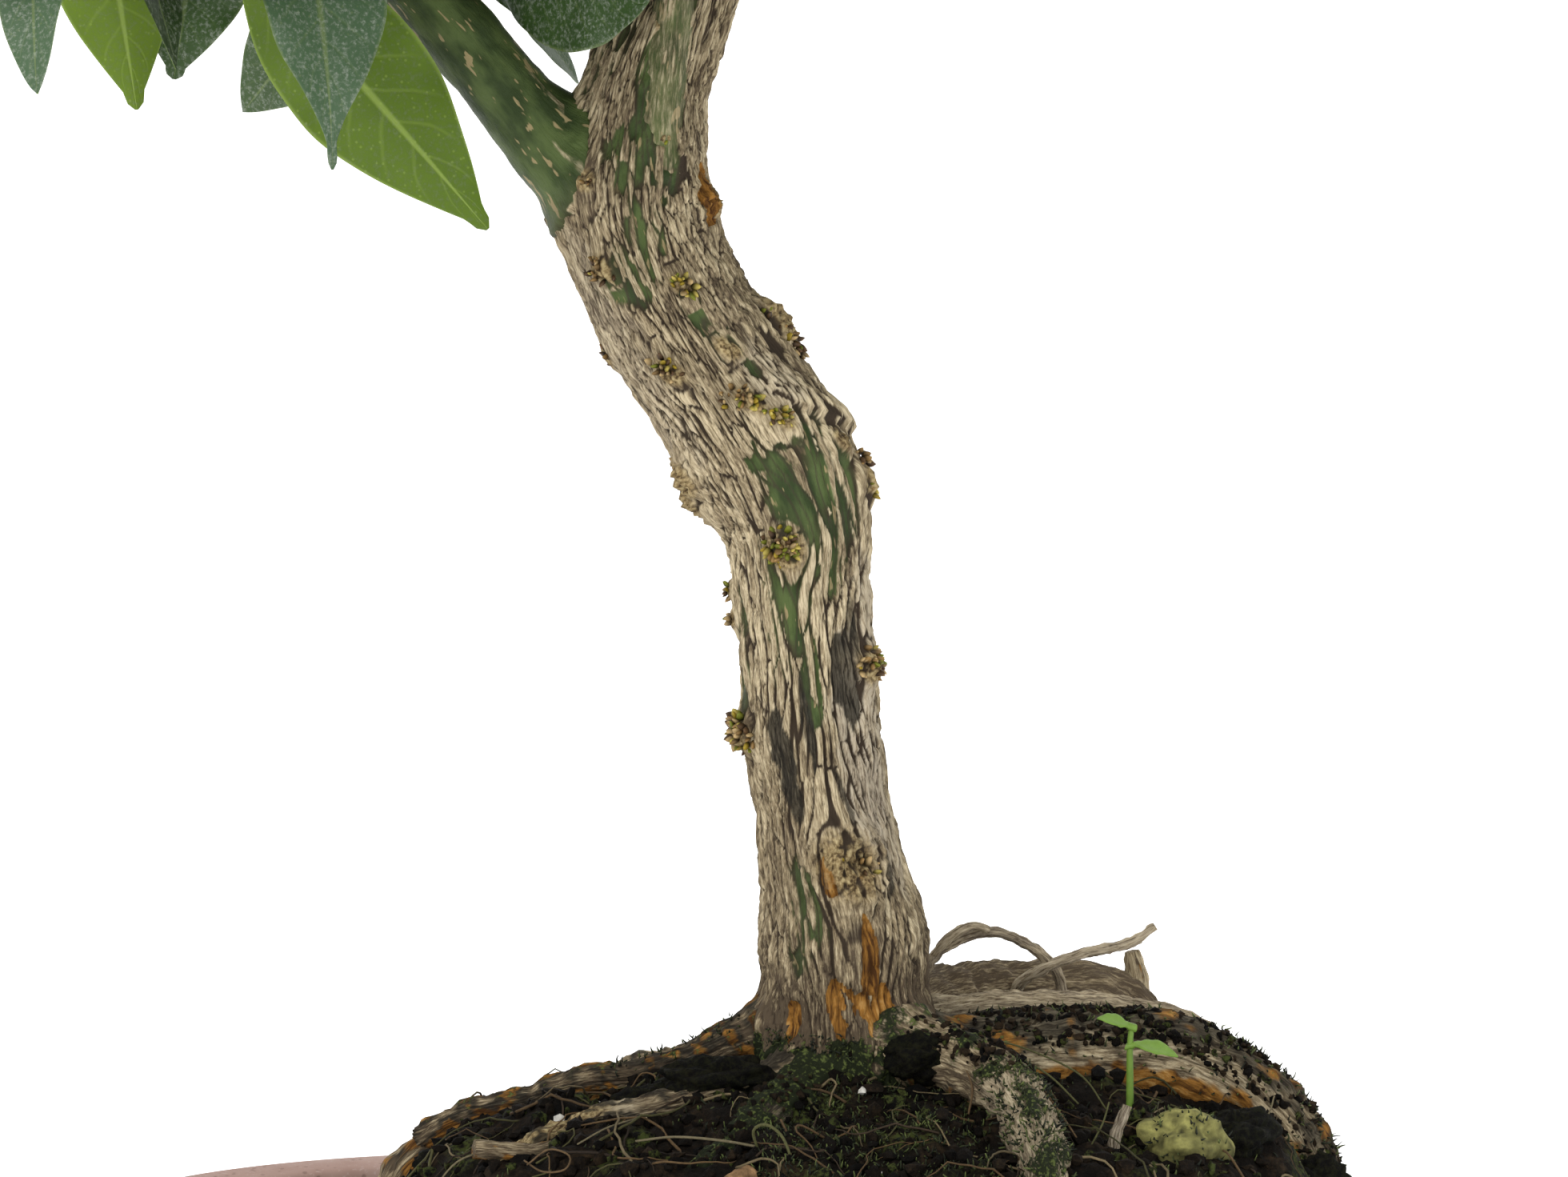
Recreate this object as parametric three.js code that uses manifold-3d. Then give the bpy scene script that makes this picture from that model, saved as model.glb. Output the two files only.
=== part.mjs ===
// Chinotto orange bonsai with its surface roots, in an unglazed pot with soft corners.
// Millimetres, Z up, X along the pot's long side, -Y is the front of the tree.
// The origin lies on the surface that the pot stands on, under the middle of the pot.
// The tables count X from a line beside the trunk's foot; the group then moves the pot to the origin.

import * as THREE from 'three';
import { mergeVertices } from 'three/addons/utils/BufferGeometryUtils.js';
import Module from 'manifold-3d';

const wasm = await Module();
wasm.setup();

const vec = (x, y, z) => new THREE.Vector3(x, y, z);
const GOLDEN_TURN = Math.PI * (3 - Math.sqrt(5));
const GAP = 0.3;
// Joined surfaces are thinned by folding slivers into their neighbours, within this distance
const FINE_SLIVER = 0.05;
const WOOD_SLIVER = 0.12;

// Pot: half sizes at the lip, heights and wall
const POT_HALF_LENGTH = 111;
const POT_HALF_DEPTH = 84;
const POT_X = -22;
const POT_HEIGHT = 54.5;
const POT_CORNER_POWER = 3.2;
const POT_SIDES = 32;
const FOOT_HEIGHT = 6;
const FLOOR_TOP = 12.5;
const FOOT_SIZE = [34, 15];
const FOOT_PLACE = [66, 44];
const FOOT_CORNER = 5;
const HOLE_RADIUS = 7;
const HOLE_X = [POT_X - 46, POT_X + 46];
// Wall outline as [inset from the lip's outer edge, height]
const POT_OUTSIDE = [
  [22, FOOT_HEIGHT], [16.5, 8], [11, 24], [7, 40.5], [1.2, 42.6], [0, 45], [0, 52.6], [1.6, POT_HEIGHT],
];
const POT_INSIDE = [[7.8, POT_HEIGHT], [9, 53], [12.5, 40], [17, 22], [24, FLOOR_TOP]];
const DRAIN_SIDES = 14;

// Soil: a raised root mound inside the pot
const SOIL_EDGE_HEIGHT = 47;
const MOUND_CENTRE = [-6, 0];
const MOUND_HALF = [71, 54];
const MOUND_POWER = 2.5;
const MOUND_TOP = 87;
const MOUND_FALL = [11, 8];
// Edge of the soil: insets from the lip, then shares of the mound's outline from its foot to its top
const SOIL_EDGE_INSET = 11 + GAP;
const SOIL_SKIRT_INSET = 22;
const MOUND_SHARES = [1.16, 1.02, 0.9, 0.76, 0.5, 0.25];
// Slope of the mound: shares where it starts and ends, and height of its foot
const MOUND_SLOPE = [0.78, 1.16];
const MOUND_FOOT = SOIL_EDGE_HEIGHT + 1;
const LUMPS = [0.8, 0.7];
const SCREEN_SIZE = 26;
const SCREEN_THICK = 1.2;
const SCREEN_CELL = 7.6;
const SCREEN_OPENING = 5.4;

// Trunk centre line as [x, y, z, radius]
const TRUNK = [
  [-6.6, 2, 66, 9], [-7.0, 2, 78, 14.0], [-7.3, 2, 89, 12.6], [-7.8, 2, 97, 11.4], [-8.2, 2, 104.5, 11.9],
  [-9.5, 2, 112.6, 10.2], [-11.2, 2, 123, 9.2], [-12.8, 2, 135, 9.4], [-13.8, 2, 146, 9.3],
  [-14.5, 2, 155, 9.3], [-15.2, 2, 163, 10.1], [-17.6, 2, 169.5, 11.1], [-21.6, 2, 176.6, 11.3],
  [-26.0, 2, 183.2, 10.7], [-30.6, 2, 190.4, 10.6], [-34.2, 2, 198, 10.7], [-36.6, 2, 206, 10.9],
  [-36.6, 2, 214, 9.8], [-35.0, 2, 224, 8.5], [-31.2, 2.4, 234.5, 7.9], [-27.4, 3, 246, 7.0],
  [-24.2, 3.4, 257, 5.8], [-21.6, 3, 269, 4.4], [-19.6, 2, 281, 3.0], [-18.6, 1, 291, 2.0],
];
// Branches as [x, y, z, radius]
const BRANCHES = {
  left: [
    [-39, 2, 205, 6.6], [-47.5, 1.2, 213.6, 6.3], [-54.2, 0.2, 221.8, 5.7], [-65.3, -1, 235, 5.2],
    [-76, -2.5, 246.6, 4.5], [-86, -4, 256.4, 3.6], [-95, -5, 265, 2.5],
  ],
  right: [[-26.6, 3, 248, 4.4], [-14, 2, 257, 4.0], [2, 0, 265, 3.2], [17, -2, 272, 2.4], [29, -3, 279, 1.7]],
  back: [[-25, 5, 252, 3.8], [-23, 13, 261, 3.2], [-20, 21, 270, 2.4], [-17, 28, 279, 1.7]],
  front: [
    [-33.2, -5.6, 211, 2.1], [-33.0, -6.3, 219, 2.3], [-31.8, -6.3, 230, 2.3], [-30.6, -9, 241, 2.2],
    [-29.8, -15, 252, 2.0], [-28.6, -21, 262, 1.6],
  ],
  leftBack: [[-64, -1, 233.5, 3.8], [-67, 8, 245, 3.0], [-71, 16, 256, 2.3], [-74, 22, 267, 1.6]],
  leftFront: [[-74, -2.5, 244.5, 3.0], [-79, -10, 252, 2.3], [-82, -16, 260, 1.6]],
  rightBack: [[0, 0, 264, 2.6], [6, 9, 272, 2.1], [11, 17, 281, 1.5]],
  rightFront: [[-8, 1, 261, 2.6], [-3, -10, 268, 2.1], [2, -19, 276, 1.5]],
};
// Surface roots as [x, y, z, radius]
const ROOTS = {
  leftUpper: [
    [-10, 1, 94, 5.5], [-20, 2, 91.4, 3.4], [-29, 1, 87.6, 2.4], [-38, -1, 85.4, 2.0],
    [-44, -1, 84.9, 1.9], [-53, 0, 81.6, 1.9], [-62, 2, 78.8, 2.0], [-68, 3.5, 75, 2.0],
  ],
  leftMain: [
    [-10, 4, 84, 8.0], [-20, 6, 84.5, 5.5], [-29, 7, 83, 4.6], [-39, 8, 80, 4.2], [-50, 8, 77.6, 4.0],
    [-61, 6, 75, 3.9], [-69, 4.5, 70.8, 3.8], [-73, 3.5, 63, 3.4], [-74, 3, 54, 2.8],
  ],
  leftFront: [
    [-12, -4, 85, 6.0], [-21, -11, 85.8, 3.6], [-31, -15, 84.6, 3.0], [-42, -18, 82.6, 2.8],
    [-50, -21, 80, 2.9], [-55, -23, 76, 2.4], [-58, -24, 70, 1.8],
  ],
  cutStub: [[-44, -19.5, 81.4, 2.0], [-49, -25, 80.6, 1.9], [-57.6, -28, 81.6, 2.1]],
  rightMain: [
    [0, 4, 84, 7.0], [13, 7, 86, 6.6], [27, 8, 86.2, 6.8], [40, 7, 85.4, 6.6], [49, 5, 81.2, 6.0],
    [55.2, 3, 75, 5.4], [58.6, 1, 68, 4.8], [60.4, -1, 59, 3.9], [61, -2, 51, 3.0],
  ],
  rightTop: [
    [-4, 8, 91, 4.0], [8, 14, 91.6, 2.2], [18, 15.5, 92.0, 2.2], [30, 14.5, 91.6, 2.3], [40, 12, 90.0, 2.4],
    [48, 8, 85.6, 2.2],
  ],
  frontMossy: [
    [-3, -4, 90, 6.0], [7, -11, 89.6, 4.4], [13, -18, 88, 4.2], [15.6, -25, 85.2, 4.0],
    [16.6, -33, 82.8, 3.8], [17, -41, 79.6, 3.4], [17, -49, 73, 2.8], [17, -54, 63, 2.2],
  ],
  frontCross: [
    [-9, -40, 73.4, 2.2], [-2, -46, 76.8, 3.0], [6, -47.6, 78.6, 3.2], [13.5, -45.4, 78.4, 3.2],
    [18, -40, 77.4, 3.0], [17, -34, 78, 2.4],
  ],
  backRight: [
    [-3, 10, 90, 6.4], [3, 20, 91.4, 5.0], [10, 29, 91, 4.8], [21, 36, 90.2, 4.6], [31, 40, 89, 4.4],
    [38, 43, 84, 4.0], [40, 46, 75, 3.4], [41, 48, 65, 2.6],
  ],
  backPost: [[36.6, 42, 86, 2.6], [37.2, 42.4, 91, 2.0], [36.4, 42.4, 95, 1.2]],
  backLeft: [
    [-14, 10, 86, 6.0], [-24, 20, 82, 4.6], [-35, 28, 78.6, 4.2], [-46, 34, 74, 3.8], [-54, 39, 67, 3.0],
    [-57, 42, 59, 2.2],
  ],
  frontLeft: [
    [-12, -8, 84, 6.0], [-18, -19, 84, 3.8], [-23, -29, 81.4, 3.2], [-29, -38, 77.4, 2.7],
    [-34, -46, 70, 2.2], [-36, -51, 61, 1.6],
  ],
  dryArch: [
    [3, 20, 92, 0.9], [5, 22, 97.4, 0.8], [9, 24, 100, 0.8], [14, 25.4, 101, 0.8], [19.6, 26.6, 98.8, 0.8],
    [23.6, 27.6, 95, 0.8], [25.6, 28, 88, 0.8],
  ],
  dryFork: [[5.4, 22.2, 98.2, 0.7], [7.6, 21.4, 101, 0.7], [11, 22.6, 102.4, 0.7], [13.4, 23.6, 101.6, 0.7]],
  dryReach: [
    [17, 33.4, 88, 1.0], [18.6, 28, 93, 0.9], [23.4, 24, 96.6, 0.8], [28.4, 21.8, 98.8, 0.8],
    [34, 20.2, 100.4, 0.8], [37.6, 20, 102.8, 0.6],
  ],
};
const TRUNK_SIDES = 14;
const BRANCH_SIDES = 7;
const ROOT_SIDES = 7;
const THIN_ROOT_SIDES = 5;
const THIN_ROOT = 2.7;
const TWIG_SIDES = 4;
const ROOT_CLEARANCE = GAP + 0.3;

// Old bud clusters and scars: [height on the trunk, turn from the front towards +X in degrees, size]
const KNOTS = [
  [231, 0, 1.2], [215.5, 21, 1.3], [209.8, -36, 1.4], [207.4, 60, 2.6], [197.9, -35, 2.0],
  [195.6, 14, 1.5], [186.2, -88, 1.5], [187, 20, 1.6], [184.1, -25, 1.8], [190.5, 84, 3.2],
  [179.9, 12, 1.8], [177.5, 24, 1.6], [174.5, 62, 2.2], [167.5, -76, 3.4], [168.2, 82, 2.3],
  [159.8, -8, 2.9], [153.5, -88, 1.2], [149.4, -86, 1.2], [143.2, 62, 2.6], [133.7, -88, 2.9],
  [116.3, 12, 4.4], [200, 150, 2.2], [181, -140, 2.4], [158, 165, 2.6], [139, -160, 2.4],
  [121, 140, 2.8],
];

// Crown: an egg-shaped dome; the shoots start on a smaller dome inside it
const CROWN_SEED = 7;
const CROWN_CENTRE = [-20, 0, 249];
const CROWN_RADII = [108, 78, 97];
const SHOOT_DEPTH = [50, 48, 50];
const SHOOT_COUNT = 38;
const SHOOT_RISE = [0.06, 0.98];
const SHOOT_LENGTH = [22, 31];
const SHOOT_RADIUS = [1.5, 0.8];
const LEAVES_A_SHOOT = 8;
const LEAF_PLACES = [0.17, 0.94];
const LEAF_LENGTH = [33, 45];
const LEAF_WIDTH_SHARE = 0.45;
const LEAF_THICK = 1.2;
const PETIOLE = 4.6;
const LEAF_BEND = [0.5, 1.0];
const LEAF_FOLD = 0.32;
const LEAF_ROWS = [0, 0.32, 0.7];
const LEAF_BASE_HALF = 1.0;
const STALK_SINK = 0.6;
// Below this slanted level only the leaves of the hanging sprays reach: height at y = 0 and rise along Y
const CROWN_FLOOR = [236.5, 0.085];
const CROWN_LIMITS = { left: -130, right: 88, depth: 82.5, top: 347 };
const BLADE_CLEARANCE = 3.0;
const KIN_CLEARANCE = 2.0;
const KIN_FREE = 0.06;
const TWIG_CLEARANCE = 1.5;
const NEIGHBOUR_REACH = 56;
// Tilts and turns in radians tried in order until a leaf hangs clear of its neighbours
const LEAF_TILTS = [0, -0.35, 0.35, -0.7, 0.7];
const LEAF_TURNS = [0, 0.4, -0.4, 0.8, -0.8, 1.2, -1.2];

// Sprays that hang at the left: twig path, then leaves by twig point, tip, side faced, width, bend and fold
const HANGING_SPRAYS = [
  {
    path: [
      [-97.8, -5.4, 266.9, 1.8], [-104, -5.6, 265, 1.6], [-110.6, -6.4, 262, 1.4], [-117.4, -8, 259, 1.1],
    ],
    leaves: [
      { place: 2, tip: [-111.8, -34, 219.8], face: [-0.35, -0.9, 0.2], width: 11, bend: 0.2, fold: 0.15 },
      { place: 1, tip: [-107.7, 12, 220.5], face: [-0.2, 0.95, 0.1], width: 18.6, bend: 0.2, fold: 0.2 },
      { place: 1, tip: [-99, -6, 224.9], face: [0.95, -0.3, 0.1], width: 15, bend: 0.15, fold: 0.2 },
    ],
  },
  {
    path: [[-79, -19.5, 257, 1.8], [-81, -21, 253, 1.6], [-87, -17, 248.5, 1.4], [-93.5, -10.5, 243.2, 1.1]],
    leaves: [
      { place: 2, tip: [-56.5, -10, 203.2], face: [0.1, 1, 0.05], width: 20, bend: 0.25, fold: 0.1 },
      { place: 0, tip: [-74.8, -30, 210.3], face: [0.55, -0.8, 0.1], width: 19, bend: 0.4, fold: 0.2 },
    ],
  },
  {
    path: [[-70.6, 8.2, 239.4, 1.6], [-74, 9.8, 241.4, 1.4], [-87, 13.4, 249, 1.2], [-100, 17, 257.6, 1]],
    leaves: [
      { place: 0, tip: [-94.9, 26, 221], face: [-0.2, -0.9, -0.2], width: 14.5, bend: 0.3, fold: 0.15 },
      { place: 2, tip: [-103.1, 16, 225.0], face: [0.1, -0.95, 0.1], width: 17.5, bend: 0.2, fold: 0.15 },
    ],
  },
  {
    path: [[-59.4, 3.2, 237.4, 1.6], [-58.5, 7, 236.8, 1.3], [-61.5, 13, 243, 1.1], [-69, 20, 250, 0.9]],
    leaves: [
      { place: 0, tip: [-33.9, -19, 233.6], face: [-0.6, -0.65, -0.1], width: 16, bend: 0.15, fold: 0.15 },
      { place: 2, tip: [-47.1, 38, 225.9], face: [0.7, -0.45, 0.5], width: 11, bend: 0.3, fold: 0.2 },
    ],
  },
];

// Seedling weed, stones and a dry stick on the mound
const SEEDLING_STEM = [
  [30.7, -14, 80, 0.55], [30.6, -14, 88, 0.55], [30.6, -14, 93, 0.5], [30.8, -14, 95.4, 0.5],
];
const COTYLEDON_FACE = [0.1, -0.5, 0.9];
const COTYLEDONS = [
  { root: [30.8, -14, 95], base: [30.2, -14.1, 95.2], tip: [26, -15, 96.4], width: 2.7 },
  { root: [30.6, -14, 92.4], base: [31.4, -14.2, 92.6], tip: [36.9, -16, 91.3], width: 3.0 },
];
const SEEDLING_LEAF_THICK = 0.7;
const STONES = {
  mossy_stone: { centre: [36.8, -24, 80.6], radii: [6.2, 5.4, 5.2], turn: 0.5 },
  brown_stone: { centre: [-22, -41, 79.4], radii: [3.6, 3.0, 2.8], turn: 1.2 },
};
const STICK = [[26.8, -28.4, 68, 0.8], [27.4, -28, 77, 0.8], [27.3, -27, 82.4, 0.8], [29, -26.2, 87, 0.7]];

// Colours from the tree in daylight
const FINISHES = {
  bark: { color: 0x8b7a63, roughness: 0.85, metalness: 0 },
  leaf: { color: 0x3f6b24, roughness: 0.4, metalness: 0 },
  terracotta: { color: 0xa98078, roughness: 0.8, metalness: 0 },
  peat: { color: 0x1c1612, roughness: 0.95, metalness: 0 },
  screen: { color: 0x2c2f2c, roughness: 0.6, metalness: 0 },
  stone: { color: 0x6b6a45, roughness: 0.9, metalness: 0 },
  sprout: { color: 0x7db53c, roughness: 0.5, metalness: 0 },
};

// Seeded generator, so that every build grows the same tree
function seeded(seed) {
  let state = seed >>> 0;
  return () => {
    state = (state + 0x6d2b79f5) >>> 0;
    let mixed = Math.imul(state ^ (state >>> 15), state | 1);
    mixed ^= mixed + Math.imul(mixed ^ (mixed >>> 7), mixed | 61);
    return ((mixed ^ (mixed >>> 14)) >>> 0) / 4294967296;
  };
}

const between = (range, share) => range[0] + (range[1] - range[0]) * share;

function geometryFrom(positions, indices) {
  const geometry = new THREE.BufferGeometry();
  geometry.setAttribute('position', new THREE.Float32BufferAttribute(positions, 3));
  geometry.setIndex(indices);
  return geometry;
}

function solid(source) {
  const bare = source.clone();
  bare.deleteAttribute('normal');
  bare.deleteAttribute('uv');
  const merged = mergeVertices(bare, 1e-4);
  const mesh = new wasm.Mesh({
    numProp: 3,
    vertProperties: Float32Array.from(merged.attributes.position.array),
    triVerts: Uint32Array.from(merged.index.array),
  });
  return new wasm.Manifold(mesh);
}

function geometryOf(body) {
  const mesh = body.getMesh();
  return geometryFrom(Array.from(mesh.vertProperties), Array.from(mesh.triVerts));
}

const join = (bodies) => bodies.reduce((whole, body) => whole.add(body));
// Outer skin alone, so that a hollow sealed by joining is filled
const filled = (body) => body.decompose().reduce((a, b) => (b.volume() > a.volume() ? b : a));
// Thinned body, read back at the precision that its mesh keeps
const thinned = (body, sliver) => solid(geometryOf(body.simplify(sliver)));
const cut = (body, tools) => tools.reduce((rest, tool) => rest.subtract(tool), body);

// Closed solid from rings of equal point count, each end closed by a fan from the ring's first point
function loft(rings) {
  const count = rings[0].length;
  const indices = [];
  for (let i = 0; i < count; i += 1) {
    const j = (i + 1) % count;
    for (let k = 0; k < rings.length - 1; k += 1) {
      const low = k * count;
      const high = low + count;
      indices.push(low + i, low + j, high + j, low + i, high + j, high + i);
    }
  }
  const last = (rings.length - 1) * count;
  for (let i = 1; i < count - 1; i += 1) indices.push(0, i + 1, i, last, last + i, last + i + 1);
  return geometryFrom(rings.flat().flatMap((p) => [p.x, p.y, p.z]), indices);
}

// Smooth line through a path's points, with the radius carried along it
function routeOf(path) {
  const curve = new THREE.CatmullRomCurve3(path.map(([x, y, z]) => vec(x, y, z)), false, 'centripetal');
  const radiusAt = (t) => {
    const place = Math.min(t * (path.length - 1), path.length - 1 - 1e-9);
    const k = Math.floor(place);
    return path[k][3] + (path[k + 1][3] - path[k][3]) * (place - k);
  };
  return { curve, radiusAt };
}

// Tapered limb along a path; swell adds a share of the radius by angle and place, grow adds clearance
function limb(path, sides, stepsASpan, { swell = () => 0, grow = 0 } = {}) {
  const { curve, radiusAt } = routeOf(path);
  const steps = Math.max(1, Math.round((path.length - 1) * stepsASpan));
  const rings = [];
  let across = vec(0, -1, 0);
  for (let k = 0; k <= steps; k += 1) {
    const t = k / steps;
    const along = curve.getTangent(t);
    if (Math.abs(along.dot(across)) > 0.95) across = vec(1, 0, 0);
    across.addScaledVector(along, -along.dot(across)).normalize();
    const side = vec(0, 0, 0).crossVectors(along, across);
    const centre = curve.getPoint(t);
    if (k === 0) centre.addScaledVector(along, -grow);
    if (k === steps) centre.addScaledVector(along, grow);
    const ring = [];
    for (let i = 0; i < sides; i += 1) {
      const angle = (2 * Math.PI * i) / sides;
      const radius = (radiusAt(t) + grow) * (1 + swell(angle, t));
      const outer = centre.clone().addScaledVector(across, Math.cos(angle) * radius);
      ring.push(outer.addScaledVector(side, Math.sin(angle) * radius));
    }
    rings.push(ring);
  }
  return solid(loft(rings));
}

// Share of the full width along a leaf: narrow at the stalk, widest before the middle, pointed tip
const leafOutline = (u) => Math.sin(Math.PI * u ** 0.8) ** 0.85;

// Axes of a leaf from its base, tip and the side that its upper face looks to
function leafAxes(leaf) {
  const chord = leaf.tip.clone().sub(leaf.base);
  const along = chord.clone().normalize();
  const up = leaf.face.clone().addScaledVector(along, -leaf.face.dot(along)).normalize();
  const side = vec(0, 0, 0).crossVectors(up, along);
  return { along, up, side, reach: chord.length() };
}

// Rib point and local up at u: the rib is an arc from base to tip that rises first and then falls
function ribAt(leaf, axes, u) {
  const half = leaf.bend / 2;
  const radius = axes.reach / (2 * Math.sin(half));
  const angle = half - leaf.bend * u;
  const point = leaf.base.clone()
    .addScaledVector(axes.along, radius * (Math.sin(half) - Math.sin(angle)))
    .addScaledVector(axes.up, radius * (Math.cos(angle) - Math.cos(half)));
  const up = axes.along.clone().multiplyScalar(-Math.sin(angle)).addScaledVector(axes.up, Math.cos(angle));
  return { point, up };
}

// Point of the folded blade at u along and v across, from -1 to 1
function bladePoint(leaf, axes, u, v) {
  const { point, up } = ribAt(leaf, axes, u);
  const half = Math.max((leaf.width / 2) * leafOutline(u), u < 0.5 ? leaf.baseHalf : 0);
  return point
    .addScaledVector(axes.side, half * v * Math.cos(leaf.fold))
    .addScaledVector(up, half * Math.abs(v) * Math.sin(leaf.fold));
}

// Blade with its stalk: four points a row, left edge, rib above, right edge and rib below
function blade(leaf, rows = LEAF_ROWS) {
  const axes = leafAxes(leaf);
  const stalk = leaf.root.clone().sub(leaf.base).normalize();
  const points = [leaf.root.clone().addScaledVector(stalk, STALK_SINK)];
  rows.forEach((u) => {
    const { point, up } = ribAt(leaf, axes, u);
    points.push(
      bladePoint(leaf, axes, u, -1),
      point.clone().addScaledVector(up, leaf.thick / 2),
      bladePoint(leaf, axes, u, 1),
      point.clone().addScaledVector(up, -leaf.thick / 2),
    );
  });
  points.push(leaf.tip);
  const last = points.length - 1;
  const indices = [];
  for (let i = 0; i < 4; i += 1) {
    const j = (i + 1) % 4;
    indices.push(0, 1 + i, 1 + j, last, last - 4 + j, last - 4 + i);
  }
  for (let k = 0; k < rows.length - 1; k += 1) {
    const low = 1 + 4 * k;
    const high = low + 4;
    for (const [edge, rib, turned] of [[0, 1, true], [2, 1, false], [2, 3, true], [0, 3, false]]) {
      const quad = [low + edge, high + rib, low + rib, low + edge, high + edge, high + rib];
      indices.push(...(turned ? quad : quad.toReversed()));
    }
  }
  return solid(geometryFrom(points.flatMap((p) => [p.x, p.y, p.z]), indices));
}

const RIB_SAMPLES = [0, 0.1, 0.2, 0.3, 0.4, 0.5, 0.6, 0.7, 0.8, 0.9, 1];
const ACROSS_SAMPLES = [-1, -0.5, 0, 0.5, 1];

function leafSamples(leaf) {
  const axes = leafAxes(leaf);
  return RIB_SAMPLES.flatMap((u) => ACROSS_SAMPLES.map((v) => ({ u, point: bladePoint(leaf, axes, u, v) })));
}

function twigSamples(path) {
  const { curve, radiusAt } = routeOf(path);
  const count = Math.max(2, Math.ceil(curve.getLength() / 3));
  return Array.from({ length: count + 1 }, (_, k) => ({
    point: curve.getPoint(k / count),
    radius: radiusAt(k / count),
  }));
}

// Superellipse ring of the pot at an inset from the lip and a height
function potRing(inset, height) {
  return Array.from({ length: POT_SIDES }, (_, i) => {
    const angle = (2 * Math.PI * i) / POT_SIDES;
    const [c, s] = [Math.cos(angle), Math.sin(angle)];
    const power = 2 / POT_CORNER_POWER;
    const x = Math.sign(c) * Math.abs(c) ** power * (POT_HALF_LENGTH - inset);
    const y = Math.sign(s) * Math.abs(s) ** power * (POT_HALF_DEPTH - inset);
    return vec(POT_X + x, y, height);
  });
}

function pot() {
  const rings = [...POT_OUTSIDE, ...POT_INSIDE].map(([inset, height]) => potRing(inset, height));
  const body = solid(loft(rings));
  const [width, depth] = FOOT_SIZE.map((size) => size / 2 - FOOT_CORNER);
  const outline = new THREE.Shape();
  outline.absarc(width, depth, FOOT_CORNER, 0, Math.PI / 2);
  outline.absarc(-width, depth, FOOT_CORNER, Math.PI / 2, Math.PI);
  outline.absarc(-width, -depth, FOOT_CORNER, Math.PI, 1.5 * Math.PI);
  outline.absarc(width, -depth, FOOT_CORNER, 1.5 * Math.PI, 2 * Math.PI);
  const extrusion = { depth: FOOT_HEIGHT + 2, bevelEnabled: false, curveSegments: 3 };
  const block = new THREE.ExtrudeGeometry(outline, extrusion);
  const feet = [];
  for (const way of [-1, 1]) {
    for (const row of [-1, 1]) {
      const place = [POT_X + way * FOOT_PLACE[0], row * FOOT_PLACE[1], 0];
      feet.push(solid(block.clone().translate(...place)));
    }
  }
  const drains = HOLE_X.map((x) => {
    const drill = new THREE.CylinderGeometry(HOLE_RADIUS, HOLE_RADIUS, 2 * FLOOR_TOP, DRAIN_SIDES);
    return solid(drill.rotateX(Math.PI / 2).translate(x, 0, FLOOR_TOP));
  });
  return cut(join([body, ...feet]), drains);
}

// Plastic net over a drainage hole
function drainageScreen(x) {
  const half = SCREEN_SIZE / 2;
  const sheet = new THREE.BoxGeometry(SCREEN_SIZE, SCREEN_SIZE, SCREEN_THICK);
  const openings = [];
  for (const i of [-1, 0, 1]) {
    for (const j of [-1, 0, 1]) {
      const opening = new THREE.BoxGeometry(SCREEN_OPENING, SCREEN_OPENING, half);
      openings.push(solid(opening.translate(i * SCREEN_CELL, j * SCREEN_CELL, 0)));
    }
  }
  return cut(solid(sheet), openings).translate([x, 0, FLOOR_TOP + GAP + SCREEN_THICK / 2]);
}

// Height of the soil's surface on the mound, with low lumps
function moundHeight(x, y, share) {
  const [cx, cy] = MOUND_CENTRE;
  const fallX = MOUND_FALL[0] * ((x - cx) / MOUND_HALF[0]) ** 2;
  const fallY = MOUND_FALL[1] * ((y - cy) / MOUND_HALF[1]) ** 2;
  const top = MOUND_TOP - fallX - fallY;
  const slope = THREE.MathUtils.smoothstep(share, ...MOUND_SLOPE);
  const lumps = LUMPS[0] * Math.sin(x * 0.31 + y * 0.17) + LUMPS[1] * Math.sin(y * 0.37 - x * 0.12);
  return top + (MOUND_FOOT - top) * slope + lumps * (1 - slope * 0.6);
}

function moundRing(share) {
  return Array.from({ length: POT_SIDES }, (_, i) => {
    const angle = (2 * Math.PI * i) / POT_SIDES;
    const [c, s] = [Math.cos(angle), Math.sin(angle)];
    const power = 2 / MOUND_POWER;
    const x = MOUND_CENTRE[0] + Math.sign(c) * Math.abs(c) ** power * MOUND_HALF[0] * share;
    const y = MOUND_CENTRE[1] + Math.sign(s) * Math.abs(s) ** power * MOUND_HALF[1] * share;
    return vec(x, y, moundHeight(x, y, share));
  });
}

function soil(tools) {
  const floor = FLOOR_TOP + GAP;
  const wall = POT_INSIDE.slice(2).reverse().map(([inset, height]) => (
    potRing(inset + GAP, Math.max(height, floor))
  ));
  const edge = potRing(SOIL_EDGE_INSET, SOIL_EDGE_HEIGHT);
  const skirt = potRing(SOIL_SKIRT_INSET, SOIL_EDGE_HEIGHT + 0.6);
  const body = solid(loft([...wall, edge, skirt, ...MOUND_SHARES.map(moundRing)]));
  return cut(body, tools);
}

function stone({ centre, radii, turn }, grow = 0) {
  const ball = new THREE.IcosahedronGeometry(1, 1);
  const place = ball.attributes.position;
  for (let i = 0; i < place.count; i += 1) {
    const p = vec(place.getX(i), place.getY(i), place.getZ(i));
    const bump = 1 + 0.1 * Math.sin(3 * p.x + 5 * p.y + 2) + 0.07 * Math.sin(6 * p.z + 2 * p.x);
    const [x, y, z] = radii.map((radius, axis) => p.getComponent(axis) * (radius * bump + grow));
    place.setXYZ(i, x, y, z);
  }
  return solid(ball.rotateZ(turn).translate(...centre));
}

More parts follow.
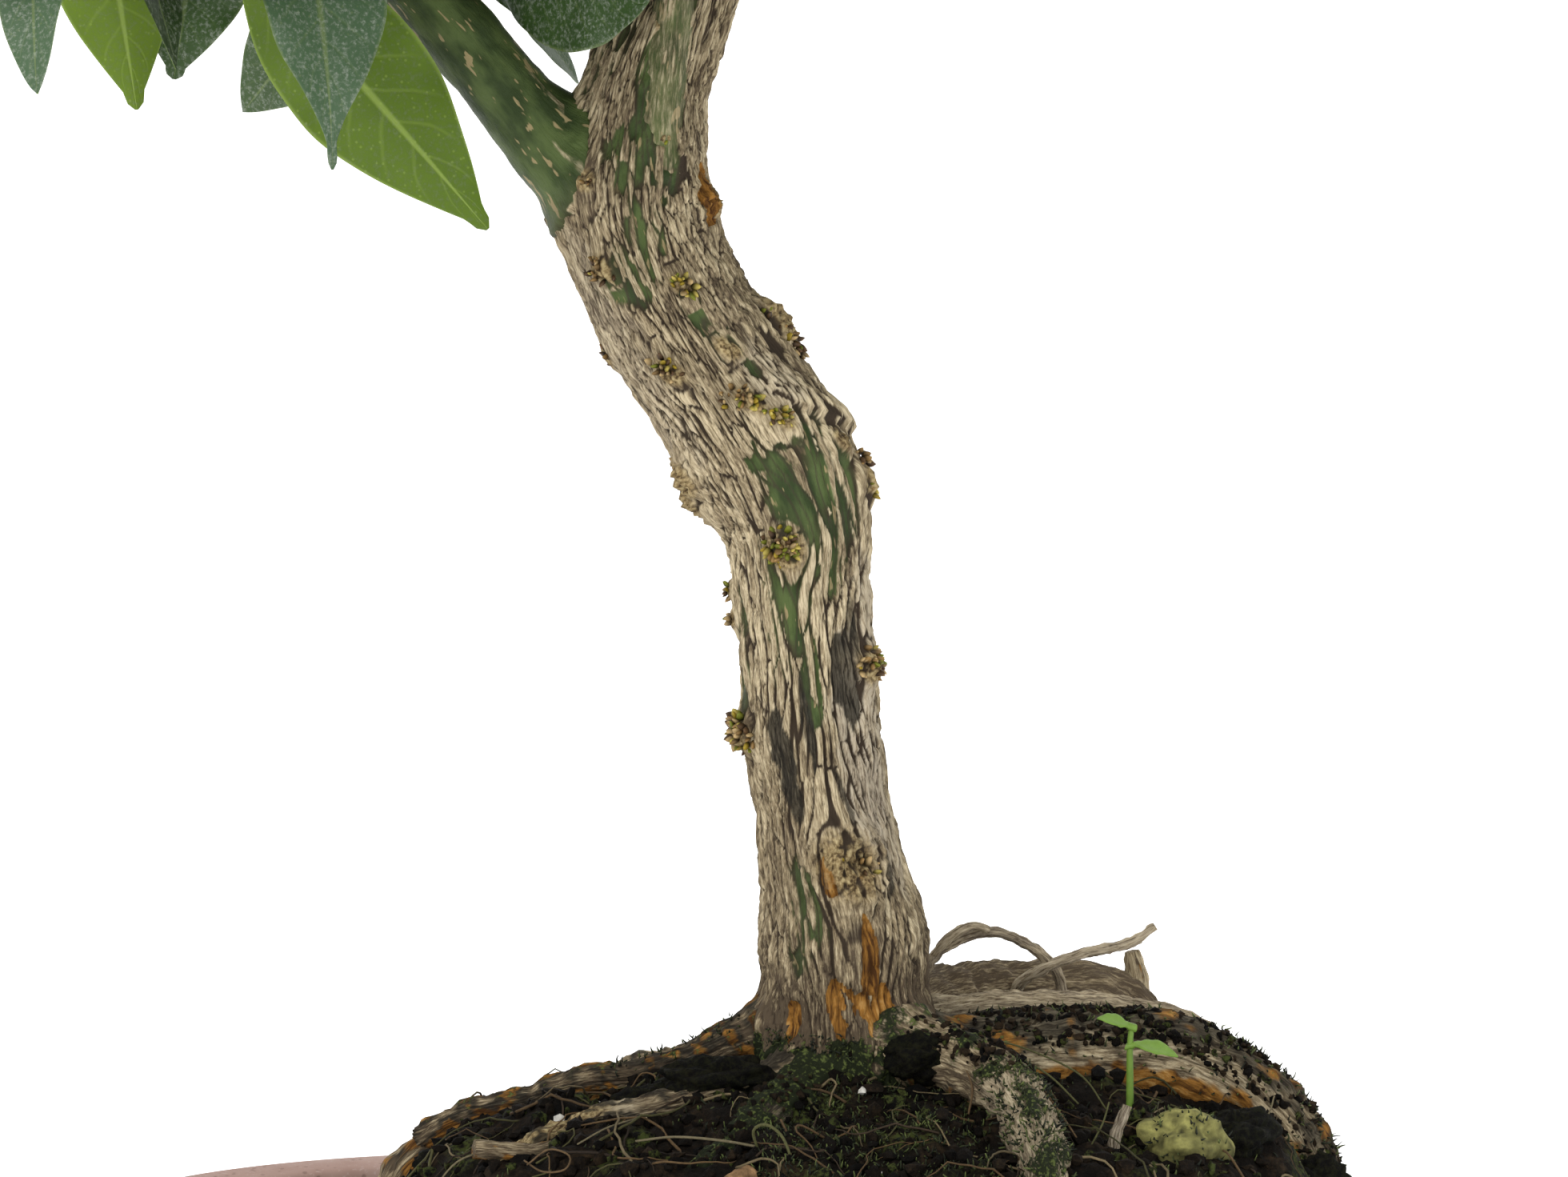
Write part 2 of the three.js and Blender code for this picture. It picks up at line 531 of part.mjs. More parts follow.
// Trunk surface: shallow flutes everywhere and a wider, waved foot where the roots leave it
function trunkSwell(angle, t) {
  const foot = THREE.MathUtils.smoothstep(0.2 - t, 0, 0.2);
  const flutes = 0.03 * Math.sin(3 * angle + 9 * t) + 0.02 * Math.sin(5 * angle - 14 * t);
  return flutes + 0.1 * foot * Math.sin(5 * angle + 1);
}

// Middle and radius of the trunk at a height
function trunkAt(height) {
  const k = TRUNK.findIndex((row, i) => height >= row[2] && height < TRUNK[i + 1][2]);
  const share = (height - TRUNK[k][2]) / (TRUNK[k + 1][2] - TRUNK[k][2]);
  return TRUNK[k].map((low, i) => low + (TRUNK[k + 1][i] - low) * share);
}

function knot([height, degrees, size]) {
  const [x, y, z, radius] = trunkAt(height);
  const turn = THREE.MathUtils.degToRad(degrees);
  const out = radius + size * 0.1;
  const ball = size > 2.5 ? new THREE.IcosahedronGeometry(size, 0) : new THREE.OctahedronGeometry(size, 0);
  const lump = ball.scale(1, 1, 1.15);
  return solid(lump.translate(x + Math.sin(turn) * out, y - Math.cos(turn) * out, z));
}

// Shoot bases spread evenly over the inner dome, each with the way that it grows
function shootPlan(draw) {
  const plan = [];
  for (let i = 0; i < SHOOT_COUNT; i += 1) {
    const rise = between(SHOOT_RISE, (i + 0.5) / SHOOT_COUNT);
    const turn = i * GOLDEN_TURN;
    const flat = Math.sqrt(1 - rise * rise);
    const out = vec(Math.cos(turn) * flat, Math.sin(turn) * flat, rise);
    const deep = 1 + 0.16 * (draw() - 0.5);
    const base = vec(...CROWN_RADII.map((radius, axis) => {
      const inner = (radius - SHOOT_DEPTH[axis]) * deep;
      return CROWN_CENTRE[axis] + out.getComponent(axis) * inner;
    }));
    const heading = out.clone().add(vec(0.3 * (draw() - 0.5), 0.3 * (draw() - 0.5), 0.3)).normalize();
    const length = between(SHOOT_LENGTH, draw());
    plan.push({ base, heading, length });
  }
  return plan;
}

// Place on a thicker branch that a shoot's slim branch leaves: near, and rather below the shoot than above
function carrierOf(base, supports) {
  const cost = ({ point }) => point.distanceTo(base) + 0.7 * Math.max(0, point.z - base.z + 6);
  return supports.reduce((best, support) => (cost(support) < cost(best) ? support : best));
}

function carrierPath(support, shoot) {
  const start = support.point;
  const end = shoot.base;
  const span = start.distanceTo(end);
  const middle = end.clone().addScaledVector(shoot.heading, -span * 0.42);
  const thick = Math.min(support.radius * 0.85, SHOOT_RADIUS[0] + 0.5 + span * 0.02);
  return [
    [...start.toArray(), thick],
    [...middle.toArray(), (thick + SHOOT_RADIUS[0]) / 2],
    [...end.toArray(), SHOOT_RADIUS[0] + 0.1],
  ];
}

const SHOOT_START = GAP + 0.15;

// Shoot that leaves its branch with a small gap and turns slightly upwards
function shootPath(shoot) {
  const start = shoot.base.clone().addScaledVector(shoot.heading, SHOOT_START);
  const end = shoot.base.clone().addScaledVector(shoot.heading, shoot.length);
  end.z += shoot.length * 0.12;
  const middle = start.clone().lerp(end, 0.5).add(vec(0, 0, -shoot.length * 0.03));
  return [
    [...start.toArray(), SHOOT_RADIUS[0]],
    [...middle.toArray(), (SHOOT_RADIUS[0] + SHOOT_RADIUS[1]) / 2],
    [...end.toArray(), SHOOT_RADIUS[1]],
  ];
}

// Leaf j of a shoot, turned and tilted by one of the bends
function shootLeaf(route, heading, j, count, chance, [turnBy, tiltBy]) {
  const share = between(LEAF_PLACES, j / (count - 1));
  const root = route.curve.getPoint(share);
  const level = Math.abs(heading.z) > 0.9 ? vec(1, 0, 0) : vec(0, 0, 1);
  const across = level.addScaledVector(heading, -level.dot(heading)).normalize();
  const side = vec(0, 0, 0).crossVectors(heading, across);
  const turn = chance.phase + j * GOLDEN_TURN + turnBy;
  const tilt = between([1.35, 0.5], j / (count - 1)) + 0.3 * (chance.tilt - 0.5) + tiltBy;
  const out = across.clone().multiplyScalar(Math.cos(turn)).addScaledVector(side, Math.sin(turn));
  const along = heading.clone().multiplyScalar(Math.cos(tilt)).addScaledVector(out, Math.sin(tilt));
  const face = heading.clone().multiplyScalar(0.7).add(vec(0, 0, 0.75));
  const length = between(LEAF_LENGTH, chance.size) * (j === count - 1 ? 0.8 : 1);
  const bend = between(LEAF_BEND, chance.bend);
  along.normalize();
  const base = root.clone().addScaledVector(along, PETIOLE);
  const tip = base.clone().addScaledVector(along, length);
  tip.z -= length * 0.14 * bend;
  return {
    root, base, tip, face, bend, fold: LEAF_FOLD, width: length * LEAF_WIDTH_SHARE,
    thick: LEAF_THICK, baseHalf: LEAF_BASE_HALF,
  };
}

function insideCrown(samples) {
  return samples.every(({ point }) => (
    point.x > CROWN_LIMITS.left && point.x < CROWN_LIMITS.right
    && Math.abs(point.y) < CROWN_LIMITS.depth && point.z < CROWN_LIMITS.top
    && point.z > CROWN_FLOOR[0] + CROWN_FLOOR[1] * point.y
  ));
}

// True if a leaf keeps clear of the leaves and the wood that are there already
function hangsClear(samples, owner, taken, wood) {
  const middle = samples[Math.floor(samples.length / 2)].point;
  for (const other of taken) {
    const near = other.middle.distanceTo(middle) < NEIGHBOUR_REACH;
    const kin = other.owner === owner;
    const least = (kin ? KIN_CLEARANCE : BLADE_CLEARANCE) ** 2;
    const clash = (a, b) => (!kin || a.u + b.u > 2 * KIN_FREE) && a.point.distanceToSquared(b.point) < least;
    if (near && samples.some((a) => other.samples.some((b) => clash(a, b)))) return false;
  }
  for (const twig of wood) {
    if (samples.some((a) => (twig.owner !== owner || a.u > 0.2) && twig.samples.some((b) => (
      a.point.distanceTo(b.point) < b.radius + TWIG_CLEARANCE
    )))) return false;
  }
  return true;
}

// Crown: carriers for the wood, then one solid for each leafy shoot
function growCrown() {
  const draw = seeded(CROWN_SEED);
  const supports = Object.values(BRANCHES).concat([TRUNK.slice(-6)]).flatMap((path) => {
    const samples = twigSamples(path);
    return samples.slice(Math.floor(samples.length * 0.35));
  });
  const shoots = shootPlan(draw);
  const sprays = HANGING_SPRAYS.map(({ path, leaves }) => {
    const base = vec(...path[0]);
    const heading = vec(...path[1]).sub(base).normalize();
    const start = base.clone().addScaledVector(heading, SHOOT_START);
    const clearPath = [[...start.toArray(), path[0][3]], ...path.slice(1)];
    const bends = clearPath.slice(1).map(([x, y, z]) => vec(x, y, z));
    const places = [bends[0], bends[1], bends[1].clone().lerp(bends[2], 0.85)];
    return {
      base,
      heading,
      path: clearPath,
      leaves: leaves.map((leaf) => {
        const root = places[leaf.place];
        const tip = vec(...leaf.tip);
        const leafBase = root.clone().addScaledVector(tip.clone().sub(root).normalize(), PETIOLE);
        const face = vec(...leaf.face);
        return { ...leaf, root, tip, base: leafBase, face, thick: LEAF_THICK, baseHalf: LEAF_BASE_HALF };
      }),
    };
  });
  const carriers = [...sprays, ...shoots].map((shoot) => carrierPath(carrierOf(shoot.base, supports), shoot));
  const twigs = [...sprays.map((spray) => spray.path), ...shoots.map(shootPath)];
  const wood = twigs.map((path, owner) => ({ owner, samples: twigSamples(path) }));
  for (const path of [TRUNK, ...Object.values(BRANCHES), ...carriers]) {
    wood.push({ owner: -1, samples: twigSamples(path) });
  }
  const taken = [];
  const kept = twigs.map(() => []);
  const keep = (leaf, owner, samples) => {
    kept[owner].push(leaf);
    taken.push({ owner, samples, middle: samples[Math.floor(samples.length / 2)].point });
  };
  sprays.forEach((spray, owner) => spray.leaves.forEach((leaf) => keep(leaf, owner, leafSamples(leaf))));
  const bearers = twigs.map((path) => {
    const route = routeOf(path);
    const heading = route.curve.getPoint(1).sub(route.curve.getPoint(0)).normalize();
    return { route, heading, phase: draw() * 2 * Math.PI };
  });
  const bends = LEAF_TILTS.flatMap((tilt) => LEAF_TURNS.map((turn) => [turn, tilt]));
  for (let j = LEAVES_A_SHOOT - 1; j >= 0; j -= 1) {
    bearers.forEach(({ route, heading, phase }, owner) => {
      const chance = { phase, tilt: draw(), size: draw(), bend: draw() };
      for (const bend of bends) {
        const leaf = shootLeaf(route, heading, j, LEAVES_A_SHOOT, chance, bend);
        const samples = leafSamples(leaf);
        if (insideCrown(samples) && hangsClear(samples, owner, taken, wood)) {
          keep(leaf, owner, samples);
          break;
        }
      }
    });
  }
  return { carriers, twigs, kept };
}

function leafyShoot(path, leaves) {
  return join([limb(path, TWIG_SIDES, 1), ...leaves.map((leaf) => blade(leaf))]);
}

function treeWood(carriers) {
  const parts = [limb(TRUNK, TRUNK_SIDES, 1, { swell: trunkSwell })];
  for (const path of Object.values(BRANCHES)) parts.push(limb(path, BRANCH_SIDES, 1));
  for (const path of carriers) parts.push(limb(path, TWIG_SIDES, 1));
  for (const path of Object.values(ROOTS)) parts.push(limb(path, rootSides(path), 1));
  return filled(join([...parts, ...KNOTS.map(knot)]));
}

const rootSides = (path) => (path[1][3] < THIN_ROOT ? THIN_ROOT_SIDES : ROOT_SIDES);

// Space that the trunk's foot and the roots take in the soil, with clearance
function rootSpace() {
  const foot = limb(TRUNK, TRUNK_SIDES, 1, { swell: trunkSwell, grow: ROOT_CLEARANCE });
  const grow = { grow: ROOT_CLEARANCE };
  return [foot, ...Object.values(ROOTS).map((path) => limb(path, rootSides(path), 1, grow))];
}

function seedling() {
  const leaves = COTYLEDONS.map((leaf) => blade({
    ...leaf,
    root: vec(...leaf.root), base: vec(...leaf.base), tip: vec(...leaf.tip),
    face: vec(...COTYLEDON_FACE), bend: 0.4, fold: 0.25, thick: SEEDLING_LEAF_THICK, baseHalf: 0.4,
  }));
  return join([limb(SEEDLING_STEM, 6, 1), ...leaves]);
}

const planted = new THREE.Group();
planted.position.x = -POT_X;
const bonsai = new THREE.Group();
bonsai.add(planted);

function addPiece(name, body, finish, sliver = FINE_SLIVER) {
  const material = new THREE.MeshStandardMaterial(FINISHES[finish]);
  const mesh = new THREE.Mesh(geometryOf(thinned(thinned(body, sliver), sliver)), material);
  mesh.name = name;
  planted.add(mesh);
}

const crown = growCrown();
const screenSpace = HOLE_X.map((x) => {
  const size = SCREEN_SIZE + 2 * GAP;
  const height = SCREEN_THICK + 2 * GAP;
  return solid(new THREE.BoxGeometry(size, size, 2 * height).translate(x, 0, FLOOR_TOP + GAP));
});
const soilTools = [
  ...rootSpace(), ...screenSpace, ...Object.values(STONES).map((place) => stone(place, GAP + 0.1)),
  limb(STICK, 6, 1, { grow: GAP }), limb(SEEDLING_STEM, 6, 1, { grow: GAP }),
];

addPiece('pot', pot(), 'terracotta');
addPiece('drainage_screen_left', drainageScreen(HOLE_X[0]), 'screen');
addPiece('drainage_screen_right', drainageScreen(HOLE_X[1]), 'screen');
addPiece('soil', soil(soilTools), 'peat', WOOD_SLIVER);
addPiece('tree_wood', treeWood(crown.carriers), 'bark', WOOD_SLIVER);
crown.twigs.forEach((path, i) => {
  addPiece(`leafy_shoot_${String(i + 1).padStart(2, '0')}`, leafyShoot(path, crown.kept[i]), 'leaf');
});
Object.entries(STONES).forEach(([name, place]) => addPiece(name, stone(place), 'stone'));
addPiece('dry_stick', limb(STICK, 6, 1), 'bark');
addPiece('seedling', seedling(), 'sprout');

export default bonsai;
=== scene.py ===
"""Chinotto orange bonsai in its pot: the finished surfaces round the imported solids.

Lengths in this file are millimetres, Z up, and become metres where a mesh is made.
The tables count X from a line beside the trunk's foot, and the meshes are then moved to the pot's middle.
Turns round the trunk are degrees from its front (-Y) towards +X.
"""

import logging
import math
from collections.abc import Callable, Iterable, Sequence
from dataclasses import dataclass, field
from enum import Enum

import bpy
import numpy as np
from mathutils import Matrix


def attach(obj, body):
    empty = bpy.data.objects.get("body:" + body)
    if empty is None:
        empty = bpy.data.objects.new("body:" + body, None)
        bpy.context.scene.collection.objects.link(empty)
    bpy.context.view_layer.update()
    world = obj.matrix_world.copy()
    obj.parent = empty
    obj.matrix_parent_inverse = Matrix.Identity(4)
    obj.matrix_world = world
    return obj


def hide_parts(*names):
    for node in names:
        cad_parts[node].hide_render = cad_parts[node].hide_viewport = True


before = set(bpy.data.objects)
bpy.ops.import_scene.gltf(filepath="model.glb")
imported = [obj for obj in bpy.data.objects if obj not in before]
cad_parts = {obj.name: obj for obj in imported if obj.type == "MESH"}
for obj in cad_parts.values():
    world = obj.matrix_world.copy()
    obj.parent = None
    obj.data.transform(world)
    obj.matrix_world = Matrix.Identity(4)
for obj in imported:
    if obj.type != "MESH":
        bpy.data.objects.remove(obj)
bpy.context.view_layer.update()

Array = np.ndarray
Generator = np.random.Generator
Material = bpy.types.Material
Piece = bpy.types.Object
Socket = bpy.types.NodeSocket
Triple = tuple[float, float, float]
Colour = Triple
Rows = Sequence[Sequence[float]]
LOG = logging.getLogger("bonsai")
MM = 0.001
GOLDEN_TURN = math.pi * (3 - math.sqrt(5))
# Odd multipliers that spread the bits of whole numbers, as in common lattice hashes
SPREAD = (73856093, 19349663, 83492791)
MIX = (2246822519, 3266489917)
WORD = 0xFFFFFFFF
HALF_WORD = 0xFFFF

# Camera: the photograph's point of view, worked out for an image of 1960 x 1471
CAMERA_TARGET = (5.444, 0.0, 153.796)
CAMERA_DISTANCE = 480.0
CAMERA_DOWN = 4.5
CAMERA_LENS = 79.35

# Trunk centre line as x, y, z, radius
TRUNK = (
    (-6.6, 2, 66, 9), (-7.0, 2, 78, 14.0), (-7.3, 2, 89, 12.6), (-7.8, 2, 97, 11.4), (-8.2, 2, 104.5, 11.9),
    (-9.5, 2, 112.6, 10.2), (-11.2, 2, 123, 9.2), (-12.8, 2, 135, 9.4), (-13.8, 2, 146, 9.3),
    (-14.5, 2, 155, 9.3), (-15.2, 2, 163, 10.1), (-17.6, 2, 169.5, 11.1), (-21.6, 2, 176.6, 11.3),
    (-26.0, 2, 183.2, 10.7), (-30.6, 2, 190.4, 10.6), (-34.2, 2, 198, 10.7), (-36.6, 2, 206, 10.9),
    (-36.6, 2, 214, 9.8), (-35.0, 2, 224, 8.5), (-31.2, 2.4, 234.5, 7.9), (-27.4, 3, 246, 7.0),
    (-24.2, 3.4, 257, 5.8), (-21.6, 3, 269, 4.4), (-19.6, 2, 281, 3.0), (-18.6, 1, 291, 2.0),
)
BRANCHES = {
    "left": (
        (-39, 2, 205, 6.6), (-47.5, 1.2, 213.6, 6.3), (-54.2, 0.2, 221.8, 5.7), (-65.3, -1, 235, 5.2),
        (-76, -2.5, 246.6, 4.5), (-86, -4, 256.4, 3.6), (-95, -5, 265, 2.5),
    ),
    "right": (
        (-26.6, 3, 248, 4.4), (-14, 2, 257, 4.0), (2, 0, 265, 3.2), (17, -2, 272, 2.4), (29, -3, 279, 1.7),
    ),
    "back": ((-25, 5, 252, 3.8), (-23, 13, 261, 3.2), (-20, 21, 270, 2.4), (-17, 28, 279, 1.7)),
    "front": (
        (-33.2, -5.6, 211, 2.1), (-33.0, -6.3, 219, 2.3), (-31.8, -6.3, 230, 2.3), (-30.6, -9, 241, 2.2),
        (-29.8, -15, 252, 2.0), (-28.6, -21, 262, 1.6),
    ),
    "left_back": ((-64, -1, 233.5, 3.8), (-67, 8, 245, 3.0), (-71, 16, 256, 2.3), (-74, 22, 267, 1.6)),
    "left_front": ((-74, -2.5, 244.5, 3.0), (-79, -10, 252, 2.3), (-82, -16, 260, 1.6)),
    "right_back": ((0, 0, 264, 2.6), (6, 9, 272, 2.1), (11, 17, 281, 1.5)),
    "right_front": ((-8, 1, 261, 2.6), (-3, -10, 268, 2.1), (2, -19, 276, 1.5)),
}
ROOTS = {
    "left_upper": (
        (-10, 1, 94, 5.5), (-20, 2, 91.4, 3.4), (-29, 1, 87.6, 2.4), (-38, -1, 85.4, 2.0), (-44, -1, 84.9, 1.9),
        (-53, 0, 81.6, 1.9), (-62, 2, 78.8, 2.0), (-68, 3.5, 75, 2.0),
    ),
    "left_main": (
        (-10, 4, 84, 8.0), (-20, 6, 84.5, 5.5), (-29, 7, 83, 4.6), (-39, 8, 80, 4.2), (-50, 8, 77.6, 4.0),
        (-61, 6, 75, 3.9), (-69, 4.5, 70.8, 3.8), (-73, 3.5, 63, 3.4), (-74, 3, 54, 2.8),
    ),
    "left_front": (
        (-12, -4, 85, 6.0), (-21, -11, 85.8, 3.6), (-31, -15, 84.6, 3.0), (-42, -18, 82.6, 2.8),
        (-50, -21, 80, 2.9), (-55, -23, 76, 2.4), (-58, -24, 70, 1.8),
    ),
    "cut_stub": ((-44, -19.5, 81.4, 2.0), (-49, -25, 80.6, 1.9), (-57.6, -28, 81.6, 2.1)),
    "right_main": (
        (0, 4, 84, 7.0), (13, 7, 86, 6.6), (27, 8, 86.2, 6.8), (40, 7, 85.4, 6.6), (49, 5, 81.2, 6.0),
        (55.2, 3, 75, 5.4), (58.6, 1, 68, 4.8), (60.4, -1, 59, 3.9), (61, -2, 51, 3.0),
    ),
    "right_top": (
        (-4, 8, 91, 4.0), (8, 14, 91.6, 2.2), (18, 15.5, 92.0, 2.2), (30, 14.5, 91.6, 2.3), (40, 12, 90.0, 2.4),
        (48, 8, 85.6, 2.2),
    ),
    "front_mossy": (
        (-3, -4, 90, 6.0), (7, -11, 89.6, 4.4), (13, -18, 88, 4.2), (15.6, -25, 85.2, 4.0),
        (16.6, -33, 82.8, 3.8), (17, -41, 79.6, 3.4), (17, -49, 73, 2.8), (17, -54, 63, 2.2),
    ),
    "front_cross": (
        (-9, -40, 73.4, 2.2), (-2, -46, 76.8, 3.0), (6, -47.6, 78.6, 3.2), (13.5, -45.4, 78.4, 3.2),
        (18, -40, 77.4, 3.0), (17, -34, 78, 2.4),
    ),
    "back_right": (
        (-3, 10, 90, 6.4), (3, 20, 91.4, 5.0), (10, 29, 91, 4.8), (21, 36, 90.2, 4.6), (31, 40, 89, 4.4),
        (38, 43, 84, 4.0), (40, 46, 75, 3.4), (41, 48, 65, 2.6),
    ),
    "back_post": ((36.6, 42, 86, 2.6), (37.2, 42.4, 91, 2.0), (36.4, 42.4, 95, 1.2)),
    "back_left": (
        (-14, 10, 86, 6.0), (-24, 20, 82, 4.6), (-35, 28, 78.6, 4.2), (-46, 34, 74, 3.8), (-54, 39, 67, 3.0),
        (-57, 42, 59, 2.2),
    ),
    "front_left": (
        (-12, -8, 84, 6.0), (-18, -19, 84, 3.8), (-23, -29, 81.4, 3.2), (-29, -38, 77.4, 2.7),
        (-34, -46, 70, 2.2), (-36, -51, 61, 1.6),
    ),
    "dry_arch": (
        (3, 20, 92, 0.9), (5, 22, 97.4, 0.8), (9, 24, 100, 0.8), (14, 25.4, 101, 0.8), (19.6, 26.6, 98.8, 0.8),
        (23.6, 27.6, 95, 0.8), (25.6, 28, 88, 0.8),
    ),
    "dry_fork": (
        (5.4, 22.2, 98.2, 0.7), (7.6, 21.4, 101, 0.7), (11, 22.6, 102.4, 0.7), (13.4, 23.6, 101.6, 0.7),
    ),
    "dry_reach": (
        (17, 33.4, 88, 1.0), (18.6, 28, 93, 0.9), (23.4, 24, 96.6, 0.8), (28.4, 21.8, 98.8, 0.8),
        (34, 20.2, 100.4, 0.8), (37.6, 20, 102.8, 0.6),
    ),
}
# Roots that leave the trunk itself
MAIN_ROOTS = ("left_upper", "left_main", "left_front", "right_main", "right_top", "front_mossy", "back_right",
              "back_left", "front_left")

# Old bud clusters and scars on the trunk: height, turn, size
KNOTS = (
    (231, 0, 1.2), (215.5, 21, 1.3), (209.8, -36, 1.4), (207.4, 60, 2.6), (197.9, -35, 2.0),
    (195.6, 14, 1.5), (186.2, -88, 1.5), (187, 20, 1.6), (184.1, -25, 1.8), (190.5, 84, 3.2),
    (179.9, 12, 1.8), (177.5, 24, 1.6), (174.5, 62, 1.7), (166.8, -84, 3.2), (169.5, -66, 2.6),
    (168.2, 82, 2.3), (159.8, -8, 2.9), (153.5, -88, 1.2), (149.4, -86, 1.2), (143.2, 62, 2.6),
    (133.7, -76, 2.9), (116.3, 12, 4.4), (200, 150, 2.2), (181, -140, 2.4), (158, 165, 2.6),
    (139, -160, 2.4), (121, 140, 2.8),
)

# Crown rule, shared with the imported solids
CROWN_SEED = 7
INNER_SEED = 31
CROWN_CENTRE = np.array((-20.0, 0.0, 249.0))
CROWN_RADII = np.array((108.0, 78.0, 97.0))
SHOOT_DEPTH = np.array((50.0, 48.0, 50.0))
SHOOT_COUNT = 38
SHOOT_RISE = (0.06, 0.98)
SHOOT_LENGTH = (22, 31)
SHOOT_RADIUS = (1.5, 0.8)
SHOOT_START = 0.45
LEAVES_A_SHOOT = 8
LEAF_PLACES = (0.17, 0.94)
LEAF_LENGTH = (33, 45)
LEAF_WIDTH_SHARE = 0.45
LEAF_BEND = (0.5, 1.0)
LEAF_FOLD = 0.32
LEAF_TILTS = (0, -0.35, 0.35, -0.7, 0.7)
LEAF_TURNS = (0, 0.4, -0.4, 0.8, -0.8, 1.2, -1.2)
PETIOLE = 4.6
TIP_MATCH = 0.3
CROWN_FLOOR = (236.5, 0.085)
INNER_LEAVES = 11
# Points round a leaf and rings along it, for leaves in the photograph, packed ones and inner ones
SHOWN_LEAF, PACKED_LEAF, INNER_LEAF = (28, 44), (12, 11), (8, 7)


class Blade(Enum):
    """Outlines of a blade: half width by the share of the way from base to tip."""

    PLAIN = "plain"
    BLUNT = "blunt"
    POINTED = "pointed"
    DRIP = "drip"


# Half width is sin(pi u^a)^b of its most, for the outline's a and b, and c millimetres at the tip
BLADE_POWERS = {
    Blade.PLAIN: (0.8, 0.85, 0.3), Blade.BLUNT: (1.0, 0.72, 0.5), Blade.POINTED: (0.85, 1.02, 1.4),
    Blade.DRIP: (0.8, 1.7, 0.75),
}

# Sprays at the left: twig path, then leaves by twig point, tip, side faced, width, bend, fold, tint and outline
HANGING_SPRAYS = (
    (
        ((-97.8, -5.4, 266.9, 1.8), (-104, -5.6, 265, 1.6), (-110.6, -6.4, 262, 1.4), (-117.4, -8, 259, 1.1)),
        (
            (2, (-111.8, -34, 219.8), (-0.35, -0.9, 0.2), 11, 0.2, 0.15, 0.95, Blade.BLUNT),
            (1, (-107.7, 12, 220.5), (-0.2, 0.95, 0.1), 18.6, 0.2, 0.2, 1.0, Blade.POINTED),
            (1, (-99, -6, 224.9), (0.95, -0.3, 0.1), 15, 0.15, 0.2, 0.1, Blade.PLAIN),
        ),
    ),
    (
        ((-79, -19.5, 257, 1.8), (-81, -21, 253, 1.6), (-87, -17, 248.5, 1.4), (-93.5, -10.5, 243.2, 1.1)),
        (
            (2, (-56.5, -10, 203.2), (0.1, 1, 0.05), 20, 0.25, 0.1, 0.65, Blade.POINTED),
            (0, (-74.8, -30, 210.3), (0.55, -0.8, 0.1), 19, 0.4, 0.2, 1.0, Blade.DRIP),
        ),
    ),
    (
        ((-70.6, 8.2, 239.4, 1.6), (-74, 9.8, 241.4, 1.4), (-87, 13.4, 249, 1.2), (-100, 17, 257.6, 1)),
        (
            (0, (-94.9, 26, 221), (-0.2, -0.9, -0.2), 14.5, 0.3, 0.15, 0.45, Blade.PLAIN),
            (2, (-103.1, 16, 225), (0.1, -0.95, 0.1), 17.5, 0.2, 0.15, 0.45, Blade.POINTED),
        ),
    ),
    (
        ((-59.4, 3.2, 237.4, 1.6), (-58.5, 7, 236.8, 1.3), (-61.5, 13, 243, 1.1), (-69, 20, 250, 0.9)),
        (
            (0, (-33.9, -19, 233.6), (-0.6, -0.65, -0.1), 16, 0.15, 0.15, 0.35, Blade.BLUNT),
            (2, (-47.1, 38, 225.9), (0.7, -0.45, 0.5), 11, 0.3, 0.2, 0.6, Blade.BLUNT),
        ),
    ),
)

# Pot and soil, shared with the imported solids
POT_HALF = (111.0, 84.0)
POT_PLACE = np.array((-22.0, 0.0))
POT_CORNER_POWER = 3.2
FLOOR_TOP = 12.5
FOOT_HEIGHT = 6.0
FOOT_SIZE = (34.0, 15.0)
FOOT_PLACE = (66.0, 44.0)
FOOT_CORNER_POWER = 6.0
HOLE_RADIUS = 7.0
HOLE_X = 46.0
SOIL_EDGE_HEIGHT = 47.0
SOIL_EDGE_INSET = 11.3
MOUND_CENTRE = (-6.0, 0.0)
MOUND_HALF = (71.0, 54.0)
MOUND_POWER = 2.5
MOUND_TOP = 87.0
MOUND_FALL = (11.0, 8.0)
MOUND_SLOPE = (0.78, 1.16)


def even_turns(count: int) -> Array:
    """So many turns spread evenly round a circle, from 0."""
    return 2 * math.pi * np.arange(count) / count


def smoothstep(low: float, high: float, value: Array) -> Array:
    """Rises from 0 at low to 1 at high as 3t^2 - 2t^3."""
    t = np.clip((value - low) / (high - low), 0, 1)
    return t * t * (3 - 2 * t)


def between(limits: Sequence[float], share: float) -> float:
    """The value at a share of the way from the first limit to the second."""
    return limits[0] + (limits[1] - limits[0]) * share


def unit(vectors: Array) -> Array:
    """Vectors scaled to length 1 along the last axis."""
    return vectors / np.maximum(np.linalg.norm(vectors, axis=-1, keepdims=True), 1e-12)


def random_slopes() -> Array:
    """256 unit vectors, the same on every run, for the gradient noise."""
    return unit(np.random.default_rng(5).normal(size=(256, 3)))


SLOPES = random_slopes()
CORNERS = np.array([[i, j, k] for i in (0, 1) for j in (0, 1) for k in (0, 1)])


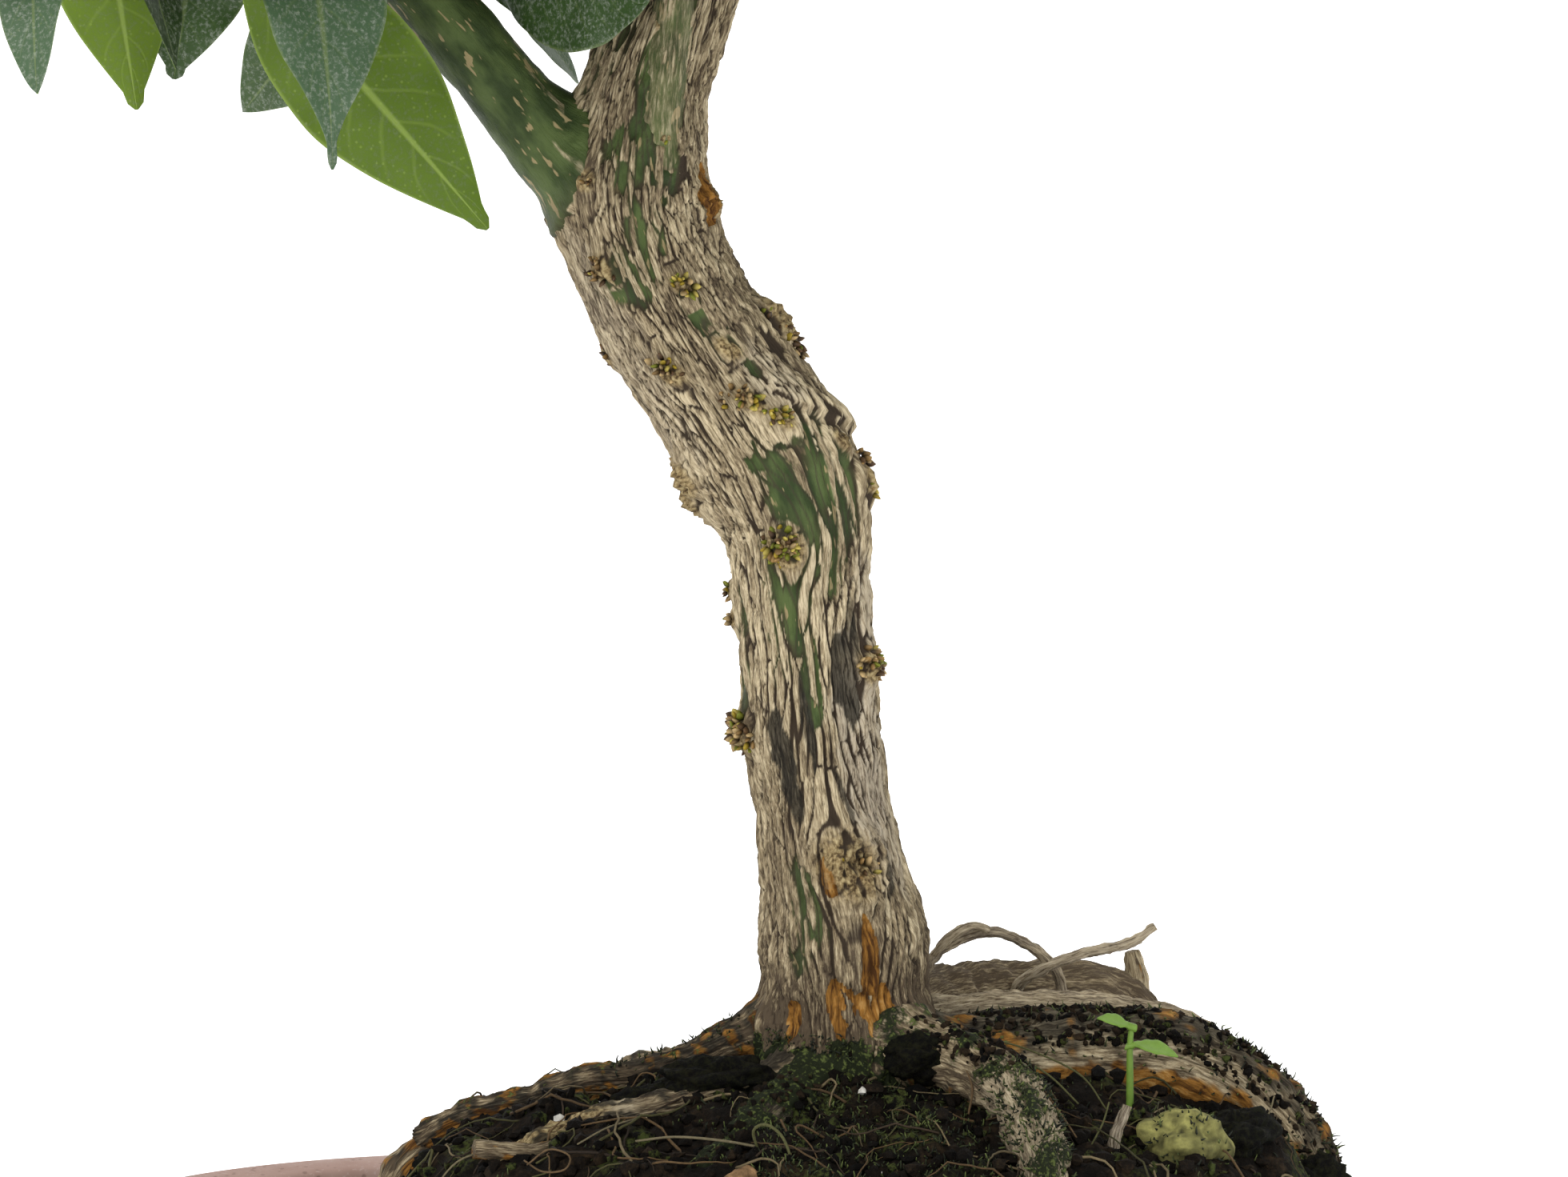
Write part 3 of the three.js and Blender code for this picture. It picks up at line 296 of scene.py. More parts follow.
def noise(points: Array, seed: int = 0) -> Array:
    """Gradient noise: each lattice corner has a slope, and the eight around a point blend with a quintic fade.

    Args:
        points: (N, 3) places, in lattice cells.
        seed: Picks another pattern.

    Returns:
        (N,) values, mostly from -1 to 1.
    """
    cell = np.floor(points).astype(np.int64)
    part = points - cell
    fade = part ** 3 * (part * (part * 6 - 15) + 10)
    total = np.zeros(len(points))
    for corner in CORNERS:
        node = cell + corner
        mixed = np.bitwise_xor.reduce(node * SPREAD, axis=1) ^ (seed * 7919 + 13)
        mixed = (mixed ^ (mixed >> 15)) * MIX[0] & WORD
        slope = SLOPES[(mixed >> 13) & 255]
        share = np.prod(np.where(corner, fade, 1 - fade), axis=1)
        total += share * np.einsum("ij,ij->i", slope, part - corner)
    return 1.7 * total


def scatter(first: Array, second: Array, seed: int) -> Array:
    """A number from 0 to 1 for each pair of whole numbers, the same on every run.

    Args:
        first: Whole numbers.
        second: Whole numbers of the same shape.
        seed: Picks another pattern.

    Returns:
        One number for each pair.
    """
    mixed = first * SPREAD[0] ^ second * SPREAD[1] ^ (seed * SPREAD[2] + 13)
    mixed = (mixed ^ (mixed >> 15)) * MIX[0] & WORD
    mixed = (mixed ^ (mixed >> 13)) * MIX[1] & WORD
    return (mixed >> 8 & HALF_WORD) / (HALF_WORD + 1)


def layered(points: Array, octaves: int, seed: int = 0) -> Array:
    """Sum of noise layers, each twice as fine and half as strong as the one before."""
    return sum(noise(points * 2 ** k, seed + k) / 2 ** k for k in range(octaves))


@dataclass
class Skin:
    """Points and faces of closed surfaces, with the values and coats that their materials read.

    points: (V, 3) in millimetres. quads and trios: faces as rows of point numbers.
    values: numbers or vectors at the points. coats: material number per face, quads first.
    """

    points: Array
    quads: Array
    trios: Array
    values: dict[str, Array] = field(default_factory=dict)
    coats: Array | None = None

    def outward(self) -> "Skin":
        """Turns all faces round if the signed volume, the sum of a.(b x c)/6, is negative.

        Returns:
            The skin itself.
        """
        parts = [self.trios, self.quads[:, [0, 1, 2]], self.quads[:, [0, 2, 3]]]
        a, b, c = (self.points[np.vstack(parts)[:, k]] for k in range(3))
        if np.einsum("ij,ij->", a, np.cross(b, c)) < 0:
            self.quads = self.quads[:, ::-1]
            self.trios = self.trios[:, ::-1]
        return self

    def face_coats(self) -> Array:
        """The material number of every face, 0 where none is given."""
        count = len(self.quads) + len(self.trios)
        return np.zeros(count, int) if self.coats is None else self.coats


def merged(skins: Iterable[Skin]) -> Skin:
    """One skin that holds all the given ones; they share no points.

    Args:
        skins: Skins with the same kinds of values.

    Returns:
        The skin of all.
    """
    skins = list(skins)
    starts = np.cumsum([0] + [len(skin.points) for skin in skins[:-1]])
    names = {name: value for skin in skins for name, value in skin.values.items()}
    values = {}
    for name, sample in names.items():
        blank = [np.zeros((len(skin.points), *sample.shape[1:])) for skin in skins]
        values[name] = np.concatenate([skin.values.get(name, none) for skin, none in zip(skins, blank)])
    quad_coats = [skin.face_coats()[: len(skin.quads)] for skin in skins]
    trio_coats = [skin.face_coats()[len(skin.quads):] for skin in skins]
    return Skin(
        points=np.concatenate([skin.points for skin in skins]),
        quads=np.concatenate([skin.quads + start for skin, start in zip(skins, starts)]),
        trios=np.concatenate([skin.trios + start for skin, start in zip(skins, starts)]),
        values=values,
        coats=np.concatenate(quad_coats + trio_coats),
    )


def ring_skin(rings: Array, values: dict[str, Array] | None = None) -> Skin:
    """Closed skin through rings of points, with a fan to the middle of the ring at each end.

    Args:
        rings: (N, M, 3) points, M round each of N rings.
        values: Arrays of (N, M) or (N, M, 3) for the points.

    Returns:
        The skin, with its faces pointing out.
    """
    count, sides = rings.shape[:2]
    i = np.arange(count - 1)[:, None] * sides
    j = np.arange(sides)[None, :]
    after = (j + 1) % sides
    quads = np.stack([i + j, i + after, i + sides + after, i + sides + j], axis=-1).reshape(-1, 4)
    first, last = count * sides, count * sides + 1
    top = (count - 1) * sides
    trios = np.concatenate([
        np.stack([np.full(sides, first), after[0], j[0]], axis=-1),
        np.stack([np.full(sides, last), top + j[0], top + after[0]], axis=-1),
    ])
    ends = rings[[0, -1]].mean(axis=1)
    held = {}
    for name, value in (values or {}).items():
        flat = value.reshape(count * sides, *value.shape[2:])
        held[name] = np.concatenate([flat, value[[0, -1]].mean(axis=1)])
    return Skin(np.concatenate([rings.reshape(-1, 3), ends]), quads, trios, held).outward()


def tube_faces(rows: int, sides: int) -> Array:
    """(F, 3) faces of a closed tube of so many rings, numbered as in ring_skin."""
    shape = ring_skin(np.zeros((rows, sides, 3)))
    return np.concatenate([shape.quads[:, [0, 1, 2]], shape.quads[:, [0, 2, 3]], shape.trios])


def copies(points: Array, faces: Array, values: dict[str, Array]) -> Skin:
    """Many like shapes in one skin.

    Args:
        points: (K, P, 3) points of K shapes.
        faces: (F, 3) or (F, 4) faces of one shape.
        values: Arrays of (K, P) or (K, P, 3) for the points.

    Returns:
        The skin of all the shapes.
    """
    count, size = points.shape[:2]
    rows = (faces[None] + np.arange(count)[:, None, None] * size).reshape(-1, faces.shape[1])
    none = np.zeros((0, 7 - faces.shape[1]), int)
    quads, trios = (rows, none) if faces.shape[1] == 4 else (none, rows)
    held = {name: value.reshape(count * size, *value.shape[2:]) for name, value in values.items()}
    return Skin(points.reshape(-1, 3), quads, trios, held)


def make_object(name: str, skin: Skin, coats: Sequence[Material], slot: str,
                replaces: Sequence[str] = (), sharp: float = 0.0) -> Piece:
    """Puts a skin into a mesh object that rides on the root body.

    Args:
        name: The piece's name.
        skin: Points, faces and values.
        coats: Materials, by the numbers in the skin's coats.
        slot: A material slot's name; not used.
        replaces: CAD nodes that the piece stands for.
        sharp: Angle in degrees past which an edge is shaded sharp; 0 for none.

    Returns:
        The object, in the scene.
    """
    mesh = bpy.data.meshes.new(name)
    sizes = np.concatenate([np.full(len(skin.quads), 4), np.full(len(skin.trios), 3)])
    corners = np.concatenate([skin.quads.ravel(), skin.trios.ravel()])
    mesh.vertices.add(len(skin.points))
    mesh.vertices.foreach_set("co", ((skin.points - (*POT_PLACE, 0)) * MM).astype(np.float32).ravel())
    mesh.loops.add(len(corners))
    mesh.loops.foreach_set("vertex_index", corners.astype(np.int32))
    mesh.polygons.add(len(sizes))
    mesh.polygons.foreach_set("loop_start", (np.cumsum(sizes) - sizes).astype(np.int32))
    mesh.polygons.foreach_set("material_index", skin.face_coats().astype(np.int32))
    mesh.polygons.foreach_set("use_smooth", np.ones(len(sizes), bool))
    mesh.update(calc_edges=True)
    for title, value in skin.values.items():
        kind, key = ("FLOAT", "value") if value.ndim == 1 else ("FLOAT_VECTOR", "vector")
        layer = mesh.attributes.new(title, kind, "POINT")
        layer.data.foreach_set(key, value.astype(np.float32).ravel())
    if sharp:
        mesh.set_sharp_from_angle(angle=math.radians(sharp))
    for coat in coats:
        mesh.materials.append(coat)
    piece = bpy.data.objects.new(name, mesh)
    bpy.context.scene.collection.objects.link(piece)
    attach(piece, "root")
    if replaces:
        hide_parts(*replaces)
    LOG.info("%s: %d points, %d faces", name, len(skin.points), len(sizes))
    return piece


class Route:
    """Smooth line through a path's points, with a radius carried along it.

    The line is a centripetal Catmull-Rom curve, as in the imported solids, so a share of 0 to 1
    gives the same place on both.
    """

    def __init__(self, rows: Rows) -> None:
        """Keeps the points and adds one past each end, mirrored in the end.

        Args:
            rows: Points with their radii, (x, y, z, radius).
        """
        table = np.asarray(rows, float)
        self.points, self.radii = table[:, :3], table[:, 3]
        before = 2 * self.points[0] - self.points[1]
        after = 2 * self.points[-1] - self.points[-2]
        self.bent = np.vstack([before, self.points, after])

    def at(self, shares: Array) -> Array:
        """(N, 3) points at shares of the path, each a cubic with slopes from its four neighbours.

        Args:
            shares: Shares of the path, from 0 to 1.

        Returns:
            The points.
        """
        place = np.clip(np.asarray(shares, float), 0, 1) * (len(self.points) - 1)
        k = np.minimum(place.astype(int), len(self.points) - 2)
        w = (place - k)[:, None]
        p = [self.bent[k + i] for i in range(4)]
        d = [np.sum((p[i + 1] - p[i]) ** 2, axis=1)[:, None] ** 0.25 for i in range(3)]
        leave = ((p[1] - p[0]) / d[0] - (p[2] - p[0]) / (d[0] + d[1])) * d[1] + p[2] - p[1]
        enter = p[2] - p[1] + ((p[3] - p[2]) / d[2] - (p[3] - p[1]) / (d[1] + d[2])) * d[1]
        square = -3 * p[1] + 3 * p[2] - 2 * leave - enter
        cube = 2 * p[1] - 2 * p[2] + leave + enter
        return p[1] + w * (leave + w * (square + w * cube))

    def radius(self, shares: Array) -> Array:
        """(N,) radii at shares of the path, straight between its points."""
        return np.interp(np.asarray(shares) * (len(self.radii) - 1), np.arange(len(self.radii)), self.radii)

    def tangents(self, shares: Array) -> Array:
        """(N, 3) unit directions of the path, from points a ten-thousandth before and after.

        Args:
            shares: Shares of the path, from 0 to 1.

        Returns:
            The directions.
        """
        step = 1e-4
        low, high = np.clip(shares - step, 0, 1), np.clip(shares + step, 0, 1)
        return unit(self.at(high) - self.at(low))

    def length(self) -> float:
        """Length of the line, as 200 straight pieces."""
        points = self.at(np.linspace(0, 1, 201))
        return float(np.linalg.norm(np.diff(points, axis=0), axis=1).sum())

    def spaced(self, count: int, density: Callable[[Array], Array] | None = None) -> Array:
        """Shares that lie evenly along the line, or closer together where the density is higher.

        They are read off the running sum of length times density at even steps.

        Args:
            count: How many.
            density: How close together they lie at points of the path.

        Returns:
            The shares.
        """
        shares = np.linspace(0, 1, 801)
        points = self.at(shares)
        steps = np.linalg.norm(np.diff(points, axis=0), axis=1)
        if density is not None:
            steps = steps * density((points[1:] + points[:-1]) / 2)
        run = np.concatenate([[0], np.cumsum(steps)])
        return np.interp(np.linspace(0, run[-1], count), run, shares)

    def samples(self) -> tuple[Array, Array]:
        """Points and radii about every 3 mm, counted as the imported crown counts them.

        Returns:
            (N, 3) points and (N,) radii.
        """
        count = max(2, math.ceil(self.length() / 3))
        shares = np.arange(count + 1) / count
        return self.at(shares), self.radius(shares)


def carried_frames(tangents: Array) -> tuple[Array, Array]:
    """Two directions across a path, carried along it without twist, starting at its front.

    Args:
        tangents: (N, 3) unit directions of the path.

    Returns:
        Both directions, each (N, 3).
    """
    across = np.empty_like(tangents)
    held = np.array([0.0, -1.0, 0.0])
    for k, along in enumerate(tangents):
        if abs(along @ held) > 0.95:
            held = np.array([1.0, 0.0, 0.0])
        held = unit(held - (held @ along) * along)
        across[k] = held
    return across, np.cross(tangents, across)


@dataclass
class LimbPlaces:
    """Where the points of a limb's surface lie: arrays of (N, M) or (N, M, 3)."""

    turn: Array
    share: Array
    arc: Array
    radius: Array
    surface: Array
    out: Array

    def grain(self) -> Array:
        """Straightened place of each point: round a cylinder of the limb's mean radius, and along it."""
        mean = float(self.radius.mean())
        return np.stack([mean * np.cos(self.turn), mean * np.sin(self.turn), self.arc], axis=-1)


def limb_places(route: Route, shares: Array, around: int, crowding: float = 0.0,
                swell: Callable[[Array, Array], Array] | None = None) -> LimbPlaces:
    """Lays rings of points on a limb.

    The point at turn a of the ring at share t is centre + radius (1 + swell) (across cos a + side sin a).
    Crowding c moves the turns from a to a - c sin a, closer together at the front.

    Args:
        route: The path.
        shares: Shares of the path, from 0 to 1.
        around: Points round each ring.
        crowding: The c above.
        swell: Gives the swell of turns and shares.

    Returns:
        The places of all points.
    """
    centres, tangents = route.at(shares), route.tangents(shares)
    across, side = carried_frames(tangents)
    even = np.linspace(0, 2 * math.pi, around, endpoint=False)
    turn = np.broadcast_to(even - crowding * np.sin(even), (len(shares), around))
    share = np.broadcast_to(shares[:, None], turn.shape)
    steps = np.linalg.norm(np.diff(centres, axis=0), axis=1)
    arc = np.broadcast_to(np.concatenate([[0], np.cumsum(steps)])[:, None], turn.shape)
    out = across[:, None] * np.cos(turn)[..., None] + side[:, None] * np.sin(turn)[..., None]
    radius = route.radius(shares)[:, None] * np.ones_like(turn)
    if swell:
        radius = radius * (1 + swell(turn, share))
    return LimbPlaces(turn, share, arc, radius, centres[:, None] + out * radius[..., None], out)


def apart(points: Array, centres: Array, radii: Array) -> Array:
    """Distance of (N, 3) points from the nearest of some balls; negative inside.

    Args:
        points: (N, 3) places.
        centres: Middles of the balls.
        radii: Radii of the balls.

    Returns:
        (N,) distances.
    """
    best = np.full(len(points), 1e9)
    for centre, radius in zip(centres, radii):
        best = np.minimum(best, np.linalg.norm(points - centre, axis=1) - radius)
    return best


class Wiring:
    """Short way to wire the nodes of one material."""

    def __init__(self, name: str) -> None:
        """Makes an empty node material with its shader and output.

        Args:
            name: The material's name.
        """
        self.material = bpy.data.materials.new(name)
        self.material.use_nodes = True
        self.tree = self.material.node_tree
        self.tree.nodes.clear()
        self.shader = self.add("ShaderNodeBsdfPrincipled")
        output = self.add("ShaderNodeOutputMaterial")
        self.tree.links.new(self.shader.outputs[0], output.inputs[0])

    def add(self, kind: str, **settings: object) -> bpy.types.Node:
        """A new node with its settings.

        Args:
            kind: Type of the node.
            settings: Its fields.

        Returns:
            The node.
        """
        node = self.tree.nodes.new(kind)
        for key, value in settings.items():
            setattr(node, key, value)
        return node

    def put(self, socket: Socket, value: object) -> None:
        """Links a socket to another, or sets its number or colour.

        Args:
            socket: Input to set.
            value: Output, number or colour.
        """
        if isinstance(value, Socket):
            self.tree.links.new(value, socket)
        elif isinstance(value, tuple) and socket.type == "RGBA":
            socket.default_value = (*value, 1.0)
        else:
            socket.default_value = value

    def read(self, name: str) -> Socket:
        """A vector that the mesh holds at its points."""
        return self.add("ShaderNodeAttribute", attribute_name=name).outputs["Vector"]

    def place(self) -> Socket:
        """Object coordinates, in millimetres."""
        return self.scaled(self.add("ShaderNodeTexCoord").outputs["Object"], (1 / MM,) * 3)

    def split(self, vector: Socket) -> list[Socket]:
        """The three numbers of a vector.

        Args:
            vector: The vector to read.

        Returns:
            Outputs for x, y and z.
        """
        node = self.add("ShaderNodeSeparateXYZ")
        self.put(node.inputs[0], vector)
        return list(node.outputs)

    def scaled(self, vector: Socket, scale: Triple) -> Socket:
        """A vector times a scale for each axis.

        Args:
            vector: The vector to read.
            scale: Factor for each axis.

        Returns:
            The product.
        """
        node = self.add("ShaderNodeMapping")
        self.put(node.inputs["Vector"], vector)
        node.inputs["Scale"].default_value = scale
        return node.outputs[0]

    def cloud(self, vector: Socket, scale: float, detail: float = 4,
              rough: float = 0.55, warp: float = 0.0) -> Socket:
        """Noise from 0 to 1.

        Args:
            vector: The vector to read.
            scale: Cells a millimetre.
            detail: Octaves.
            rough: Strength of the finer ones.
            warp: How far it is bent.

        Returns:
            The noise.
        """
        node = self.add("ShaderNodeTexNoise")
        self.put(node.inputs["Vector"], vector)
        node.inputs["Scale"].default_value = scale
        node.inputs["Detail"].default_value = detail
        node.inputs["Roughness"].default_value = rough
        node.inputs["Distortion"].default_value = warp
        return node.outputs["Fac"]

    def cells(self, vector: Socket, scale: float) -> Socket:
        """Distance to the nearest of scattered points.

        Args:
            vector: The vector to read.
            scale: Cells a millimetre.

        Returns:
            The distance.
        """
        node = self.add("ShaderNodeTexVoronoi")
        self.put(node.inputs["Vector"], vector)
        node.inputs["Scale"].default_value = scale
        return node.outputs["Distance"]

    def times(self, first: object, second: object) -> Socket:
        """The product of two numbers."""
        return self.number("MULTIPLY", first, second)

    def plus(self, first: object, second: object) -> Socket:
        """The sum of two numbers."""
        return self.number("ADD", first, second)

    def less(self, first: object, second: object) -> Socket:
        """The first number less the second."""
        return self.number("SUBTRACT", first, second)

    def number(self, kind: str, *terms: object) -> Socket:
        """A Math node.

        Args:
            kind: Its operation.
            terms: Outputs or numbers.

        Returns:
            The result.
        """
        node = self.add("ShaderNodeMath", operation=kind)
        for socket, term in zip(node.inputs, terms):
            self.put(socket, term)
        return node.outputs[0]

    def step(self, value: Socket, low: float, high: float,
             ends: tuple[float, float] = (0.0, 1.0)) -> Socket:
        """A smooth rise from the first end at low to the second at high.

        Args:
            value: What rises.
            low: Where the rise starts.
            high: Where it ends.
            ends: Results there.

        Returns:
            The rise.
        """
        node = self.add("ShaderNodeMapRange", interpolation_type="SMOOTHSTEP")
        for socket, term in zip(node.inputs, (value, low, high, *ends)):
            self.put(socket, term)
        return node.outputs[0]

    def ramp(self, value: Socket,
             stops: Sequence[tuple[float, Colour]]) -> Socket:
        """Colours by value.

        Args:
            value: Where to read.
            stops: Places with their colours.

        Returns:
            The colour.
        """
        node = self.add("ShaderNodeValToRGB")
        self.put(node.inputs[0], value)
        knots = node.color_ramp.elements
        while len(knots) < len(stops):
            knots.new(1.0)
        for knot, (place, colour) in zip(knots, stops):
            knot.position, knot.color = place, (*colour, 1.0)
        return node.outputs[0]

    def mix(self, share: object, first: object, second: object, kind: str = "MIX") -> Socket:
        """The first colour with a share of the second over it.

        Args:
            share: Share of the second.
            first: Colour below.
            second: Colour on top.
            kind: Way of blending.

        Returns:
            The colour.
        """
        node = self.add("ShaderNodeMix", data_type="RGBA", blend_type=kind)
        sockets = [s for s in node.inputs if s.enabled]
        for socket, value in zip(sockets, (share, first, second)):
            self.put(socket, value)
        return next(s for s in node.outputs if s.enabled)

    def finish(self, colour: object, rough: object, height: object = None, depth: float = 0.2,
               strength: float = 0.6, gloss: float = 0.4) -> Material:
        """Wires colour, roughness and bump into the shader.

        Args:
            colour: Base colour.
            rough: Roughness.
            height: Relief from 0 to 1, or None.
            depth: Millimetres that a height of 1 stands for.
            strength: Strength of the bump.
            gloss: Specular level.

        Returns:
            The material.
        """
        self.put(self.shader.inputs["Base Color"], colour)
        self.put(self.shader.inputs["Roughness"], rough)
        self.shader.inputs["Specular IOR Level"].default_value = gloss
        if height is not None:
            bump = self.add("ShaderNodeBump")
            bump.inputs["Strength"].default_value = strength
            bump.inputs["Distance"].default_value = depth * MM
            self.put(bump.inputs["Height"], height)
            self.put(self.shader.inputs["Normal"], bump.outputs[0])
        return self.material


@dataclass(frozen=True)
class BarkFinish:
    """Ridged bark over green rind, with stains, bare orange wood and moss, by the mesh's values.

    form holds plate, green and stain; tone holds orange, pale and moss; cell the plate's own number, the
    share of knot and the nearness of a border, which carries painted shade; grain the straightened place.
    """

    dull: Colour = (0.09, 0.066, 0.042)
    tan: Colour = (0.28, 0.22, 0.132)
    light: Colour = (0.62, 0.52, 0.345)
    silver: Colour = (0.46, 0.4, 0.31)
    furrow_shade: Colour = (0.042, 0.03, 0.02)
    rind: Colour = (0.03, 0.048, 0.015)
    rind_light: Colour = (0.085, 0.12, 0.038)
    black: Colour = (0.014, 0.012, 0.009)
    orange: Colour = (0.3, 0.14, 0.028)
    orange_dark: Colour = (0.06, 0.024, 0.006)
    moss: Colour = (0.012, 0.016, 0.006)
    moss_light: Colour = (0.1, 0.125, 0.035)

    def make(self, name: str) -> Material:
        """The bark material.

        Args:
            name: The material's name.

        Returns:
            The material.
        """
        w = Wiring(name)
        grain = w.read("grain")
        plate, green, stain = w.split(w.read("form"))[:3]
        orange, pale, moss = w.split(w.read("tone"))[:3]
        key, knot, line = w.split(w.read("cell"))[:3]
        fibre = w.cloud(w.scaled(grain, (3.4, 3.4, 0.42)), 1.0, 5, 0.7, 0.4)
        blotch = w.cloud(w.scaled(grain, (0.35, 0.35, 0.12)), 1.0, 3)
        fleck = w.cloud(w.scaled(grain, (2.2, 2.2, 1.6)), 1.0, 3)
        tone = w.plus(w.times(fibre, 2.3), w.times(blotch, 0.3))
        tone = w.less(w.plus(tone, w.times(key, 0.3)), 0.8)
        wood = w.ramp(tone, ((0.25, self.dull), (0.55, self.tan), (0.95, self.light)))
        wood = w.mix(w.times(pale, w.step(fibre, 0.3, 0.62)), wood, self.silver)
        crumbly = w.ramp(fleck, ((0.36, (0.07, 0.045, 0.022)), (0.5, (0.25, 0.18, 0.085)),
                                 (0.66, (0.45, 0.36, 0.19))))
        wood = w.mix(w.step(knot, 0.2, 0.75), wood, crumbly)
        rind = w.mix(w.step(blotch, 0.35, 0.65), self.rind, self.rind_light)
        streak = w.step(w.cloud(w.scaled(grain, (0.9, 0.9, 0.24)), 1.0, 2), 0.62, 0.66)
        rind = w.mix(streak, rind, (0.3, 0.24, 0.12))
        # The furrow colour is painted shade: it fills the cracks where no plate shows and darkens the green
        # rind near a plate's border.
        floor = w.mix(green, self.furrow_shade, w.mix(w.times(line, 0.75), rind, self.furrow_shade))
        shown = w.step(w.plus(plate, w.times(w.less(fibre, 0.5), 0.5)), 0.2, 0.75)
        colour = w.mix(shown, floor, wood)
        dark = w.mix(w.step(fibre, 0.4, 0.75), self.black, (0.062, 0.055, 0.04))
        colour = w.mix(w.times(stain, 0.92), colour, dark)
        bare = w.ramp(w.cloud(w.scaled(grain, (1.1, 1.1, 0.22)), 1.0, 4, 0.65, 0.6),
                      ((0.4, self.orange_dark), (0.56, self.orange), (0.75, (0.55, 0.34, 0.12))))
        colour = w.mix(w.step(w.plus(orange, w.times(fibre, 0.25)), 0.35, 0.62), colour, bare)
        damp = w.mix(w.step(fleck, 0.52, 0.7), self.moss, self.moss_light)
        edge = w.plus(moss, w.times(w.less(fleck, 0.5), 0.9))
        colour = w.mix(w.step(edge, 0.4, 0.6), colour, damp)
        rough = w.step(w.times(green, w.less(1.0, shown)), 0.0, 1.0, (0.86, 0.5))
        height = w.plus(w.times(fibre, 0.8), w.times(fleck, 0.5))
        return w.finish(colour, rough, height, 0.4, 0.8, 0.15)


@dataclass(frozen=True)
class LeafFinish:
    """One face of a leaf: blade holds the share along it, the place across it and the leaf's tint."""

    dark: Colour
    middle: Colour
    light: Colour
    rib: Colour
    dust: float
    rough: float
    gloss: float

    def make(self, name: str) -> Material:
        """The leaf material: ribs, side veins that rise towards the tip, oil glands and dust.

        Args:
            name: The material's name.

        Returns:
            The material.
        """
        w = Wiring(name)
        along, across, tint = w.split(w.read("blade"))[:3]
        place = w.place()
        side = w.number("ABSOLUTE", across)
        soft = w.cloud(place, 0.12, 3)
        grit = w.cloud(place, 1.7, 4, 0.7)
        wave = w.less(w.times(along, 8.5), w.times(side, 1.5))
        wave = w.plus(wave, w.times(w.number("GREATER_THAN", across, 0.0), 0.43))
        wave = w.plus(wave, w.times(soft, 0.5))
        line = w.number("ABSOLUTE", w.less(w.number("FRACT", wave), 0.5))
        vein = w.times(w.step(line, 0.0, 0.1, (1.0, 0.0)), w.step(side, 0.5, 1.0, (1.0, 0.0)))
        rib = w.step(side, 0.015, 0.075, (1.0, 0.0))
        colour = w.ramp(w.plus(tint, w.times(w.less(soft, 0.5), 0.5)),
                        ((0.1, self.dark), (0.5, self.middle), (0.95, self.light)))
        colour = w.mix(w.step(grit, 0.3, 0.75, (0.0, 0.3)), colour, (0.03, 0.045, 0.01))
        colour = w.mix(w.times(vein, 0.16), colour, self.rib)
        colour = w.mix(w.times(rib, 0.6), colour, self.rib)
        gland = w.step(w.cells(place, 0.9), 0.1, 0.22, (0.3, 0.0))
        colour = w.mix(gland, colour, self.rib)
        rim = w.step(side, 0.93, 1.0)
        colour = w.mix(w.times(rim, 0.5), colour, self.rib)
        colour = w.mix(w.step(grit, 0.45, 0.75, (0.0, self.dust)), colour, (0.36, 0.4, 0.34))
        raised = w.plus(rib, w.times(vein, 0.6))
        height = w.less(w.times(grit, 0.25), raised)
        rough = w.step(grit, 0.3, 0.8, (self.rough, self.rough + 0.2))
        return w.finish(colour, rough, height, 0.12, 0.5, self.gloss)


@dataclass(frozen=True)
class EarthFinish:
    """Black peat with brown fibres and patches of moss; earth holds how brown and how mossy a point is."""

    black: Colour = (0.003, 0.0028, 0.0025)
    brown: Colour = (0.04, 0.026, 0.014)

    def make(self, name: str) -> Material:
        """The earth material.

        Args:
            name: The material's name.

        Returns:
            The material.
        """
        w = Wiring(name)
        brown, moss = w.split(w.read("earth"))[:2]
        place = w.place()
        grit = w.cloud(place, 1.1, 5, 0.7)
        coarse = w.cloud(place, 0.28, 3)
        tone = w.plus(w.times(grit, 0.6), w.times(w.plus(coarse, brown), 0.35))
        colour = w.ramp(tone, ((0.45, self.black), (0.66, (0.009, 0.0065, 0.0045)), (0.88, self.brown)))
        colour = w.mix(w.times(moss, w.step(grit, 0.42, 0.6)), colour, (0.05, 0.062, 0.016))
        return w.finish(colour, 0.8, grit, 0.8, 0.9, 0.08)


@dataclass(frozen=True)
class TintFinish:
    """Plain stuff whose colour is held at the mesh's points, with grit over it."""

    rough: float = 0.8
    grain: float = 1.5
    depth: float = 0.15
    gloss: float = 0.3
    spread: float = 0.45

    def make(self, name: str) -> Material:
        """The material, with grit over the colour that the mesh holds.

        Args:
            name: The material's name.

        Returns:
            The material.
        """
        w = Wiring(name)
        place = w.place()
        grit = w.cloud(place, self.grain, 4, 0.65)
        shade = w.ramp(grit, ((0.25, (1 - self.spread,) * 3), (0.75, (1 + self.spread * 0.4,) * 3)))
        colour = w.mix(1.0, w.read("tint"), shade, "MULTIPLY")
        return w.finish(colour, self.rough, grit, self.depth, 0.6, self.gloss)


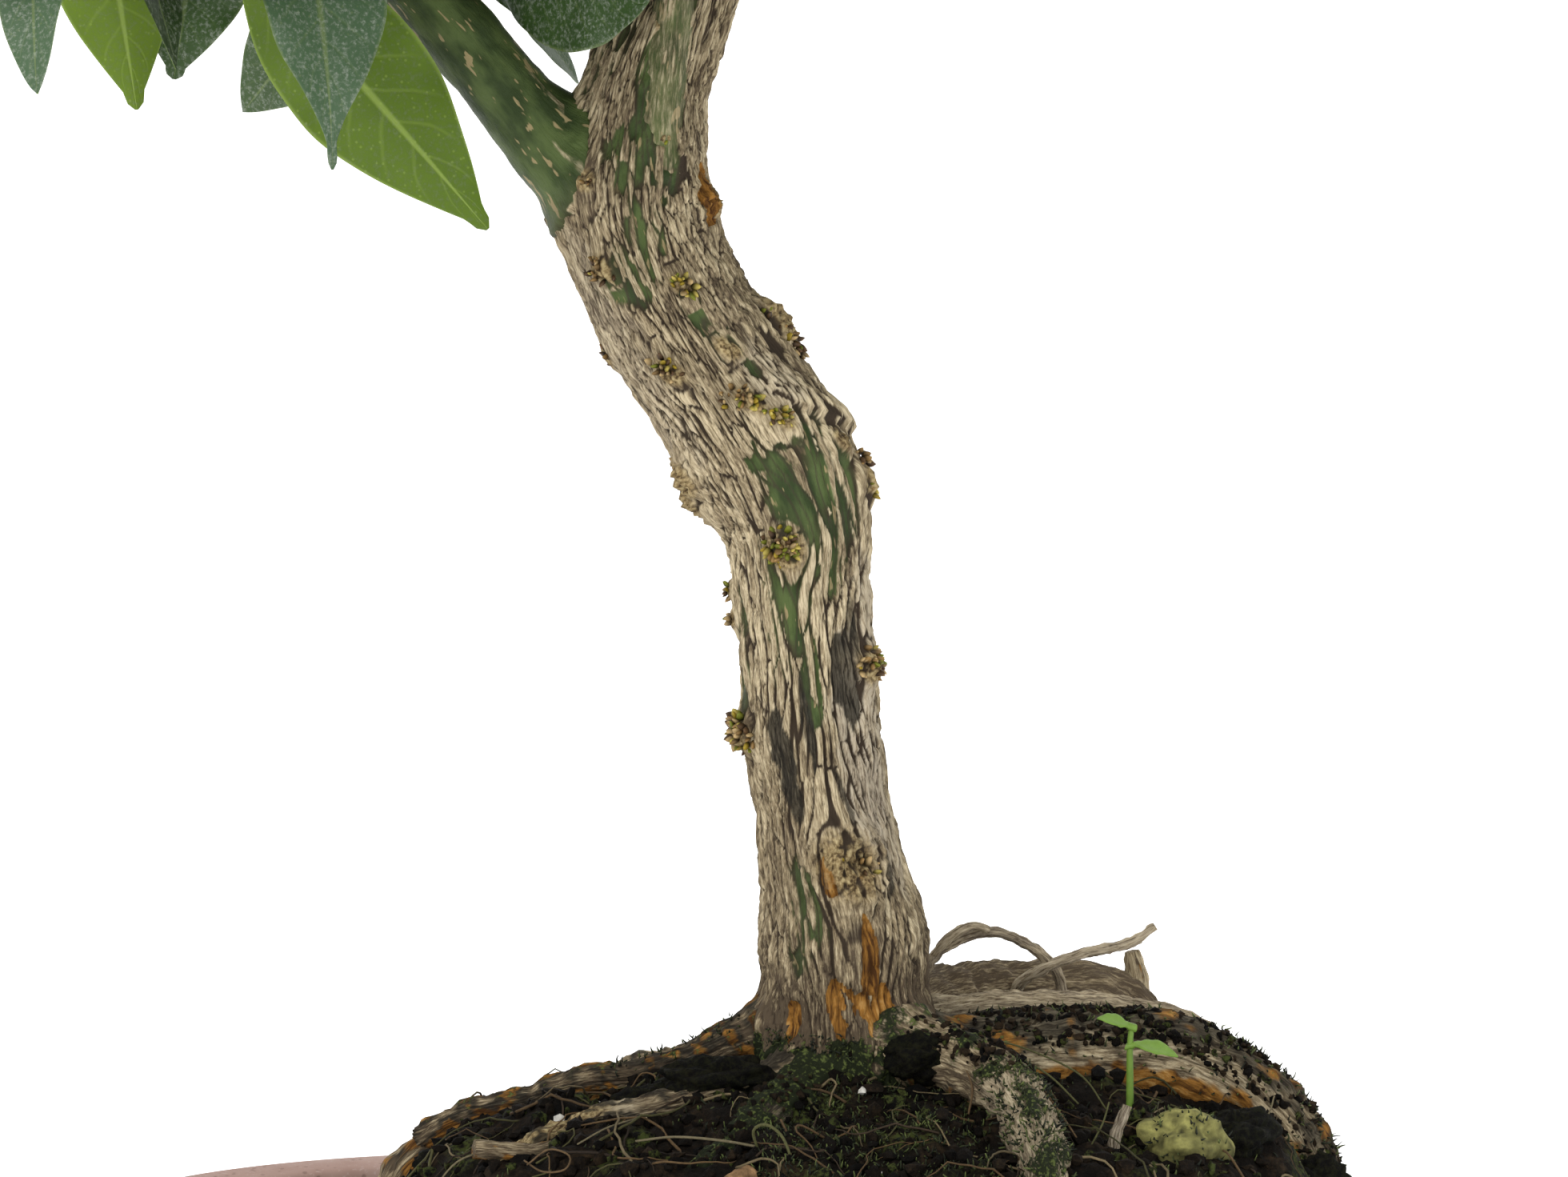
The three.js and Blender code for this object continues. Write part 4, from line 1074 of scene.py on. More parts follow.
@dataclass(frozen=True)
class ClayFinish:
    """Unglazed terracotta with lime bloom and fine pits."""

    def make(self, name: str) -> Material:
        """The clay material.

        Args:
            name: The material's name.

        Returns:
            The material.
        """
        w = Wiring(name)
        place = w.place()
        broad = w.cloud(place, 0.035, 4, 0.6)
        grit = w.cloud(place, 1.3, 4, 0.65)
        pits = w.step(w.cells(place, 0.55), 0.1, 0.28)
        colour = w.ramp(broad, ((0.3, (0.24, 0.145, 0.115)), (0.5, (0.33, 0.225, 0.19)),
                                (0.72, (0.42, 0.32, 0.28))))
        colour = w.mix(w.step(grit, 0.55, 0.75, (0.0, 0.45)), colour, (0.5, 0.42, 0.38))
        # Painted shade: the pits are darkened in their hollows.
        colour = w.mix(w.step(pits, 0.0, 1.0, (0.5, 0.0)), colour, (0.13, 0.08, 0.06))
        height = w.plus(w.times(grit, 0.4), pits)
        return w.finish(colour, 0.88, height, 0.15, 0.5, 0.25)


class Coat(Enum):
    """The finishes that the pieces share."""

    BARK = "bark"
    LEAF_TOP = "leaf_top"
    LEAF_BACK = "leaf_back"
    EARTH = "earth"
    FIBRE = "fibre"
    MOSS = "moss"
    SPROUT = "sprout"
    STONE = "stone"
    CLAY = "clay"
    NET = "net"


FINISHES = {
    Coat.BARK: BarkFinish(),
    Coat.LEAF_TOP: LeafFinish(
        dark=(0.014, 0.035, 0.006), middle=(0.034, 0.078, 0.014), light=(0.055, 0.105, 0.05),
        rib=(0.15, 0.2, 0.07), dust=0.55, rough=0.4, gloss=0.3,
    ),
    Coat.LEAF_BACK: LeafFinish(
        dark=(0.04, 0.07, 0.005), middle=(0.068, 0.12, 0.007), light=(0.105, 0.175, 0.008),
        rib=(0.25, 0.34, 0.07), dust=0.12, rough=0.5, gloss=0.2,
    ),
    Coat.EARTH: EarthFinish(),
    Coat.FIBRE: TintFinish(rough=0.85),
    Coat.MOSS: TintFinish(rough=0.7, grain=2.5, spread=0.5),
    Coat.SPROUT: TintFinish(rough=0.5, grain=0.9, depth=0.05, gloss=0.25, spread=0.2),
    Coat.STONE: TintFinish(rough=0.9, grain=0.9, depth=0.4),
    Coat.CLAY: ClayFinish(),
    Coat.NET: TintFinish(rough=0.6, grain=0.5, depth=0.05, spread=0.2),
}


@dataclass(frozen=True)
class Palette:
    """The materials, made once."""

    coats: dict[Coat, Material]

    @classmethod
    def made(cls) -> "Palette":
        """Makes every material."""
        return cls({coat: finish.make(coat.value) for coat, finish in FINISHES.items()})

    def __getitem__(self, coat: Coat) -> Material:
        """The material of a coat."""
        return self.coats[coat]


@dataclass(frozen=True)
class Patch:
    """Oval area on the trunk: turn and height of its middle, half sizes, strength."""

    turn: float
    height: float
    half_turn: float
    half_height: float
    strength: float = 1.0

    def cover(self, turn: Array, height: Array, ragged: Array) -> Array:
        """Cover from 0 to strength: full inside the oval, falling over a ragged edge.

        Args:
            turn: Turns, in degrees.
            height: Heights, in millimetres.
            ragged: Noise that moves the edge.

        Returns:
            Cover of each point.
        """
        swing = (turn - self.turn + 180) % 360 - 180
        far = np.hypot(swing / self.half_turn, (height - self.height) / self.half_height)
        return self.strength * smoothstep(1.25, 0.75, far + 0.45 * ragged)


class Mark(Enum):
    """What a patch on the trunk shows."""

    GREEN = "green"
    STAIN = "stain"
    ORANGE = "orange"
    SILVER = "silver"
    TAN = "tan"


TRUNK_PATCHES = {
    Mark.GREEN: (
        Patch(10, 213, 36, 5), Patch(-2, 204, 9, 4.5), Patch(12, 203.5, 5, 3), Patch(-28, 196.5, 26, 3.5),
        Patch(16, 191, 7, 5.5), Patch(28, 187, 6, 3.5), Patch(66, 187.5, 15, 4.5), Patch(44, 170.5, 26, 8),
        Patch(6, 166, 20, 9), Patch(-6, 158, 22, 6), Patch(34, 160, 14, 6), Patch(-4, 152, 13, 8),
        Patch(-24, 152, 9, 9, 0.9), Patch(4, 142, 8, 7), Patch(-72, 146, 16, 12, 0.7),
        Patch(-22, 111, 12, 6, 0.9), Patch(-34, 107, 8, 7, 0.7), Patch(130, 150, 30, 14, 0.9),
        Patch(-150, 176, 26, 10, 0.9), Patch(170, 210, 24, 8), Patch(-120, 122, 18, 12, 0.8),
        Patch(6, 224, 14, 16), Patch(-60, 230, 30, 10, 0.5), Patch(160, 245, 60, 14, 0.7),
    ),
    # Dark patches: most are stains, and the one at turn -22, height 127 is painted shade in a deep furrow.
    Mark.STAIN: (
        Patch(33, 143, 13, 4.2), Patch(40, 138, 8, 4, 0.8), Patch(-28, 133, 12, 4), Patch(-22, 127, 10, 5, 0.8),
        Patch(0, 137, 8, 8, 0.55), Patch(18, 122, 7, 9, 0.6), Patch(44, 115, 8, 4, 0.7),
        Patch(-50, 209, 10, 4, 0.5), Patch(48, 149, 6, 6, 0.6), Patch(-140, 140, 14, 7, 0.7),
        Patch(110, 180, 12, 6, 0.6), Patch(12, 116.2, 10, 1.7, 0.9),
    ),
    Mark.ORANGE: (
        Patch(17, 104, 5, 5, 0.75), Patch(16, 99, 8, 4, 0.6), Patch(-6, 96.5, 9, 3.4, 0.65),
        Patch(24, 95.5, 10, 4, 0.75), Patch(-42, 95, 6, 4, 0.6), Patch(50, 92.5, 8, 4, 0.5),
        Patch(60, 208, 10, 4, 0.7), Patch(8, 122, 7, 5, 0.4), Patch(-4, 114.5, 7, 4, 0.45),
        Patch(150, 96, 20, 4, 0.6),
    ),
    Mark.SILVER: (
        Patch(48, 132, 30, 14, 0.8), Patch(70, 150, 20, 8, 0.6), Patch(36, 182, 20, 6, 0.4),
        Patch(60, 122, 20, 10, 0.5), Patch(-60, 186, 26, 16, 0.3), Patch(-150, 150, 50, 30, 0.4),
    ),
    Mark.TAN: (
        Patch(4, 119, 14, 9, 0.8), Patch(30, 204, 16, 6, 0.7), Patch(58, 178, 26, 2, 0.9),
        Patch(-20, 203, 16, 7, 0.5), Patch(-80, 168, 18, 5, 0.6), Patch(-8, 164, 6, 3, 0.9),
    ),
}


def trunk_swell(turn: Array, share: Array) -> Array:
    """Shallow flutes everywhere and a waved foot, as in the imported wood.

    Flutes are 0.03 sin(3a + 9t) + 0.02 sin(5a - 14t) at turn a and share t, and the foot adds
    0.1 sin(5a + 1), fading out at t = 0.2.

    Args:
        turn: Turns round the limb, in radians.
        share: Shares of the path.

    Returns:
        Swell at each point, as a share of the radius.
    """
    foot = smoothstep(0, 0.2, 0.2 - share)
    flutes = 0.03 * np.sin(3 * turn + 9 * share) + 0.02 * np.sin(5 * turn - 14 * share)
    return flutes + 0.1 * foot * np.sin(5 * turn + 1)


def net_of_plates(across: Array, along: Array, girth: float, width: float, length: float,
                  seed: int) -> tuple[Array, Array]:
    """Long cells on a limb: a Voronoi net of one jittered point a box, with its columns slid at random.

    Args:
        across: (N,) millimetres round the limb.
        along: (N,) millimetres along it.
        girth: Millimetres once round.
        width: Mean width of a cell in millimetres.
        length: Mean length of a cell in millimetres.
        seed: Picks the pattern.

    Returns:
        Millimetres to the nearest border and a number from 0 to 1 of the cell's own, both (N,).
    """
    around = max(5, round(girth / width))
    u, v = across / girth * around, along / length
    column, spots = np.floor(u).astype(np.int64), []
    for i in (-1, 0, 1):
        which = (column + i) % around
        slide = 7 * scatter(which, which, seed)
        row = np.floor(v + slide).astype(np.int64)
        for j in (-1, 0, 1):
            x = column + i + 0.5 + 0.75 * (scatter(which, row + j, seed + 1) - 0.5) - u
            y = row + j + 0.5 + 0.8 * (scatter(which, row + j, seed + 2) - 0.5) - slide - v
            spots.append((x, y, scatter(which, row + j, seed + 3)))
    x, y, key = (np.array(part) for part in zip(*spots))
    far = x ** 2 + y ** 2
    nearest = (far.argmin(axis=0), np.arange(len(across)))
    apart_now = np.hypot((x - x[nearest]) / width, (y - y[nearest]) / length)
    border = (far - far[nearest]) / np.maximum(2 * apart_now, 1e-9)
    border[nearest] = 1e9
    return border.min(axis=0), key[nearest]


@dataclass(frozen=True)
class Bark:
    """Relief of bark: domed plates of a net, with fine cracks and gaps where plates have gone."""

    width: float = 1.05
    length: float = 10.0
    depth: float = 0.65
    crack: float = 0.24
    seed: int = 10

    def relief(self, across: Array, along: Array, girth: float, grain: Array, net: Array,
               bare: Array) -> tuple[Array, Array, Array, Array]:
        """Works out the plates.

        A plate rises over the width of a crack from its border, and domes up to its middle.

        Args:
            across: (N,) millimetres round the limb.
            along: (N,) millimetres along it.
            girth: Millimetres once round.
            grain: (N, 3) straightened places.
            net: (N,) share of short plates instead of long ones.
            bare: (N,) share of plates that are gone.

        Returns:
            Heights in millimetres, plate cover from 0 to 1, the plates' own numbers and how near the
            border is, all (N,).
        """
        across = across + noise(grain / (6, 6, 16), self.seed)
        across = across + 0.35 * noise(grain / (2.2, 2.2, 5), self.seed + 1)
        edge, key = net_of_plates(across, along, girth, self.width, self.length, self.seed)
        near, own = net_of_plates(across, along, girth, self.width * 0.8, self.length * 0.45, self.seed + 20)
        short = net + 0.3 * noise(grain / 3, self.seed + 2) > 0.5
        edge, key = np.where(short, near, edge), np.where(short, own, key)
        thin, _ = net_of_plates(across, along, girth, self.width * 0.38, self.length * 0.5, self.seed + 40)
        gap = np.where(short, 0.06, 0.16) * noise(grain / (1.5, 1.5, 6), self.seed + 3)
        plate = smoothstep(gap, gap + self.crack * np.where(short, 0.6, 1.0), edge)
        plate = plate * smoothstep(-0.05, 0.05, key - bare)
        fine = smoothstep(0.0, self.crack * 0.5, thin)
        dome = np.minimum(edge / (self.width * 0.5), 1)
        crumb = noise(grain / (0.8, 0.8, 1.2), self.seed + 5)
        height = self.depth * (plate * (0.7 + 0.45 * dome - 0.3 * (1 - fine)) - 0.65) + 0.1 * crumb * plate
        # Plate cover drops in the fine cracks and border nearness rises at the cracks; the bark material paints
        # both with furrow shade.
        return height, plate * (0.5 + 0.5 * fine), key, smoothstep(self.crack * 0.8, 0, edge)


@dataclass
class Trunk:
    """The trunk from below the soil to its tip, with every knot, scar and furrow in one skin."""

    around: int = 252
    along: int = 388
    crowding: float = 0.33
    dense_from: float = 84.0
    dense_to: float = 238.0
    net_from: float = 176.0
    mean: float = 10.0
    ledge: float = 179.2
    ledge_turn: float = 62.0
    ledge_reach: tuple[float, float] = (34.0, 28.0)

    def density(self, points: Array) -> Array:
        """Rings lie closest together between the soil and the first leaves.

        Args:
            points: (N, 3) places.

        Returns:
            How close together rings lie there.
        """
        z = points[:, 2]
        above = smoothstep(self.dense_from - 4, self.dense_from, z)
        return 0.22 + 0.78 * above * smoothstep(self.dense_to + 8, self.dense_to, z)

    def knot_relief(self, turn: Array, height: Array, radius: Array,
                    rough: Array) -> tuple[Array, Array, Array]:
        """Lumps exp(-1.3 d^2), d from the knot's middle in sizes, with a pit in the widest one.

        The grain bends round a knot as a stream round a post: by s r^2 / (s^2 + h^2) at s beside it and
        h above.

        Args:
            turn: Turns, in degrees.
            height: Heights, in millimetres.
            radius: Radius at each point.
            rough: Noise at the points.

        Returns:
            Heights in millimetres, share of knot, and how far the grain moves.
        """
        lift, cover, bent = np.zeros_like(turn), np.zeros_like(turn), np.zeros_like(turn)
        for level, middle, size in KNOTS:
            swing = np.radians((turn - middle + 180) % 360 - 180) * radius
            rise = height - level
            far = np.hypot(swing, rise * 0.85) / (size * 1.15)
            near = np.exp(-1.3 * far ** 2)
            lift = np.maximum(lift, size * 0.75 * near * (1 + 0.35 * rough))
            cover = np.maximum(cover, near)
            bent -= swing * (1.2 * size) ** 2 / (swing ** 2 + (0.5 * rise) ** 2 + size ** 2)
            if size > 4:
                lift += 0.9 * np.exp(-((far - 0.95) / 0.3) ** 2) * (1 + 0.6 * rough)
                lift -= 2.6 * np.exp(-((swing - 1.2) / 2.4) ** 2 - ((rise - 0.3) / 1.5) ** 2)
        return lift, cover, bent

    def build(self, palette: Palette) -> Piece:
        """Makes the trunk: rings along its path, each point moved out by bark, knots, ledge and swellings.

        Args:
            palette: Materials by coat.

        Returns:
            The trunk.
        """
        route = Route(TRUNK)
        shares = route.spaced(self.along, self.density)
        places = limb_places(route, shares, self.around, self.crowding, trunk_swell)
        shape = places.turn.shape
        flat, arc = places.turn.ravel(), places.arc.ravel()
        grain = np.column_stack([self.mean * np.cos(flat), self.mean * np.sin(flat), arc])
        turn = np.degrees(flat)
        height = places.surface[..., 2].ravel()
        ragged = layered(grain / (2.4, 2.4, 5.0), 2, 40)
        cover = {mark: np.zeros(turn.size) for mark in Mark}
        for mark, patches in TRUNK_PATCHES.items():
            for patch in patches:
                cover[mark] = np.maximum(cover[mark], patch.cover(turn, height, ragged))
        rough = noise(grain / 0.9, 44)
        lift, knot, bent = self.knot_relief(turn, height, places.radius.ravel(), rough)
        low = smoothstep(112, 92, height)
        net = np.clip(smoothstep(self.net_from, self.net_from + 14, height) + 0.5 * low + 0.6 * knot, 0, 1)
        net = np.clip(net - smoothstep(222, 232, height), 0, 1)
        green = np.clip(cover[Mark.GREEN] - knot, 0, 1)
        bark, plate, key, line = Bark().relief(self.mean * flat + bent, arc, 2 * math.pi * self.mean, grain,
                                               net, 0.6 * green)
        own = key * 7 % 1
        stain = smoothstep(0.28, 0.4, cover[Mark.STAIN] - 0.45 * own) * (1 - knot)
        orange = smoothstep(0.15, 0.3, cover[Mark.ORANGE] - 0.5 * own)
        above = height - self.ledge + 0.075 * (turn - 33) + 0.4 * ragged
        beside = smoothstep(*self.ledge_reach, np.abs(turn - self.ledge_turn))
        ledge = smoothstep(-0.1, 0.5, above) * beside
        crest = ledge * smoothstep(8, 1, above)
        # Painted shadow: a dark line just under the ledge's edge, laid into the border nearness so that the
        # furrow shade darkens the rind there.
        line = np.maximum(line, smoothstep(1.5, 0.6, np.abs(above + 0.7)) * beside)
        green = np.clip(green - ledge, 0, 1)
        offset = bark * (1 - 0.4 * stain) + lift + 1.3 * crest - 0.5 * orange + 0.35 * ragged
        offset += self.fillet(places.surface.reshape(-1, 3))
        moss = smoothstep(94.5, 88, height + 3.0 * ragged)
        pale = np.clip(cover[Mark.SILVER] - cover[Mark.TAN], 0, 1)
        plate = np.clip(plate + 0.5 * knot * (0.6 + rough), 0, 1)
        light = np.clip(own + 0.5 * cover[Mark.TAN] + 0.4 * crest, 0, 1) - smoothstep(106, 92, height)
        light -= 0.4 * smoothstep(138, 120, height) + 0.45 * net
        values = bark_values(shape, grain, form=(plate, green, stain), tone=(orange * 0.85, pale, moss),
                             cell=(light, knot, line))
        rings = places.surface + places.out * offset.reshape(*shape, 1)
        return make_object("trunk", ring_skin(rings, values), [palette[Coat.BARK]], "bark", ["tree_wood"])

    def fillet(self, points: Array) -> Array:
        """Swelling of the trunk towards the limbs that leave it: 1.6 (1 - d/4)^2 near their surface.

        Args:
            points: (N, 3) places.

        Returns:
            Swelling, in millimetres.
        """
        swell = np.zeros(len(points))
        limbs = [BRANCHES["left"], BRANCHES["front"], *(ROOTS[name] for name in MAIN_ROOTS)]
        for rows in limbs:
            centres, radii = Route(rows).samples()
            near = np.clip(1 - np.abs(apart(points, centres, radii)) / 4, 0, 1)
            swell = np.maximum(swell, 1.6 * near ** 2)
        return swell


@dataclass(frozen=True)
class LimbLook:
    """How a branch or root is dressed.

    plate, stain, orange, pale, moss: shares from 0 to 1. lumps: height of broad lumps in millimetres.
    depth: depth of the furrows. fine: points a millimetre of length. cracks: strength of the painted furrow
    shade.
    shade: how much darker the wood is. slim: millimetres off its radius. crust: share of black crust on
    top. crumbly: share of granular wood between the shares of the path in reach.
    """

    plate: float = 1.0
    stain: float = 0.0
    orange: float = 0.0
    pale: float = 0.0
    moss: float = 0.0
    lumps: float = 0.4
    depth: float = 0.35
    fine: float = 1.3
    cracks: float = 0.6
    shade: float = 0.4
    crust: float = 0.0
    crumbly: float = 0.0
    slim: float = 0.0
    reach: tuple[float, float] = (0.0, 1.0)


ROOT_LOOKS = {
    "left_upper": LimbLook(stain=0.1, moss=0.2, lumps=0.5, orange=0.25, shade=1.3, crust=0.15),
    "left_main": LimbLook(stain=0.1, orange=0.75, moss=0.1, lumps=0.7, shade=0.9, crust=0.3),
    "left_front": LimbLook(pale=0.8, stain=0.1, lumps=0.7, depth=0.3, fine=1.8, cracks=0.4, shade=0.2,
                           crumbly=1.0, slim=0.9, reach=(0.45, 0.86)),
    "cut_stub": LimbLook(orange=0.2, lumps=0.3, cracks=0.3, shade=0.8, slim=0.8),
    "right_main": LimbLook(orange=0.7, moss=0.1, lumps=1.1, depth=0.6, fine=1.9, shade=0.3, crust=0.75),
    "right_top": LimbLook(pale=0.3, lumps=0.4, cracks=0.4, shade=0.5),
    "front_mossy": LimbLook(pale=0.3, moss=0.36, orange=0.1, lumps=0.8, cracks=0.3, shade=0.3, fine=1.8,
                            reach=(0.3, 1.1)),
    "front_cross": LimbLook(orange=0.12, lumps=0.6, cracks=0.35, shade=0.1),
    "back_right": LimbLook(lumps=0.8, cracks=0.3, shade=1.2),
    "back_post": LimbLook(orange=0.2, lumps=0.2, fine=2.5, cracks=0.3),
    "back_left": LimbLook(stain=0.1, orange=0.1, lumps=0.7, shade=0.6),
    "front_left": LimbLook(stain=0.3, moss=0.6, lumps=0.6, shade=1.2, crust=1.1),
    "dry_arch": LimbLook(pale=0.4, lumps=0.15, depth=0.12, fine=2.0, cracks=0.3, shade=0.8),
    "dry_fork": LimbLook(pale=0.4, lumps=0.15, depth=0.12, fine=2.0, cracks=0.3, shade=0.3),
    "dry_reach": LimbLook(pale=0.6, lumps=0.18, depth=0.12, fine=2.0, cracks=0.3, shade=0.2),
}


def bark_values(shape: tuple[int, int], grain: Array, **marks: tuple[Array, ...]) -> dict[str, Array]:
    """The arrays (N, M, 3) that BarkFinish reads, from flat ones: grain, and three numbers for each mark."""
    stacked = {name: np.stack(parts, axis=-1) for name, parts in marks.items()}
    return {name: value.reshape(*shape, 3) for name, value in ({"grain": grain} | stacked).items()}


def dressed_limb(rows: Rows, look: LimbLook, around: int, seed: int,
                 others: Rows | None = None, green_at: Callable[[Array], Array] | None = None) -> Skin:
    """Skin of a branch or root with bark, lumps and a swelling where it leaves another limb.

    Each point moves outwards by the bark's relief, plus noise times the look's lumps, less its slim, plus
    0.45 of the mean radius times (1 - d/5)^2 at d from the other limb.

    Args:
        rows: The limb's path.
        look: How it is dressed.
        around: Points round it.
        seed: Picks the pattern.
        others: Path of the limb that it leaves.
        green_at: Share of green rind by share of the path, or None for none.

    Returns:
        The skin with its bark values.
    """
    route = Route(rows)
    count = max(8, int(route.length() * look.fine))
    shares = route.spaced(count)
    places = limb_places(route, shares, around)
    shape = places.turn.shape
    grain = places.grain().reshape(-1, 3) + seed * 17.3
    wide = float(route.radii.mean())
    green = np.zeros(places.turn.size) if green_at is None else green_at(places.share.ravel())
    width = float(np.clip(wide * 0.3, 0.4, 1.25))
    spacing = 2 * math.pi * wide / around
    bark, plate, key, line = Bark(width, width * 8, look.depth, max(0.26, spacing), seed).relief(
        wide * places.turn.ravel(), places.arc.ravel(), 2 * math.pi * wide, grain, np.full(green.size, 0.3),
        0.95 * green)
    ragged = layered(grain / max(wide, 1.2), 3, seed + 7)
    offset = bark + look.lumps * ragged - look.slim
    if others is not None:
        centres, radii = Route(others).samples()
        near = np.clip(1 - np.abs(apart(places.surface.reshape(-1, 3), centres, radii)) / 5, 0, 1)
        offset += 0.45 * wide * near ** 2
    up = places.out[..., 2].ravel()
    own = key * 7 % 1 - look.shade
    share = places.share.ravel()
    within = smoothstep(look.reach[0] - 0.06, look.reach[0] + 0.06, share)
    within *= smoothstep(look.reach[1] + 0.06, look.reach[1] - 0.06, share)
    crumbly = look.crumbly * within
    own = own - 0.6 * (1 - within)
    offset += 0.4 * crumbly * noise(grain / 1.1, seed + 9)
    # Share of plate over the painted furrow shade: cracks sets how much shade shows, and crumbly wood shows
    # none.
    plate = np.maximum(1 - look.cracks * (1 - plate) * look.plate, crumbly)
    under = smoothstep(0.5, -0.6, up)
    bare = look.orange * (0.4 + 1.1 * under) + 0.5 * ragged * (look.orange > 0)
    orange = smoothstep(0.1, 0.8, bare - 0.2 * own)
    stain = smoothstep(0.25, 0.45, look.stain * 1.4 + (0.9 * ragged - 0.5 * own) * (look.stain > 0))
    crust = look.crust * (0.5 + 0.7 * up) + 0.5 * (1 - within) + 0.4 * ragged
    stain = np.maximum(stain, smoothstep(0.45, 0.75, crust))
    moss = np.clip(look.moss * (0.5 + 0.8 * smoothstep(-0.2, 0.8, up)) + 0.35 * ragged * (look.moss > 0), 0, 1)
    values = bark_values(shape, grain, form=(plate, green, stain * 0.95),
                         tone=(orange * 0.6, look.pale * within, moss),
                         cell=(own, 0.7 * crumbly, line * (1 - green)))
    return ring_skin(places.surface + places.out * offset.reshape(*shape, 1), values)


def rind(full: float, reach: float) -> Callable[[Array], Array]:
    """Share of green rind by share of the path: from 0 at its start to full at reach."""
    return lambda share: full * smoothstep(0.0, reach, share)


@dataclass
class SurfaceRoots:
    """The roots that leave the trunk and dive into the mound."""

    thick: int = 64
    thin: int = 30

    def build(self, palette: Palette) -> Piece:
        """Makes all the surface roots.

        Args:
            palette: Materials by coat.

        Returns:
            The roots.
        """
        skins = []
        for seed, (name, rows) in enumerate(ROOTS.items(), 60):
            around = self.thick if name in MAIN_ROOTS or name == "front_cross" else self.thin
            others = TRUNK if name in MAIN_ROOTS else None
            skins.append(dressed_limb(rows, ROOT_LOOKS[name], around, seed, others))
        return make_object("surface_roots", merged(skins), [palette[Coat.BARK]], "bark", ["tree_wood"])


class Draws:
    """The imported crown's seeded generator: a 32-bit counter mixed by two multiplications."""

    STRIDE = 0x6D2B79F5

    def __init__(self, seed: int) -> None:
        """Starts at a seed."""
        self.state = seed

    def __call__(self) -> float:
        """The next number from 0 to 1.

        Returns:
            The number.
        """
        self.state = (self.state + self.STRIDE) & WORD
        mixed = ((self.state ^ (self.state >> 15)) * (self.state | 1)) & WORD
        mixed ^= (mixed + (((mixed ^ (mixed >> 7)) * (mixed | 61)) & WORD)) & WORD
        return ((mixed ^ (mixed >> 14)) & WORD) / (WORD + 1)


@dataclass
class Leaf:
    """One leaf: where its stalk starts, blade base and tip, side faced, bend, fold, width, tint, drip tip."""

    root: Array
    base: Array
    tip: Array
    face: Array
    bend: float
    fold: float
    width: float
    tint: float = 0.3
    outline: Blade = Blade.PLAIN
    seed: int = 0

    def skin(self, sides: int, rows: int) -> Skin:
        """Blade with its stalk as one closed tube.

        Each ring goes over the upper face and back under the lower one: v = cos a across, and the
        side of the blade by the sign of sin a. The rib is an arc from base to tip. The half width
        is width/2 sin(pi u^a)^b, with a and b of the outline. The halves fold up by v^2-rounded |v|,
        and the margin waves by sin(2 pi (2.6 u + phase)) v^2.

        Args:
            sides: Points a ring, a multiple of 4.
            rows: Rings along the blade.

        Returns:
            The skin, with coat 0 on the upper face and 1 below.
        """
        rng = np.random.default_rng(self.seed)
        chord = self.tip - self.base
        reach = float(np.linalg.norm(chord))
        along = chord / reach
        up = unit(self.face - (self.face @ along) * along)
        side = np.cross(up, along)
        u = np.linspace(0, 1, rows) ** 0.92
        half = self.bend / 2
        radius = reach / (2 * math.sin(half))
        angle = half - self.bend * u
        rib = self.base + radius * (
            (math.sin(half) - np.sin(angle))[:, None] * along + (np.cos(angle) - math.cos(half))[:, None] * up
        )
        lift = -np.sin(angle)[:, None] * along + np.cos(angle)[:, None] * up
        bulge, point, end = BLADE_POWERS[self.outline]
        wide = np.maximum(np.sin(math.pi * np.clip(u, 1e-6, 1) ** bulge), 0) ** point * self.width / 2
        wide = np.maximum(wide, (0.7 * (1 - u) + end * u) * np.sqrt(1 - np.clip((u - 0.95) / 0.051, 0, 1) ** 2))
        turn = even_turns(sides)
        v, over = np.cos(turn), np.sin(turn)
        fold = (np.sqrt(v ** 2 + 0.015) - 0.12) * math.sin(self.fold)
        wave = 0.05 * np.sin(2 * math.pi * (2.6 * u + rng.random()))[:, None] * v ** 2 * np.sign(v + 1e-9)
        wave = wave + 0.035 * np.sin(2 * math.pi * (4.1 * u + rng.random()))[:, None] * np.abs(v) ** 3
        thick = 0.32 * (1 - 0.5 * u)[:, None] * over
        blade = rib[:, None] + side * (wide[:, None] * v)[..., None] * math.cos(self.fold)
        blade = blade + lift[:, None] * (wide[:, None] * (fold + wave) + thick)[..., None]
        stalk_from = self.root - 0.6 * unit(self.base - self.root)
        steps = np.array([0.0, 0.5, 0.9])
        stalk = stalk_from + steps[:, None] * (self.base - stalk_from)
        ring = side * v[:, None] * 0.62 + up * over[:, None] * 0.5
        stalk = stalk[:, None] + ring
        rings = np.concatenate([stalk, blade])
        shares = np.concatenate([np.zeros(3), np.maximum(u, 0.001)])
        spread = np.broadcast_to(v, rings.shape[:2])
        blade_values = np.stack([
            np.broadcast_to(shares[:, None], spread.shape), spread, np.full(spread.shape, self.tint),
        ], axis=-1)
        skin = ring_skin(rings, {"blade": blade_values})
        upper = (np.arange(sides) < sides // 2).astype(int)
        coats = np.tile(1 - upper, len(rings) - 1)
        skin.coats = np.concatenate([coats, np.ones(len(skin.trios), int)])
        return skin


